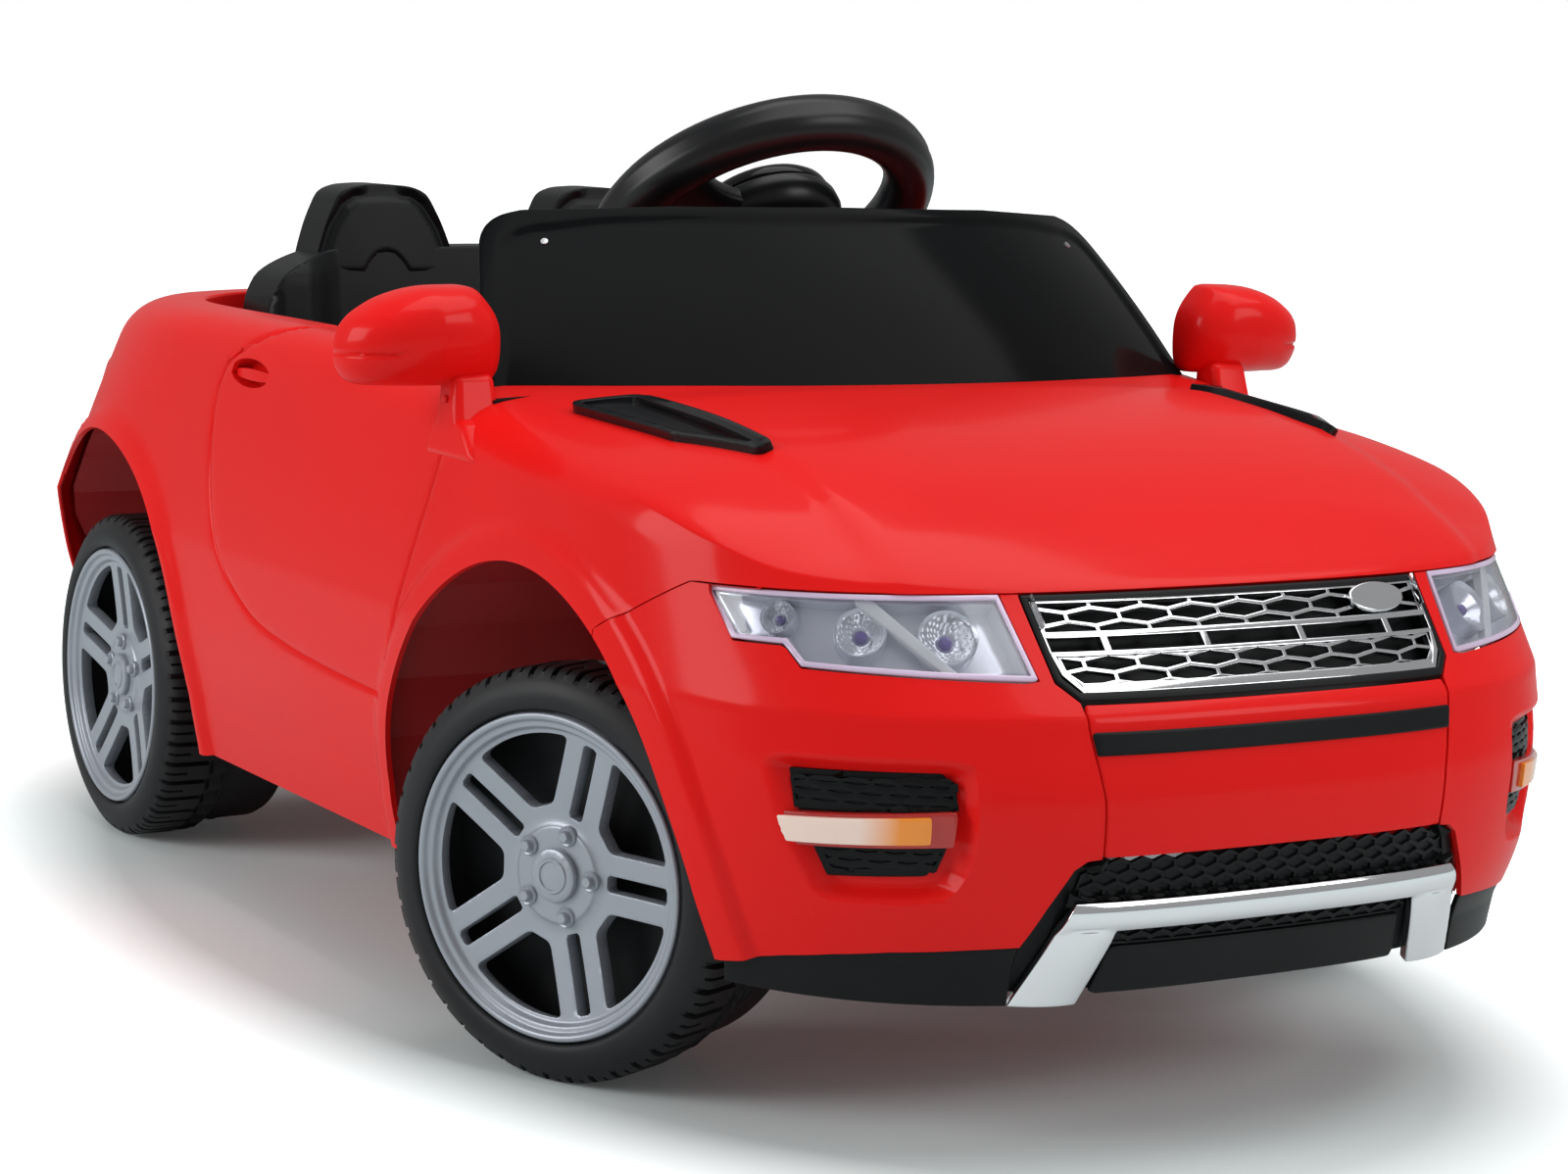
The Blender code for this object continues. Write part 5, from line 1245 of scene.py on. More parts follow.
def inset_cells(obj, bar, finish):
    """Inset every cell by half a bar, then finish its floor."""
    def inset():
        bpy.ops.mesh.inset(thickness=bar / 2, use_individual=True, use_even_offset=True)
    settle(obj)
    bpy.ops.object.mode_set(mode="EDIT")
    bpy.ops.mesh.select_mode(type="FACE")
    return edit_all(obj, inset, finish)


def open_cells(obj, bar):
    """Leave only bars of one width between the cells."""
    return inset_cells(obj, bar, lambda: bpy.ops.mesh.delete(type="FACE"))


def sink_cells(obj, bar, depth, slope=0.0005):
    """Sink the floor of every cell, leaving bars between them."""
    return inset_cells(obj, bar, lambda: bpy.ops.mesh.inset(thickness=slope, depth=-depth, use_individual=True,
                                                            use_even_offset=True))


def scoop(x, z):
    """Depth of the fog lamp scoop in the bumper: soft outside and above, crisp inside and below."""
    inside = SCOOP_SIDE(Vector((abs(x), 0, z)))
    if inside <= 0:
        return 0.0
    outward = smooth((abs(x) - 0.190) / 0.030)
    upward = smooth((z - 0.165) / 0.025)
    return SCOOP_DEPTH * smooth(inside / mix(0.0060, 0.0075, max(outward, upward)))


SCOOP = [(0.1572, 0.1945), (0.1556, 0.1500), (0.1640, 0.1285), (0.2110, 0.1262), (0.2262, 0.1600), (0.2312, 0.1935)]
SCOOP_SIDE = inside_outline(rounded(SCOOP, 0.0105, 6), (0, 2))


def bumper_place(s, t):
    point = body_place(s, t)
    if 0.15 < point.x < 0.24 and 0.12 < point.z < 0.20:
        depth = scoop(point.x, point.z)
        if depth:
            return point - nose_normal(point.x, point.z) * depth
    return point


def scoop_floor(x, z):
    return nose_point(x, z) - nose_normal(x, z) * SCOOP_DEPTH


class RIDEON_OT_bumpers(bpy.types.Operator):
    """Mould the front bumper with its scoops, the rear bumper and the black lip"""
    bl_idname = "rideon.bumpers"
    bl_label = "Bumpers"

    def execute(self, context):
        s = stops(0.030, 0.175, 31) + stops(0.175, 0.285, 84)[1:] + stops(0.285, 0.372, 26)[1:]
        t = stops(0, 0.30, 18) + stops(0.30, 0.90, 72)[1:] + stops(0.90, 2.0, 34)[1:]
        sheet = sheet_over(bumper_place, s, t)
        pin_corners(sheet, FOOT[1:2], (0, 2))
        foot = inside_outline(FOOT + [(0.30, 0.40), (-0.05, 0.40)], (0, 2), 0.4)
        trim(sheet, foot)
        cut_to(sheet, grown(SEAM, -SEAM_GAP), (1, 2))
        trim(sheet, arch_side(FRONT_ARCH))
        cut_out(sheet, CENTRE_GAP, (0, 2))
        cut_out(sheet, grown(LAMP, 0.0005), (0, 2))
        draw_line(sheet, SCOOP_SIDE, lambda p: p.y < -0.70)
        bumper = sheet_object("front_bumper", sheet, INSIDE_BODY)
        bumper = joined(bumper, copy_of(bumper, ACROSS))
        moulded(bumper, sizes().skin, sizes().edge)
        finish_piece(bumper, "front_bumper_skin", "red_plastic", "car", ["front_bumper"], "red_plastic")
        sheet = sheet_over(body_place, stops(0.78, 1.0, 70), stops(0, 2.0, 76))
        trim(sheet, inside_outline(grown(REAR_SEAM, -SEAM_GAP), (1, 2), 0.4))
        trim(sheet, arch_side(REAR_ARCH))
        rear = sheet_object("rear_bumper", sheet, INSIDE_BODY)
        mirror_across(rear)
        moulded(rear, sizes().skin, sizes().edge)
        finish_piece(rear, "rear_bumper_skin", "red_plastic", "car", ["rear_bumper"], "red_plastic")
        low = (VALANCE_BOTTOM - BODY_BOTTOM) / (WAIST_HEIGHT - BODY_BOTTOM)
        sheet = sheet_over(lip_place, stops(0.10, 0.372, 90), stops(low, 0.23, 18))
        trim(sheet, lambda p: -foot(p + Vector((0, 0, SEAM_GAP))))
        trim(sheet, lambda p: abs(p.x) - 0.1304)
        trim(sheet, arch_side(FRONT_ARCH))
        trim(sheet, lambda p: -0.690 - p.y)
        lip = sheet_object("bumper_lip", sheet, INSIDE_BODY)
        lip = joined(lip, copy_of(lip, ACROSS))
        moulded(lip, 0.0028, 0.0008, shade=32)
        finish_piece(lip, "bumper_lip", "black_plastic", "car", ["bumper_valance"], "black_plastic")
        return {"FINISHED"}


FOOT = [(-0.05, 0.1073), (0.1305, 0.1073), (0.1512, 0.1063), (0.1818, 0.1038), (0.2000, 0.1006), (0.2135, 0.0968),
        (0.2301, 0.0893), (0.3000, 0.0860)]


def lip_place(s, t):
    """The lip steps out in two flat bands below the bumper."""
    point = plain_body(s, t)
    fold = max(0.0, 0.0955 - point.z) * 0.24 - 0.0012
    out = Vector((point.x / 0.264, (point.y + NOSE_CENTRE) / 0.267, 0)).normalized()
    return point + out * fold


class RIDEON_OT_front(bpy.types.Operator):
    """Mould the centre panel, its strip, the lower mesh panel and the plated trim"""
    bl_idname = "rideon.front"
    bl_label = "Front panels"

    def execute(self, context):
        panel = nose_piece("centre_panel", grown(both_sides(PANEL_HALF), -0.0003), sizes().skin, edge=sizes().edge)
        finish_piece(panel, "centre_panel_skin", "red_plastic", "car", ["centre_panel"], "red_plastic")
        strip = nose_piece("strip", both_sides(STRIP_HALF), 0.0020, 0.0013, 0.0008)
        finish_piece(strip, "strip", "black_plastic", "car", ["front_strip"], "black_plastic")
        base = nose_piece("mesh_base", grown(both_sides(rounded(MESH_PANEL_HALF, 0.004)), -0.0004), 0.0025, -0.0040)
        raised = [(-0.0905, 0.0800), (0.0905, 0.0800), (0.0860, 0.1040), (-0.0860, 0.1040)]
        plate = nose_piece("plate", rounded(raised, 0.003), 0.0024, -0.0020, 0.0011, segments=3)
        reliefs = []
        for outline in ([(-0.1105, 0.1290), (0.1105, 0.1290), (0.1060, 0.1400), (0.1010, 0.1462), (-0.1010, 0.1462),
                         (-0.1060, 0.1400)],
                        [(-0.0875, 0.1055), (0.0875, 0.1055), (0.0850, 0.1145), (-0.0850, 0.1145)]):
            cells = honeycomb(outline, 0.0118, 0.0036, 0.0016, 0.1375)
            relief = cells_object("relief", cells)
            push(sink_cells(relief, 0.0012, 0.0012), -0.0034)
            reliefs.append(soft_shade(thicken(relief, 0.0008), 35))
        base = joined(base, plate, *reliefs)
        finish_piece(base, "lower_mesh", "black_plastic", "car", ["lower_mesh_panel"], "black_plastic")
        half = [(0.0, 0.1155)] + TRIM_INNER_HALF + TRIM_HALF[1:] + [(0.0, 0.1280)]
        sheet = nose_sheet(half, 0.0022, trim_place)
        trim(sheet, lambda p: p.x)
        bar = sheet_object("trim", sheet, INSIDE_BODY)
        mirror_across(bar)
        moulded(push(bar, 0.0024), 0.0062, 0.0014, 3, 45)
        finish_piece(bar, "plated_trim", "chrome_plating", "car", ["bumper_trim"], "chrome_plating")
        return {"FINISHED"}


def trim_place(x, z):
    """The plated trim is crowned along its length."""
    point = nose_point(x, z)
    if z >= 0.1155:
        point.y -= 0.0032 * (1 - ((z - 0.1215) / 0.0072) ** 2) * smooth((0.1290 - abs(x)) / 0.02)
    else:
        inner = mix(0.0980, 0.0865, (z - 0.0780) / 0.0375)
        outer = mix(0.1290, 0.1150, (z - 0.0780) / 0.0375)
        across = (abs(x) - (inner + outer) / 2) / (outer - inner) * 2
        point.y -= 0.0026 * (1 - min(across * across, 1.0))
    return point


def plate_of(outline):
    """One flat face on the nose with the given corners."""
    return object_of("plate", [nose_point(x, z) for x, z in outline], [tuple(range(len(outline)))])


def slat(obj):
    """Give a narrow strip on the nose its thickness and soft edges."""
    return moulded(push(obj, 0.0005), 0.0036, 0.0004, 2, 40, 40)


class RIDEON_OT_grille(bpy.types.Operator):
    """Build the grille: surround, plated honeycomb, slots and oval plate"""
    bl_idname = "rideon.grille"
    bl_label = "Grille"

    def execute(self, context):
        outer = both_sides(GRILLE_HALF)
        surround = nose_piece("surround", grown(outer, -0.0004), 0.0090, 0.0006, 0.0009, [grown(outer, -0.0040)])
        floor = nose_piece("grille_floor", grown(outer, -0.0010), 0.0012, -0.0084, 0)
        surround = joined(surround, floor)
        finish_piece(surround, "grille_frame", "black_plastic", "car", ["grille_surround"], "black_plastic")
        upper = [(-0.1108, 0.2468), (0.1108, 0.2468), (0.1124, 0.2598), (-0.1124, 0.2598)]
        lower = [(-0.1010, 0.2258), (0.1010, 0.2258), (0.1075, 0.2305), (0.1088, 0.2384), (-0.1088, 0.2384),
                 (-0.1075, 0.2305)]
        pieces = []
        for outline, row in ((upper, 0.2535), (lower, 0.2343)):
            cells = honeycomb(outline, pitch=0.0277, peak=0.00375, side=0.0018, row=row)
            net = open_cells(cells_object("net", cells), sizes().mesh_bar)
            pieces.append(moulded(push(net, -0.0004), 0.0030, 0.0005, 2, 40, 40))
        for low, high, reach in ((0.2448, 0.2472, 0.1122), (0.2373, 0.2391, 0.1110), (0.2590, 0.2608, 0.1134),
                                 (0.2224, 0.2260, 0.1024)):
            bar = sheet_object("bar", sheet_over(nose_point, stops(-reach, reach, 96), [low, high]), INSIDE_BODY)
            pieces.append(slat(bar))
        for side in (-1, 1):
            lower_end = [(0.1006, 0.2226), (0.1030, 0.2222), (0.1102, 0.2296), (0.1120, 0.2380), (0.1100, 0.2384),
                         (0.1074, 0.2308)]
            slot_end = [(0.1108, 0.2378), (0.1136, 0.2390), (0.1140, 0.2448), (0.1120, 0.2462), (0.1112, 0.2460)]
            upper_end = [(0.1104, 0.2455), (0.1126, 0.2455), (0.1140, 0.2600), (0.1118, 0.2600)]
            for outline in (lower_end, slot_end, upper_end):
                pieces.append(slat(plate_of([(side * x, z) for x, z in outline][::side])))
        for x in (-0.0825, -0.0280, 0.0280, 0.0825):
            rib = [(x - 0.0019, 0.2384), (x + 0.0019, 0.2384), (x + 0.0019, 0.2452), (x - 0.0019, 0.2452)]
            pieces.append(slat(plate_of(rib)))
        net = joined(pieces[0], *pieces[1:])
        finish_piece(net, "honeycomb_net", "chrome_plating", "car", ["grille_mesh"], "chrome_plating")
        oval = [(0.082 + 0.0178 * math.cos(a), 0.2538 + 0.0064 * math.sin(a)) for a in
                [2 * math.pi * k / 40 for k in range(40)]]
        plate = nose_piece("plate", oval, 0.0026, 0.0026, 0.0008, segments=3)
        finish_piece(plate, "oval_plate", "chrome_plating", "car", ["grille_plate"], "chrome_plating")
        return {"FINISHED"}


# Wheels: the axis is X and the outer face is at x = 0
TYRE_RADIUS = 0.1034
REAR_WHEEL_FACE = 0.252
KINGPIN_X = 0.155
KINGPIN_TO_FACE = 0.112
GROOVE_FLOOR = 0.0994
BARE_RADIUS = 0.0972
RIM_PROFILE = [(0.0080, -0.0098), (0.0236, -0.0098), (0.0248, -0.0108), (0.0290, -0.0116), (0.0340, -0.0112),
               (0.0690, -0.0068), (0.0712, -0.0064), (0.0728, -0.0060), (0.0742, -0.0034), (0.0760, -0.0030),
               (0.0770, -0.0027), (0.0780, -0.0008), (0.0795, -0.0001), (0.0806, -0.0002), (0.0815, -0.0014)]
SPOKE_HALF = 0.0148
SLOT_HALF = 0.0041
WINDOW_OUTER = 0.0706
WINDOW_INNER = 0.0345
BOLT_CIRCLE = 0.0213


def spun(name, profile, steps):
    """A solid turned round the X axis from (x, radius) points."""
    mesh = bpy.data.meshes.new(name)
    mesh.from_pydata([(x, 0, r) for x, r in profile], [(k, k + 1) for k in range(len(profile) - 1)], [])
    obj = bpy.data.objects.new(name, mesh)
    bpy.context.scene.collection.objects.link(obj)
    settle(obj)
    bpy.ops.object.mode_set(mode="EDIT")
    bpy.ops.mesh.select_all(action="SELECT")
    bpy.ops.mesh.spin(steps=steps, angle=2 * math.pi, center=(0, 0, 0), axis=(1, 0, 0))
    bpy.ops.mesh.select_all(action="SELECT")
    bpy.ops.mesh.remove_doubles(threshold=2e-5)
    bpy.ops.mesh.normals_make_consistent(inside=False)
    bpy.ops.object.mode_set(mode="OBJECT")
    return obj


def turned(outline, angle):
    c, s = math.cos(angle), math.sin(angle)
    return [(u * c - v * s, u * s + v * c) for u, v in outline]


def window_outline(centre):
    """The big window between two double spokes, round the given angle."""
    half = math.pi / 5
    reach = math.asin(SPOKE_HALF / WINDOW_OUTER)
    edge = half - reach
    points = []
    for k in range(15):
        a = mix(-edge, edge, k / 14)
        points.append((WINDOW_OUTER * math.cos(a), WINDOW_OUTER * math.sin(a)))
    side = WINDOW_INNER * math.tan(half) - SPOKE_HALF / math.cos(half)
    points += [(WINDOW_INNER, side), (WINDOW_INNER, -side)]
    return turned(round_some(points, 0.0030, (0, 14, 15, 16)), centre)


def round_some(outline, radius, which, steps=4):
    """Round the numbered corners of an outline."""
    result = []
    for k, here in enumerate(outline):
        if k not in which:
            result.append(here)
            continue
        here, a, b = Vector(here), Vector(outline[k - 1]), Vector(outline[(k + 1) % len(outline)])
        start = here + (a - here).normalized() * min(radius, (a - here).length * 0.9)
        end = here + (b - here).normalized() * min(radius, (b - here).length * 0.9)
        result += corner(start, here, end, steps)
    return result


def slot_outline(centre):
    box = rounded([(0.0300, -SLOT_HALF), (WINDOW_OUTER - 0.0008, -SLOT_HALF), (WINDOW_OUTER - 0.0008, SLOT_HALF),
                   (0.0300, SLOT_HALF)], 0.0014, 3)
    return turned(box, centre)


def rim_place(angle, radius):
    x = through(RIM_PROFILE, radius)
    return Vector((x, radius * math.cos(angle), radius * math.sin(angle)))


def make_rim():
    """Dished cover with five double spokes, stepped outer band and bolts."""
    radii = [0.0080, 0.0120, 0.0160, 0.0200, 0.0225, 0.0236, 0.0242, 0.0248, 0.0262, 0.0276, 0.0290]
    radii += stops(0.0304, 0.0690, 24) + [0.0701, 0.0706, 0.0712, 0.0720, 0.0728, 0.0735, 0.0742, 0.0751, 0.0760,
                                          0.0765, 0.0770, 0.0775, 0.0780, 0.0787, 0.0795, 0.0806, 0.0815]
    sheet = sheet_over(rim_place, round_stops(180), radii, TURN)
    for k in range(5):
        trim(sheet, outside_outline(slot_outline(math.radians(72 * k)), (1, 2)))
        trim(sheet, outside_outline(window_outline(math.radians(72 * k + 36)), (1, 2)))
    rim = sheet_object("rim", sheet, (-0.05, 0, 0))
    thicken(rim, 0.0078)
    round_edges(rim, 0.0009, 2, 40)
    bolts = []
    for k in range(5):
        bolt = spun("bolt", [(-0.0120, 0.0), (-0.0120, 0.0052), (-0.0088, 0.0052), (-0.0082, 0.0046), (-0.0086, 0.0038),
                             (-0.0086, 0.0031), (-0.0062, 0.0029), (-0.0056, 0.0023), (-0.0056, 0.0)], 20)
        a = math.radians(72 * k)
        bolt.data.transform(Matrix.Translation((0, BOLT_CIRCLE * math.cos(a), BOLT_CIRCLE * math.sin(a))))
        bolts.append(bolt)
    rim = joined(rim, *bolts)
    return soft_shade(rim, 40)


def make_cap():
    cap = spun("cap", [(-0.0150, 0.0), (-0.0150, 0.0120), (-0.0092, 0.0132), (-0.0078, 0.0136), (-0.0066, 0.0131),
                       (-0.0060, 0.0120), (-0.0060, 0.0092), (-0.0052, 0.0086), (-0.0052, 0.0074), (-0.0060, 0.0068),
                       (-0.0057, 0.0030), (-0.0056, 0.0)], 48)
    return soft_shade(cap, 35)


TREAD_PROFILE = [
    (-0.0360, 0.0075, 0), (-0.0360, 0.0822, 0), (-0.0030, 0.0823, 0), (-0.0016, 0.0827, 0), (-0.0004, 0.0840, 0),
    (0.0, 0.0862, 0), (0.0, 0.0895, 0), (-0.0007, 0.0925, 0), (-0.0020, 0.0955, 0), (-0.0030, 0.0972, 0),
    (-0.0036, 0.0980, 1), (-0.0052, 0.1008, 1), (-0.0084, 0.1030, 1), (-0.0120, 0.1034, 1), (-0.0190, 0.1034, 1),
    (-0.0196, 0.1034, 2), (-0.0330, 0.1034, 2), (-0.0336, 0.1034, 3), (-0.0362, 0.1030, 3), (-0.0368, 0.1028, 4),
    (-0.0450, 0.1026, 4), (-0.0456, 0.1020, 5), (-0.0470, 0.0980, 5), (-0.0490, BARE_RADIUS, 5),
    (-0.0600, BARE_RADIUS, 5), (-0.0604, BARE_RADIUS, 6), (-0.0632, BARE_RADIUS, 6), (-0.0636, BARE_RADIUS, 5),
    (-0.0860, 0.0966, 5), (-0.0905, 0.0945, 5), (-0.0920, 0.0915, 5), (-0.0918, 0.0880, 5), (-0.0430, 0.0800, 5),
    (-0.0430, 0.0180, 5), (-0.0880, 0.0180, 5), (-0.0880, 0.0063, 5)]
TREAD_STEPS = [0.00, 0.09, 0.12, 0.44, 0.47, 0.53, 0.56, 0.88, 0.91]


def tread_point(x, radius, kind, step):
    """A point of the tread: blocks split by a slit, then half blocks, then small dashes."""
    raised = step in (2, 3, 6, 7) or (step in (4, 5) and kind in (2,))
    if kind in (1, 2) and not raised:
        deep = kind == 1 and step in (4, 5)
        return x, min(radius, GROOVE_FLOOR + (0.0014 if deep else 0.0))
    if kind == 3:
        return x, min(radius, GROOVE_FLOOR)
    if kind == 4 and step not in (3, 4, 5, 6):
        return x, min(radius, GROOVE_FLOOR)
    if kind == 6 and step in (2, 3, 4, 5):
        return x, radius + 0.0006
    return x, radius


def make_tyre():
    """Moulded wheel with blocks on its outer shoulder and a plain inner band."""
    blocks = sizes().tread_blocks
    points, faces = [], []
    rings = blocks * len(TREAD_STEPS)
    for block in range(blocks):
        for step, share in enumerate(TREAD_STEPS):
            angle = 2 * math.pi * (block + share) / blocks
            for x, radius, kind in TREAD_PROFILE:
                x, r = tread_point(x, radius, kind, step)
                points.append((x, r * math.cos(angle), r * math.sin(angle)))
    n = len(TREAD_PROFILE)
    for ring in range(rings):
        after = (ring + 1) % rings
        for k in range(n):
            follow = (k + 1) % n
            faces.append([ring * n + k, ring * n + follow, after * n + follow, after * n + k])
    tyre = object_of("tyre", points, faces)
    return soft_shade(edit_all(tyre, face_out), 38)


def wheel_place(label, side):
    """Where a wheel's outer face stands, the front ones turned by the steering."""
    flip = Matrix.Diagonal((side, 1, 1, 1))
    if label == "rear":
        return Matrix.Translation((side * REAR_WHEEL_FACE, 0, TYRE_RADIUS)) @ flip
    steer = Matrix.Translation((side * KINGPIN_X, -WHEELBASE, 0)) @ Matrix.Rotation(STEER_REST, 4, "Z")
    return steer @ Matrix.Translation((side * KINGPIN_TO_FACE, 0, TYRE_RADIUS)) @ flip


class RIDEON_OT_wheels(bpy.types.Operator):
    """Make a wheel once and copy it to its four places"""
    bl_idname = "rideon.wheels"
    bl_label = "Wheels"

    def execute(self, context):
        pieces = {"tyre": make_tyre(), "rim": make_rim(), "centre_cap": make_cap()}
        looks = {"tyre": "tyre_black", "rim": "silver_paint", "centre_cap": "silver_paint"}
        for label, turn in (("front", math.pi), ("rear", math.pi / 2)):
            for side, word in ((1, "left"), (-1, "right")):
                place = wheel_place(label, side) @ Matrix.Rotation(turn, 4, "X")
                for piece, pattern in pieces.items():
                    finish_piece(copy_of(pattern, place), f"moulded_{piece}_{label}_{word}", looks[piece],
                                 f"wheel_{label}_{word}", [f"{piece}_{label}_{word}"], looks[piece])
        for pattern in pieces.values():
            bpy.data.objects.remove(pattern, do_unlink=True)
        return {"FINISHED"}


BOWLS = [(0.2165, 0.2520, 0.0082), (0.1893, 0.2475, 0.0122), (0.1545, 0.2465, 0.0140)]
LAMP_STRIP = [(0.1900, 0.2615), (0.1812, 0.2617), (0.1535, 0.2288), (0.1600, 0.2290)]
VENT = [(0.1685, -0.6945), (0.1755, -0.6925), (0.1990, -0.6480), (0.2085, -0.5600), (0.2050, -0.5545),
        (0.1745, -0.5640), (0.1712, -0.5760), (0.1690, -0.6500)]
TAIL_LAMP = [(0.135, 0.262), (0.215, 0.258), (0.222, 0.300), (0.130, 0.306)]
SCREEN = {"foot_half": 0.231, "top_half": 0.191, "foot_ahead": 0.572, "top_ahead": 0.490,
          "foot_sweep": 0.074, "top_sweep": 0.058, "top_height": 0.413, "foot": 0.318}
MIRROR = {"x": 0.2645, "ahead": 0.503, "z": 0.3570, "depth": 0.034}


def facing(place, normal):
    """A matrix that turns the X axis along a normal at a place."""
    return Matrix.Translation(place) @ normal.to_track_quat("X", "Z").to_matrix().to_4x4()


def hood_point(x, y):
    point = Vector((x, y, top_height(x, y)))
    point.z += body_relief(point)
    return point


def tail_point(x, z):
    share = (z - WAIST_HEIGHT) / (0.337 - WAIST_HEIGHT)
    half, _, tail, _, power, centre = flank_sizes(share)
    reach = min(abs(x) / half, 0.999)
    return Vector((x, (tail + centre) * (1 - reach ** power) ** (1 / power) - centre, z))


class RIDEON_OT_headlamps(bpy.types.Operator):
    """Build the headlamps: lens, border, bowls with rings, bulbs and the diagonal bar"""
    bl_idname = "rideon.headlamps"
    bl_label = "Headlamps"

    def execute(self, context):
        lens = nose_piece("lens", grown(LAMP, -0.0004), 0.0009, 0.0004, 0.0003)
        finish_both(lens, "lens", "clear_plastic", ["headlamp_lens"], "clear_plastic")
        rim = nose_piece("lens_border", grown(LAMP, -0.0003), 0.0024, 0.0010, 0.0006, [grown(LAMP, -0.0026)],
                         step=0.0016)
        finish_both(rim, "lens_border", "lens_rim")
        wall = nose_piece("wall", grown(LAMP, -0.0016), 0.0115, -0.0022, 0, [grown(LAMP, -0.0034)], step=0.0016)
        floor = nose_piece("floor", grown(LAMP, -0.0020), 0.0015, -0.0120, 0)
        parts = [wall, floor]
        for x, z, radius in BOWLS:
            bowl = spun("bowl", [(-0.0090, 0.0), (-0.0090, radius), (0.0, radius), (0.0010, radius * 0.97),
                                 (0.0004, radius * 0.92), (-0.0016, radius * 0.84), (-0.0008, radius * 0.80),
                                 (-0.0030, radius * 0.68), (-0.0022, radius * 0.64), (-0.0046, radius * 0.50),
                                 (-0.0038, radius * 0.46), (-0.0062, radius * 0.30), (-0.0066, 0.0)], 44)
            bowl.data.transform(facing(nose_point(x, z) - nose_normal(x, z) * 0.0032, nose_normal(x, z)))
            parts.append(bowl)
        flutes = []
        for k in range(5):
            x = 0.1275 + 0.0030 * k
            flute = nose_piece("flute", [(x, 0.2315), (x + 0.0021, 0.2316), (x + 0.0024, 0.2590 - 0.0014 * k),
                                         (x + 0.0003, 0.2590 - 0.0014 * k)], 0.0040, -0.0085, 0.0007, step=0.0020)
            flutes.append(flute)
        reflector = joined(parts[0], *parts[1:], *flutes)
        soft_shade(reflector, 40)
        finish_both(reflector, "lamp_bowls", "lamp_silver", ["headlamp_reflector"], "chrome_plating")
        bar = nose_piece("bar", LAMP_STRIP, 0.0050, -0.0014, 0.0009, step=0.0018)
        finish_both(bar, "lamp_bar", "lamp_white")
        bulbs = []
        for x, z, radius in BOWLS:
            bulb = spun("bulb", [(-0.0070, 0.0), (-0.0070, radius * 0.23), (-0.0038, radius * 0.22),
                                 (-0.0026, radius * 0.16), (-0.0022, 0.0)], 20)
            bulb.data.transform(facing(nose_point(x, z) - nose_normal(x, z) * 0.0032, nose_normal(x, z)))
            bulbs.append(bulb)
        bulb = soft_shade(joined(bulbs[0], *bulbs[1:]), 45)
        finish_both(bulb, "lamp_bulbs", "bulb_purple")
        return {"FINISHED"}


class RIDEON_OT_fog_lamps(bpy.types.Operator):
    """Build the fog lamp inserts with their honeycomb, bezels and bars"""
    bl_idname = "rideon.fog_lamps"
    bl_label = "Fog lamps"

    def execute(self, context):
        parts = []
        for outline in (UPPER_INSERT, LOWER_INSERT):
            parts.append(nose_piece("base", rounded(outline, 0.002, 3), 0.0034, 0.0014, 0.0010, step=0.0016,
                                    place=scoop_floor, segments=3))
            cells = honeycomb(grown(outline, -0.0016), 0.0104, 0.0032, 0.0014, 0.1776)
            relief = cells_object("relief", cells, scoop_floor)
            push(sink_cells(relief, 0.0011, 0.0021, 0.0004), 0.0027)
            parts.append(soft_shade(thicken(relief, 0.0007), 35))
        insert = joined(parts[0], *parts[1:])
        finish_both(insert, "scoop_insert", "black_plastic", ["fog_insert"], "black_plastic")
        bezel = nose_piece("bezel", rounded(LAMP_BEZEL, 0.0012, 3), 0.0060, 0.0062, 0.0008, step=0.0018,
                           place=scoop_floor)
        finish_both(bezel, "lamp_bezel", "bezel_red")
        bar = nose_piece("bar", rounded(LAMP_BAR, 0.0008, 2), 0.0050, 0.0082, 0.0010, step=0.0018, place=scoop_floor,
                         segments=3)
        finish_both(bar, "turn_bar", "amber_lens", ["turn_lamp"], "amber_lens")
        return {"FINISHED"}


def screen_point(u, v):
    """Outer face of the windscreen, with a raised border round a sunk middle."""
    sweep = abs(u) ** 2.2
    x = mix(SCREEN["foot_half"], SCREEN["top_half"], v) * u
    ahead = mix(SCREEN["foot_ahead"] - SCREEN["foot_sweep"] * sweep,
                SCREEN["top_ahead"] - SCREEN["top_sweep"] * sweep, v)
    z = mix(SCREEN["foot"], SCREEN["top_height"] - 0.006 * u * u, v) + 0.004 * math.sin(math.pi * v)
    return Vector((x, -ahead, z))


def screen_outline():
    half = [(0.0, 0.20), (0.2650, 0.20), (0.2290, 0.3290), (0.2190, 0.3560), (0.2035, 0.3955), (0.1955, 0.4150),
            (0.1740, 0.4205), (0.10, 0.4245), (0.0, 0.4255)]
    points = round_some(half, 0.016, (5,), 8)
    return points + [(-x, z) for x, z in reversed(points[1:-1])]


def screen_place(u, v):
    point = screen_point(u, v)
    inside = SCREEN_SIDE(point)
    border = mix(0.0040, 0.0075, smooth((abs(point.x) - 0.13) / 0.05))
    e = 1e-3
    normal = (screen_point(u + e, v) - screen_point(u - e, v)).cross(screen_point(u, v + e) - screen_point(u, v - e))
    return point - normal.normalized() * (0.0016 * smooth((inside - border) / 0.0040))


SCREEN_SIDE = inside_outline(screen_outline(), (0, 2), 0.2)


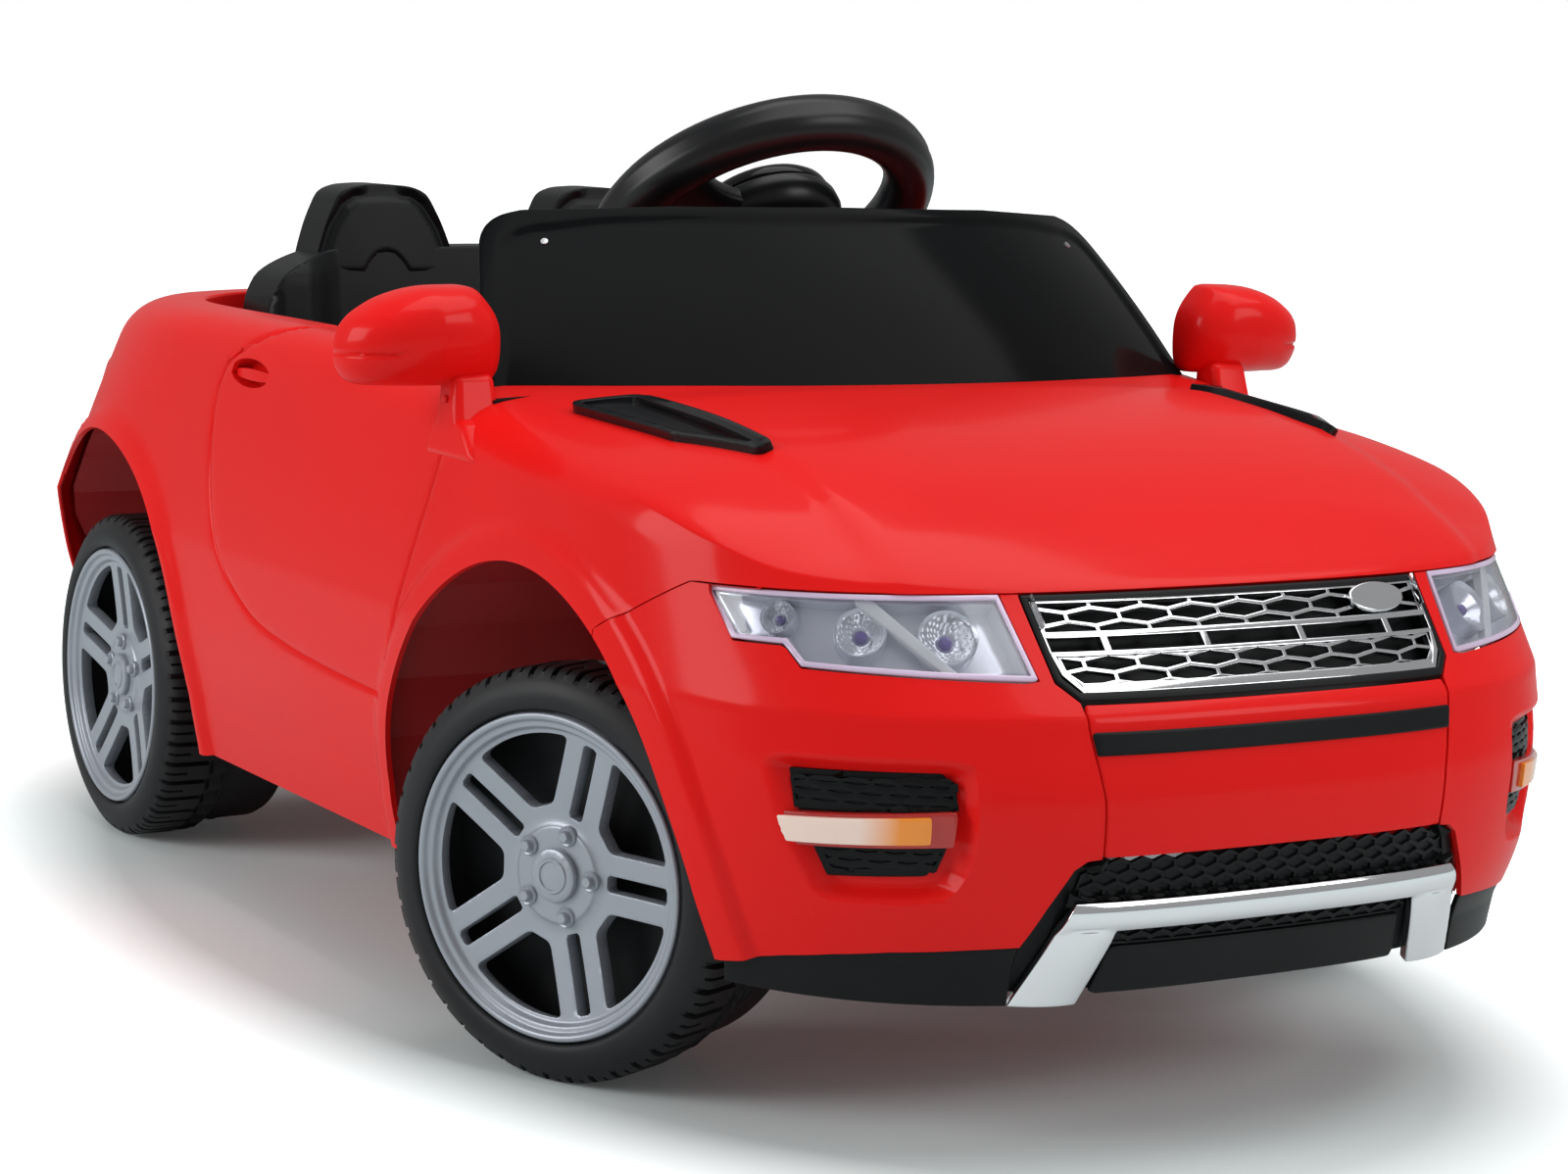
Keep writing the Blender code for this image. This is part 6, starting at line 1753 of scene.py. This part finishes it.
class RIDEON_OT_screen(bpy.types.Operator):
    """Mould the windscreen with its border, and the hood vents"""
    bl_idname = "rideon.screen"
    bl_label = "Windscreen and vents"

    def execute(self, context):
        sheet = sheet_over(screen_place, stops(0.0, 1.12, 104), stops(0, 1.24, 58))
        trim(sheet, SCREEN_SIDE)
        trim(sheet, lambda p: p.z - top_height(p.x, p.y) - body_relief(p) + 0.0012 if abs(p.x) < 0.245 else 0.01)
        screen = sheet_object("windscreen", sheet, (0, -0.3, 0.2))
        mirror_across(screen)
        moulded(screen, 0.0050, 0.0022, 5)
        screw = spun("screw", [(0.0, 0.0), (0.0, 0.0022), (0.0008, 0.0020), (0.0010, 0.0)], 16)
        spot = screen_place(0.885, 0.955)
        out = (screen_point(0.895, 0.955) - screen_point(0.875, 0.955)).cross(
            screen_point(0.885, 0.965) - screen_point(0.885, 0.945)).normalized()
        screw.data.transform(facing(spot, out))
        finish_both(screw, "screen_screw", "zinc_steel")
        finish_piece(screen, "glazing", "screen_black", "car", ["windscreen"], "gloss_black_plastic")
        outline = rounded(VENT, 0.003, 4)
        frame_part = nose_piece("vent", outline, 0.0070, 0.0046, 0.0014, [grown(outline, -0.0046)], step=0.0020,
                                place=hood_point, axes=(0, 1), segments=3)
        floor = nose_piece("floor", grown(outline, -0.0030), 0.0030, 0.0030, 0.0005, step=0.0024,
                           place=vent_floor, axes=(0, 1))
        vent = joined(frame_part, floor)
        finish_both(vent, "vent", "gloss_black_plastic", ["hood_vent"], "black_plastic")
        return {"FINISHED"}


def vent_floor(x, y):
    """The vent's floor falls away towards the car's middle."""
    point = hood_point(x, y)
    point.z -= 0.0018 * smooth((0.195 - x) / 0.03)
    return point


MIRROR_RIM = [(0.0395, 0.0020), (0.0408, -0.0060), (0.0395, -0.0160), (0.0320, -0.0238), (0.0150, -0.0250),
              (-0.0080, -0.0252),
              (-0.0300, -0.0250), (-0.0385, -0.0235), (-0.0425, -0.0170), (-0.0435, -0.0050), (-0.0425, 0.0060),
              (-0.0385, 0.0150), (-0.0310, 0.0240), (-0.0270, 0.0260), (-0.0200, 0.0265), (0.0000, 0.0255),
              (0.0180, 0.0205), (0.0310, 0.0130), (0.0370, 0.0070)]


def mirror_outline(share, angle):
    """Rim of the mirror housing: pointed inner top corner, flat foot, round outer end."""
    turn = angle / TURN * len(MIRROR_RIM)
    k = int(turn)
    point = curve_point([MIRROR_RIM[(k + n) % len(MIRROR_RIM)] for n in (-1, 0, 1, 2)], turn - k)
    oval = Vector((0.0400 * math.cos(angle), -0.0235 * math.sin(angle)))
    point = oval.lerp(point, share ** 1.5)
    return point.x * share, point.y * share


def mirror_place(angle, depth):
    """The housing's domed shell: depth 0 at the front pole and 1 at the rear edge."""
    share = (1 - (1 - min(depth, 1.0)) ** 2.8) ** (1 / 3.0)
    x, z = mirror_outline(share, angle)
    lean = (1 - depth) ** 1.5
    y = -MIRROR["ahead"] + MIRROR["depth"] * (depth - 0.5)
    groove = 0.0012 * smooth(1 - abs(z + 0.0085) / 0.0016) * smooth((x - 0.020) / 0.004)
    return Vector((MIRROR["x"] + x - 0.004 * lean - groove, y + 0.12 * (x if x > 0 else 0) + groove,
                   MIRROR["z"] + z + 0.001 * lean))


class RIDEON_OT_mirrors(bpy.types.Operator):
    """Model the door mirrors on their stems"""
    bl_idname = "rideon.mirrors"
    bl_label = "Mirrors"

    def execute(self, context):
        sheet = sheet_over(mirror_place, round_stops(190),
                           [0.0004, 0.003, 0.01, 0.025, 0.045, 0.07, 0.10, 0.14, 0.20, 0.27, 0.35, 0.44, 0.54, 0.65,
                            0.76, 0.87, 0.94, 1.0], TURN)
        housing = sheet_object("housing", sheet, (MIRROR["x"], -MIRROR["ahead"] + 0.01, MIRROR["z"]))
        pick_edges(housing, lambda edge: edge.is_boundary and edge.verts[0].co.y < -MIRROR["ahead"])
        bpy.ops.mesh.edge_face_add()
        bpy.ops.object.mode_set(mode="OBJECT")
        thicken(housing, 0.0024)
        round_edges(housing, 0.0009, 3, 50)
        stem = object_of("stem", *box_between((0.2285, -0.5240, 0.3060), (0.2560, -0.4960, 0.3060),
                                              (0.2300, -0.5150, 0.3400), (0.2530, -0.4960, 0.3400)))
        round_edges(stem, 0.0050, 5, 40)
        foot = object_of("foot", *box_between((0.2230, -0.5480, 0.2960), (0.2570, -0.4860, 0.2960),
                                              (0.2280, -0.5262, 0.3170), (0.2550, -0.4940, 0.3150)))
        round_edges(foot, 0.0046, 5, 40)
        screw = spun("screw", [(0.0, 0.0), (0.0, 0.0022), (0.0010, 0.0019), (0.0012, 0.0)], 14)
        screw.data.transform(Matrix.Translation((0.2548, -0.5080, 0.3265)))
        housing = soft_shade(joined(housing, stem, foot, screw), 45)
        finish_both(housing, "mirror_shell", "red_plastic", ["mirror_housing"], "red_plastic")
        sheet = sheet_over(glass_place, round_stops(72), [0.02, 0.25, 0.5, 0.75, 0.9, 1.0], TURN)
        glass = sheet_object("glass", sheet, (MIRROR["x"], -0.6, MIRROR["z"]))
        moulded(glass, 0.0015, 0.0004)
        finish_both(glass, "mirror_plate", "chrome_plating", ["mirror_glass"], "chrome_plating")
        return {"FINISHED"}


def glass_place(angle, share):
    x, z = mirror_outline(0.93 * share, angle)
    rear = -MIRROR["ahead"] + MIRROR["depth"] * 0.5 - 0.0048 + 0.10 * (x if x > 0 else 0)
    return Vector((MIRROR["x"] + x, rear, MIRROR["z"] + z))


def box_between(low_a, low_b, high_a, high_b):
    """Points and faces of a tapered box from its lower and upper rectangles."""
    points = []
    for a, b in ((low_a, low_b), (high_a, high_b)):
        points += [(a[0], a[1], a[2]), (b[0], a[1], a[2]), (b[0], b[1], a[2]), (a[0], b[1], a[2])]
    faces = [(3, 2, 1, 0), (4, 5, 6, 7)] + [(k, (k + 1) % 4, 4 + (k + 1) % 4, 4 + k) for k in range(4)]
    return points, faces


class RIDEON_OT_handles(bpy.types.Operator):
    """Sink the door handles and fit the tail lamps"""
    bl_idname = "rideon.handles"
    bl_label = "Door handles and tail lamps"

    def execute(self, context):
        y0, z0 = HANDLE["y"], HANDLE["z"]
        e = 1e-3
        out = (flank_point(y0 + e, z0) - flank_point(y0 - e, z0)).cross(
            flank_point(y0, z0 + e) - flank_point(y0, z0 - e)).normalized()
        out = out if out.x > 0 else -out
        profile = [(1.02, 0.0022), (1.00, 0.0030), (0.97, 0.0048), (0.94, 0.0085), (0.88, 0.0105), (0.6, 0.0112),
                   (0.3, 0.0114), (0.02, 0.0115)]

        def cup_place(angle, k):
            n = min(int(k), len(profile) - 2)
            share, depth = [mix(profile[n][i], profile[n + 1][i], k - n) for i in (0, 1)]
            y = y0 + HANDLE["half_y"] * share * math.cos(angle)
            z = z0 + HANDLE["half_z"] * share * math.sin(angle)
            return flank_point(y, z) - out * depth
        sheet = sheet_over(cup_place, round_stops(48), list(range(len(profile))), TURN)
        cup = sheet_object("cup", sheet, flank_point(y0, z0) - out * 0.03)
        soft_shade(thicken(cup, 0.0016))
        finish_both(cup, "handle_cup", "red_plastic")

        def bar_place(u, v):
            lens = math.sqrt(max(1 - (u * 1.04) ** 2, 0.0))
            y, z = y0 + u * HANDLE["half_y"], z0 + v * 0.0034 * (0.45 + 0.55 * lens) - 0.0010
            return flank_point(y, z) - out * (0.0014 + 0.0016 * u * u)
        sheet = sheet_over(bar_place, stops(-0.93, 0.93, 26), stops(-1, 1, 6))
        bar = sheet_object("bar", sheet, flank_point(y0, z0) - out * 0.03)
        moulded(bar, 0.0040, 0.0012, 3, 45)
        finish_both(bar, "handle_bar", "red_plastic")
        lamp = nose_piece("tail", rounded(TAIL_LAMP, 0.006, 4), 0.0030, 0.0028, 0.0010, place=tail_point, segments=3)
        finish_both(lamp, "tail_lens", "red_lens", ["tail_lamp"], "red_lens")
        return {"FINISHED"}


WHEEL_CENTRE = Vector((0.0, -0.386, 0.417))
COLUMN_RAKE = math.radians(37.7)
STEERING_RADIUS = 0.0880
HEAD = [(0.0, 0.4212), (0.0200, 0.4198), (0.0310, 0.4155), (0.0405, 0.3975), (0.0475, 0.3780), (0.0520, 0.3600),
        (0.0545, 0.3400), (0.0545, 0.2900)]
HEAD_PANEL = [(0.0, 0.4130), (0.0190, 0.4118), (0.0270, 0.4065), (0.0360, 0.3930), (0.0425, 0.3760), (0.0465, 0.3635),
              (0.0145, 0.3635), (0.0090, 0.3715), (0.0045, 0.3755), (0.0, 0.3760)]
BOARD = [(0.0, 0.3820), (0.1180, 0.3800), (0.1380, 0.3735), (0.1500, 0.3680), (0.1590, 0.3620), (0.1660, 0.3500),
         (0.1700, 0.3300), (0.1710, 0.2800), (0.1480, 0.2600), (0.1450, 0.1900)]
HEAD_X = 0.0795


def steering_frame():
    """From the lathe's X axis to the steering column's axis, turned with the front wheels."""
    turn = Matrix.Rotation(-COLUMN_RAKE, 4, "X") @ Matrix.Rotation(STEER_REST, 4, "Z")
    return Matrix.Translation(WHEEL_CENTRE) @ turn @ Matrix.Rotation(math.radians(-90), 4, "Y")


def closed(obj):
    """Close the open ends of a tube."""
    return edit_all(obj, lambda: bpy.ops.mesh.fill_holes(sides=0), face_out)


def tube_of(name, sections, steps=24, power=3.0):
    """A closed arm through (centre, half width, half height) sections, wide along Y."""
    def place(angle, k):
        n = min(int(k), len(sections) - 2)
        w = smooth(k - n)
        (a, wa, ha), (b, wb, hb) = sections[n], sections[n + 1]
        c, s = math.cos(angle), math.sin(angle)
        half, high = mix(wa, wb, w), mix(ha, hb, w)
        centre = Vector(a).lerp(Vector(b), k - n)
        direction = (Vector(b) - Vector(a)).normalized()
        side = direction.cross(Vector((1, 0, 0))).normalized()
        up = Vector((1, 0, 0))
        return (centre + side * half * math.copysign(abs(c) ** (2 / power), c)
                + up * high * math.copysign(abs(s) ** (2 / power), s))
    rows = [n / 4 for n in range(4 * (len(sections) - 1) + 1)]
    sheet = sheet_over(place, round_stops(steps), rows, TURN)
    return closed(sheet_object(name, sheet, sections[len(sections) // 2][0]))


class RIDEON_OT_steering(bpy.types.Operator):
    """Turn the steering wheel, its hub and spokes, the hub cover and the horn buttons"""
    bl_idname = "rideon.steering"
    bl_label = "Steering wheel"

    def execute(self, context):
        frame_of = steering_frame()
        section = []
        for k in range(33):
            a = 2 * math.pi * k / 32
            out = math.copysign(abs(math.cos(a)) ** 0.9, math.cos(a))
            groove = 0.0011 * smooth(1 - abs(a if a < math.pi else 2 * math.pi - a) / 0.14)
            section.append((0.0158 * math.sin(a), STEERING_RADIUS + 0.0146 * out - groove))
        rim = spun("rim", section, 96)
        hub = spun("hub", [(-0.034, 0.0), (-0.034, 0.017), (-0.028, 0.022), (-0.022, 0.036), (-0.017, 0.042),
                           (-0.009, 0.0448), (-0.003, 0.0440), (-0.0010, 0.0425), (-0.0010, 0.0)], 64)
        arms = []
        for side in (-1, 1):
            arms.append(tube_of("spoke", [((-0.010, 0, side * 0.030), 0.0175, 0.0075),
                                          ((-0.006, 0, side * 0.055), 0.0135, 0.0075),
                                          ((-0.001, 0, side * 0.082), 0.0165, 0.0080)]))
        arms.append(tube_of("lower_spoke", [((-0.010, 0.030, 0), 0.0150, 0.0070), ((-0.005, 0.055, 0), 0.0105, 0.0065),
                                            ((0.0, 0.082, 0), 0.0130, 0.0065)]))
        wheel = soft_shade(joined(rim, hub, *arms), 45)
        wheel.data.transform(frame_of)
        finish_piece(wheel, "steering_rim", "wheel_black", "steering", ["steering_wheel"], "gloss_black_plastic")
        cover = spun("cover", [(0.0003, 0.0), (0.0003, 0.0400), (0.0012, 0.0412), (0.0030, 0.0414), (0.0060, 0.0405),
                               (0.0085, 0.0380), (0.0092, 0.0362), (0.0086, 0.0350), (0.0096, 0.0338),
                               (0.0126, 0.0290), (0.0150, 0.0215), (0.0164, 0.0120), (0.0169, 0.0)], 64)
        soft_shade(cover, 40)
        cover.data.transform(frame_of)
        finish_piece(cover, "hub_dome", "gloss_black_plastic", "steering", ["hub_cover"], "gloss_black_plastic")
        for side, label in ((1, "left"), (-1, "right")):
            low, high = 0.0490, 0.0610
            button = object_of("button", *box_between((-0.0076, low, -0.0030), (0.0036, high, -0.0030),
                                                      (-0.0070, low + 0.0006, 0.0074), (0.0030, high - 0.0006, 0.0074)))
            round_edges(button, 0.0016, 4, 30)
            place = Matrix(((0, 0, 1, 0), (1, 0, 0, 0), (0, -side, 0, 0), (0, 0, 0, 1)))
            button.data.transform(frame_of @ place)
            soft_shade(edit_all(button, face_out), 40)
            finish_piece(button, f"horn_pad_{label}", "silver_paint", f"horn_{label}", [f"horn_button_{label}"],
                         "silver_paint")
        return {"FINISHED"}


def seat_front(x, z):
    """Front face of the backrest with its side bolsters."""
    y = -0.0686 + 0.16 * (z - 0.200)
    bolster = smooth((abs(x) - 0.1120) / 0.030) * smooth((0.1765 - abs(x)) / 0.016)
    y -= 0.0170 * bolster * smooth((0.395 - z) / 0.035)
    y -= 0.0040 * smooth((0.330 - z) / 0.02) * smooth((z - 0.215) / 0.02) * smooth((0.105 - abs(x)) / 0.012)
    return Vector((x, y, z))


PANEL_SIDE = inside_outline(HEAD_PANEL + [(-x, z) for x, z in reversed(HEAD_PANEL[1:-1])], (0, 2), 0.05)


def head_front(x, z):
    """Front face of a headrest: raised border, groove and raised panel with an arch at its foot."""
    point, dx = seat_front(0.0, z), x - HEAD_X
    inside = PANEL_SIDE(Vector((dx, 0, z)))
    raised = smooth(inside / 0.0026)
    if z > 0.3625:
        raised = max(raised, smooth((-inside - 0.0026) / 0.0026) * smooth((abs(dx) - 0.016) / 0.006 + (z > 0.38)))
    return Vector((x, point.y + 0.0020 + 0.9 * dx * dx - 0.0030 * raised, z))


def cushion_point(angle, share):
    """The bench: a crowned top with two seat hollows, falling off all round."""
    c, s = math.cos(angle), math.sin(angle)
    half_x, half_y, power = 0.1465, 0.1000, 6.0
    reach = (abs(c) ** power + abs(s) ** power) ** (-1 / power)
    top = min(share, 1.0)
    inset = 1 - 0.050 * max(0.0, 1 - share) if share < 1 else 1.0
    x, y = half_x * c * reach * top * inset, half_y * s * reach * top
    z = 0.2120
    if share < 1:
        z += 0.004 * (1 - share ** 6)
        z -= 0.007 * smooth(1 - abs(abs(x) - 0.072) / 0.055) * smooth(1 - abs(y + 0.01) / 0.08)
    else:
        z -= 0.057 * (share - 1)
        x *= 1 - 0.02 * (share - 1)
    return Vector((x, -0.1400 + y, z))


def backed(obj, depth):
    """Draw a front face back to a plain rear face."""
    settle(obj)
    bpy.ops.object.mode_set(mode="EDIT")
    bpy.ops.mesh.select_mode(type="FACE")
    bpy.ops.mesh.select_all(action="SELECT")
    bpy.ops.mesh.extrude_region_move(TRANSFORM_OT_translate={"value": (0, depth, 0)})
    bm = bmesh.from_edit_mesh(obj.data)
    for vertex in bm.verts:
        if vertex.select:
            vertex.co.y = seat_front(0.0, vertex.co.z).y + depth
    bmesh.update_edit_mesh(obj.data)
    bpy.ops.mesh.select_all(action="SELECT")
    bpy.ops.mesh.normals_make_consistent(inside=False)
    bpy.ops.object.mode_set(mode="OBJECT")
    return obj


class RIDEON_OT_seat(bpy.types.Operator):
    """Mould the seat: bench, backrest board with bolsters, and two headrests"""
    bl_idname = "rideon.seat"
    bl_label = "Seat"

    def execute(self, context):
        behind = (0, 0.30, 0.30)
        board_outline = BOARD + [(-x, z) for x, z in reversed(BOARD[1:])]
        parts = [sheet_object("board", nose_sheet(rounded(board_outline, 0.012, 4), 0.0040, seat_front), behind)]
        backed(parts[0], 0.032)
        round_edges(parts[0], 0.0085, 5, 60)
        outline = [(x + HEAD_X, z) for x, z in HEAD + [(-x, z) for x, z in reversed(HEAD[1:])]]
        head = sheet_object("head", nose_sheet(rounded(outline, 0.008, 4), 0.0020, head_front), behind)
        backed(head, 0.038)
        round_edges(head, 0.0070, 5, 60)
        parts += [head, copy_of(head, ACROSS)]
        sheet = sheet_over(cushion_point, round_stops(120),
                           [0.02] + stops(0.08, 0.97, 26) + [1.0, 1.04, 1.3, 1.7, 2.0], TURN)
        bench = closed(sheet_object("bench", sheet, (0, -0.14, 0.18)))
        round_edges(bench, 0.0060, 4, 50)
        parts.append(bench)
        seat = soft_shade(joined(parts[0], *parts[1:]), 50)
        finish_piece(seat, "seat_moulding", "black_plastic", "car", ["seat"], "black_plastic")
        return {"FINISHED"}


def dash_place(x, v):
    """The dashboard's skin: from under the hood over its top edge and down its rear face."""
    top = top_height(x, -0.455) - 0.0060
    path = [(-0.520, top - 0.001), (-0.462, top), (-0.4505, top - 0.0012), (-0.4432, top - 0.0065),
            (-0.4412, top - 0.016), (-0.4405, 0.296), (-0.4430, 0.2700)]
    n = min(int(v), len(path) - 2)
    (ya, za), (yb, zb) = path[n], path[n + 1]
    return Vector((x, mix(ya, yb, v - n), mix(za, zb, v - n)))


def beside_column(point):
    """Distance from the steering shaft's bore."""
    axis = Vector((0, math.sin(COLUMN_RAKE), math.cos(COLUMN_RAKE)))
    away = point - WHEEL_CENTRE
    return (away - axis * away.dot(axis)).length - 0.0115


class RIDEON_OT_dashboard(bpy.types.Operator):
    """Mould the dashboard with its openings for the switches and the steering shaft"""
    bl_idname = "rideon.dashboard"
    bl_label = "Dashboard"

    def execute(self, context):
        rows = [0, 0.5, 0.9, 1, 1.25, 1.5, 1.75, 2, 2.25, 2.5, 2.75, 3, 3.5, 4]
        rows += [4 + k / 12 for k in range(1, 13)] + [5.5, 6]
        sheet = sheet_over(dash_place, stops(-0.2330, 0.2330, 118), rows)
        trim(sheet, beside_column)
        for x in (-0.090, 0.090):
            opening = [(x - 0.0091, 0.2954), (x + 0.0091, 0.2954), (x + 0.0091, 0.3166), (x - 0.0091, 0.3166)]
            cut_out(sheet, rounded(opening, 0.0016, 3), (0, 2))
        skin = sheet_object("dashboard", sheet, (0, -0.480, 0.300))
        moulded(skin, 0.0030, 0.0009, 3)
        finish_piece(skin, "dashboard_skin", "black_plastic", "car", ["dashboard"], "black_plastic")
        return {"FINISHED"}


OPERATORS = [RIDEON_OT_finishes, RIDEON_OT_stage, RIDEON_OT_body, RIDEON_OT_bumpers, RIDEON_OT_front,
             RIDEON_OT_grille, RIDEON_OT_headlamps, RIDEON_OT_fog_lamps, RIDEON_OT_screen, RIDEON_OT_mirrors,
             RIDEON_OT_handles, RIDEON_OT_wheels, RIDEON_OT_steering, RIDEON_OT_seat, RIDEON_OT_dashboard]


class RIDEON_PT_panel(bpy.types.Panel):
    bl_idname = "RIDEON_PT_panel"
    bl_label = "Ride-on car"
    bl_space_type = "VIEW_3D"
    bl_region_type = "UI"
    bl_category = "Ride-on car"

    def draw(self, context):
        for group in (context.scene.car_sizes, context.scene.car_colours):
            box = self.layout.box()
            for key in group.__annotations__:
                box.prop(group, key)
        for operator in OPERATORS:
            self.layout.operator(operator.bl_idname)


def register():
    for cls in [CarSizes, CarColours] + OPERATORS + [RIDEON_PT_panel]:
        bpy.utils.register_class(cls)
    bpy.types.Scene.car_sizes = PointerProperty(type=CarSizes)
    bpy.types.Scene.car_colours = PointerProperty(type=CarColours)


def unregister():
    del bpy.types.Scene.car_colours
    del bpy.types.Scene.car_sizes
    for cls in reversed([CarSizes, CarColours] + OPERATORS + [RIDEON_PT_panel]):
        bpy.utils.unregister_class(cls)


def main():
    register()
    for operator in OPERATORS:
        group, name = operator.bl_idname.split(".")
        getattr(getattr(bpy.ops, group), name)()


if __name__ == "__main__":
    main()
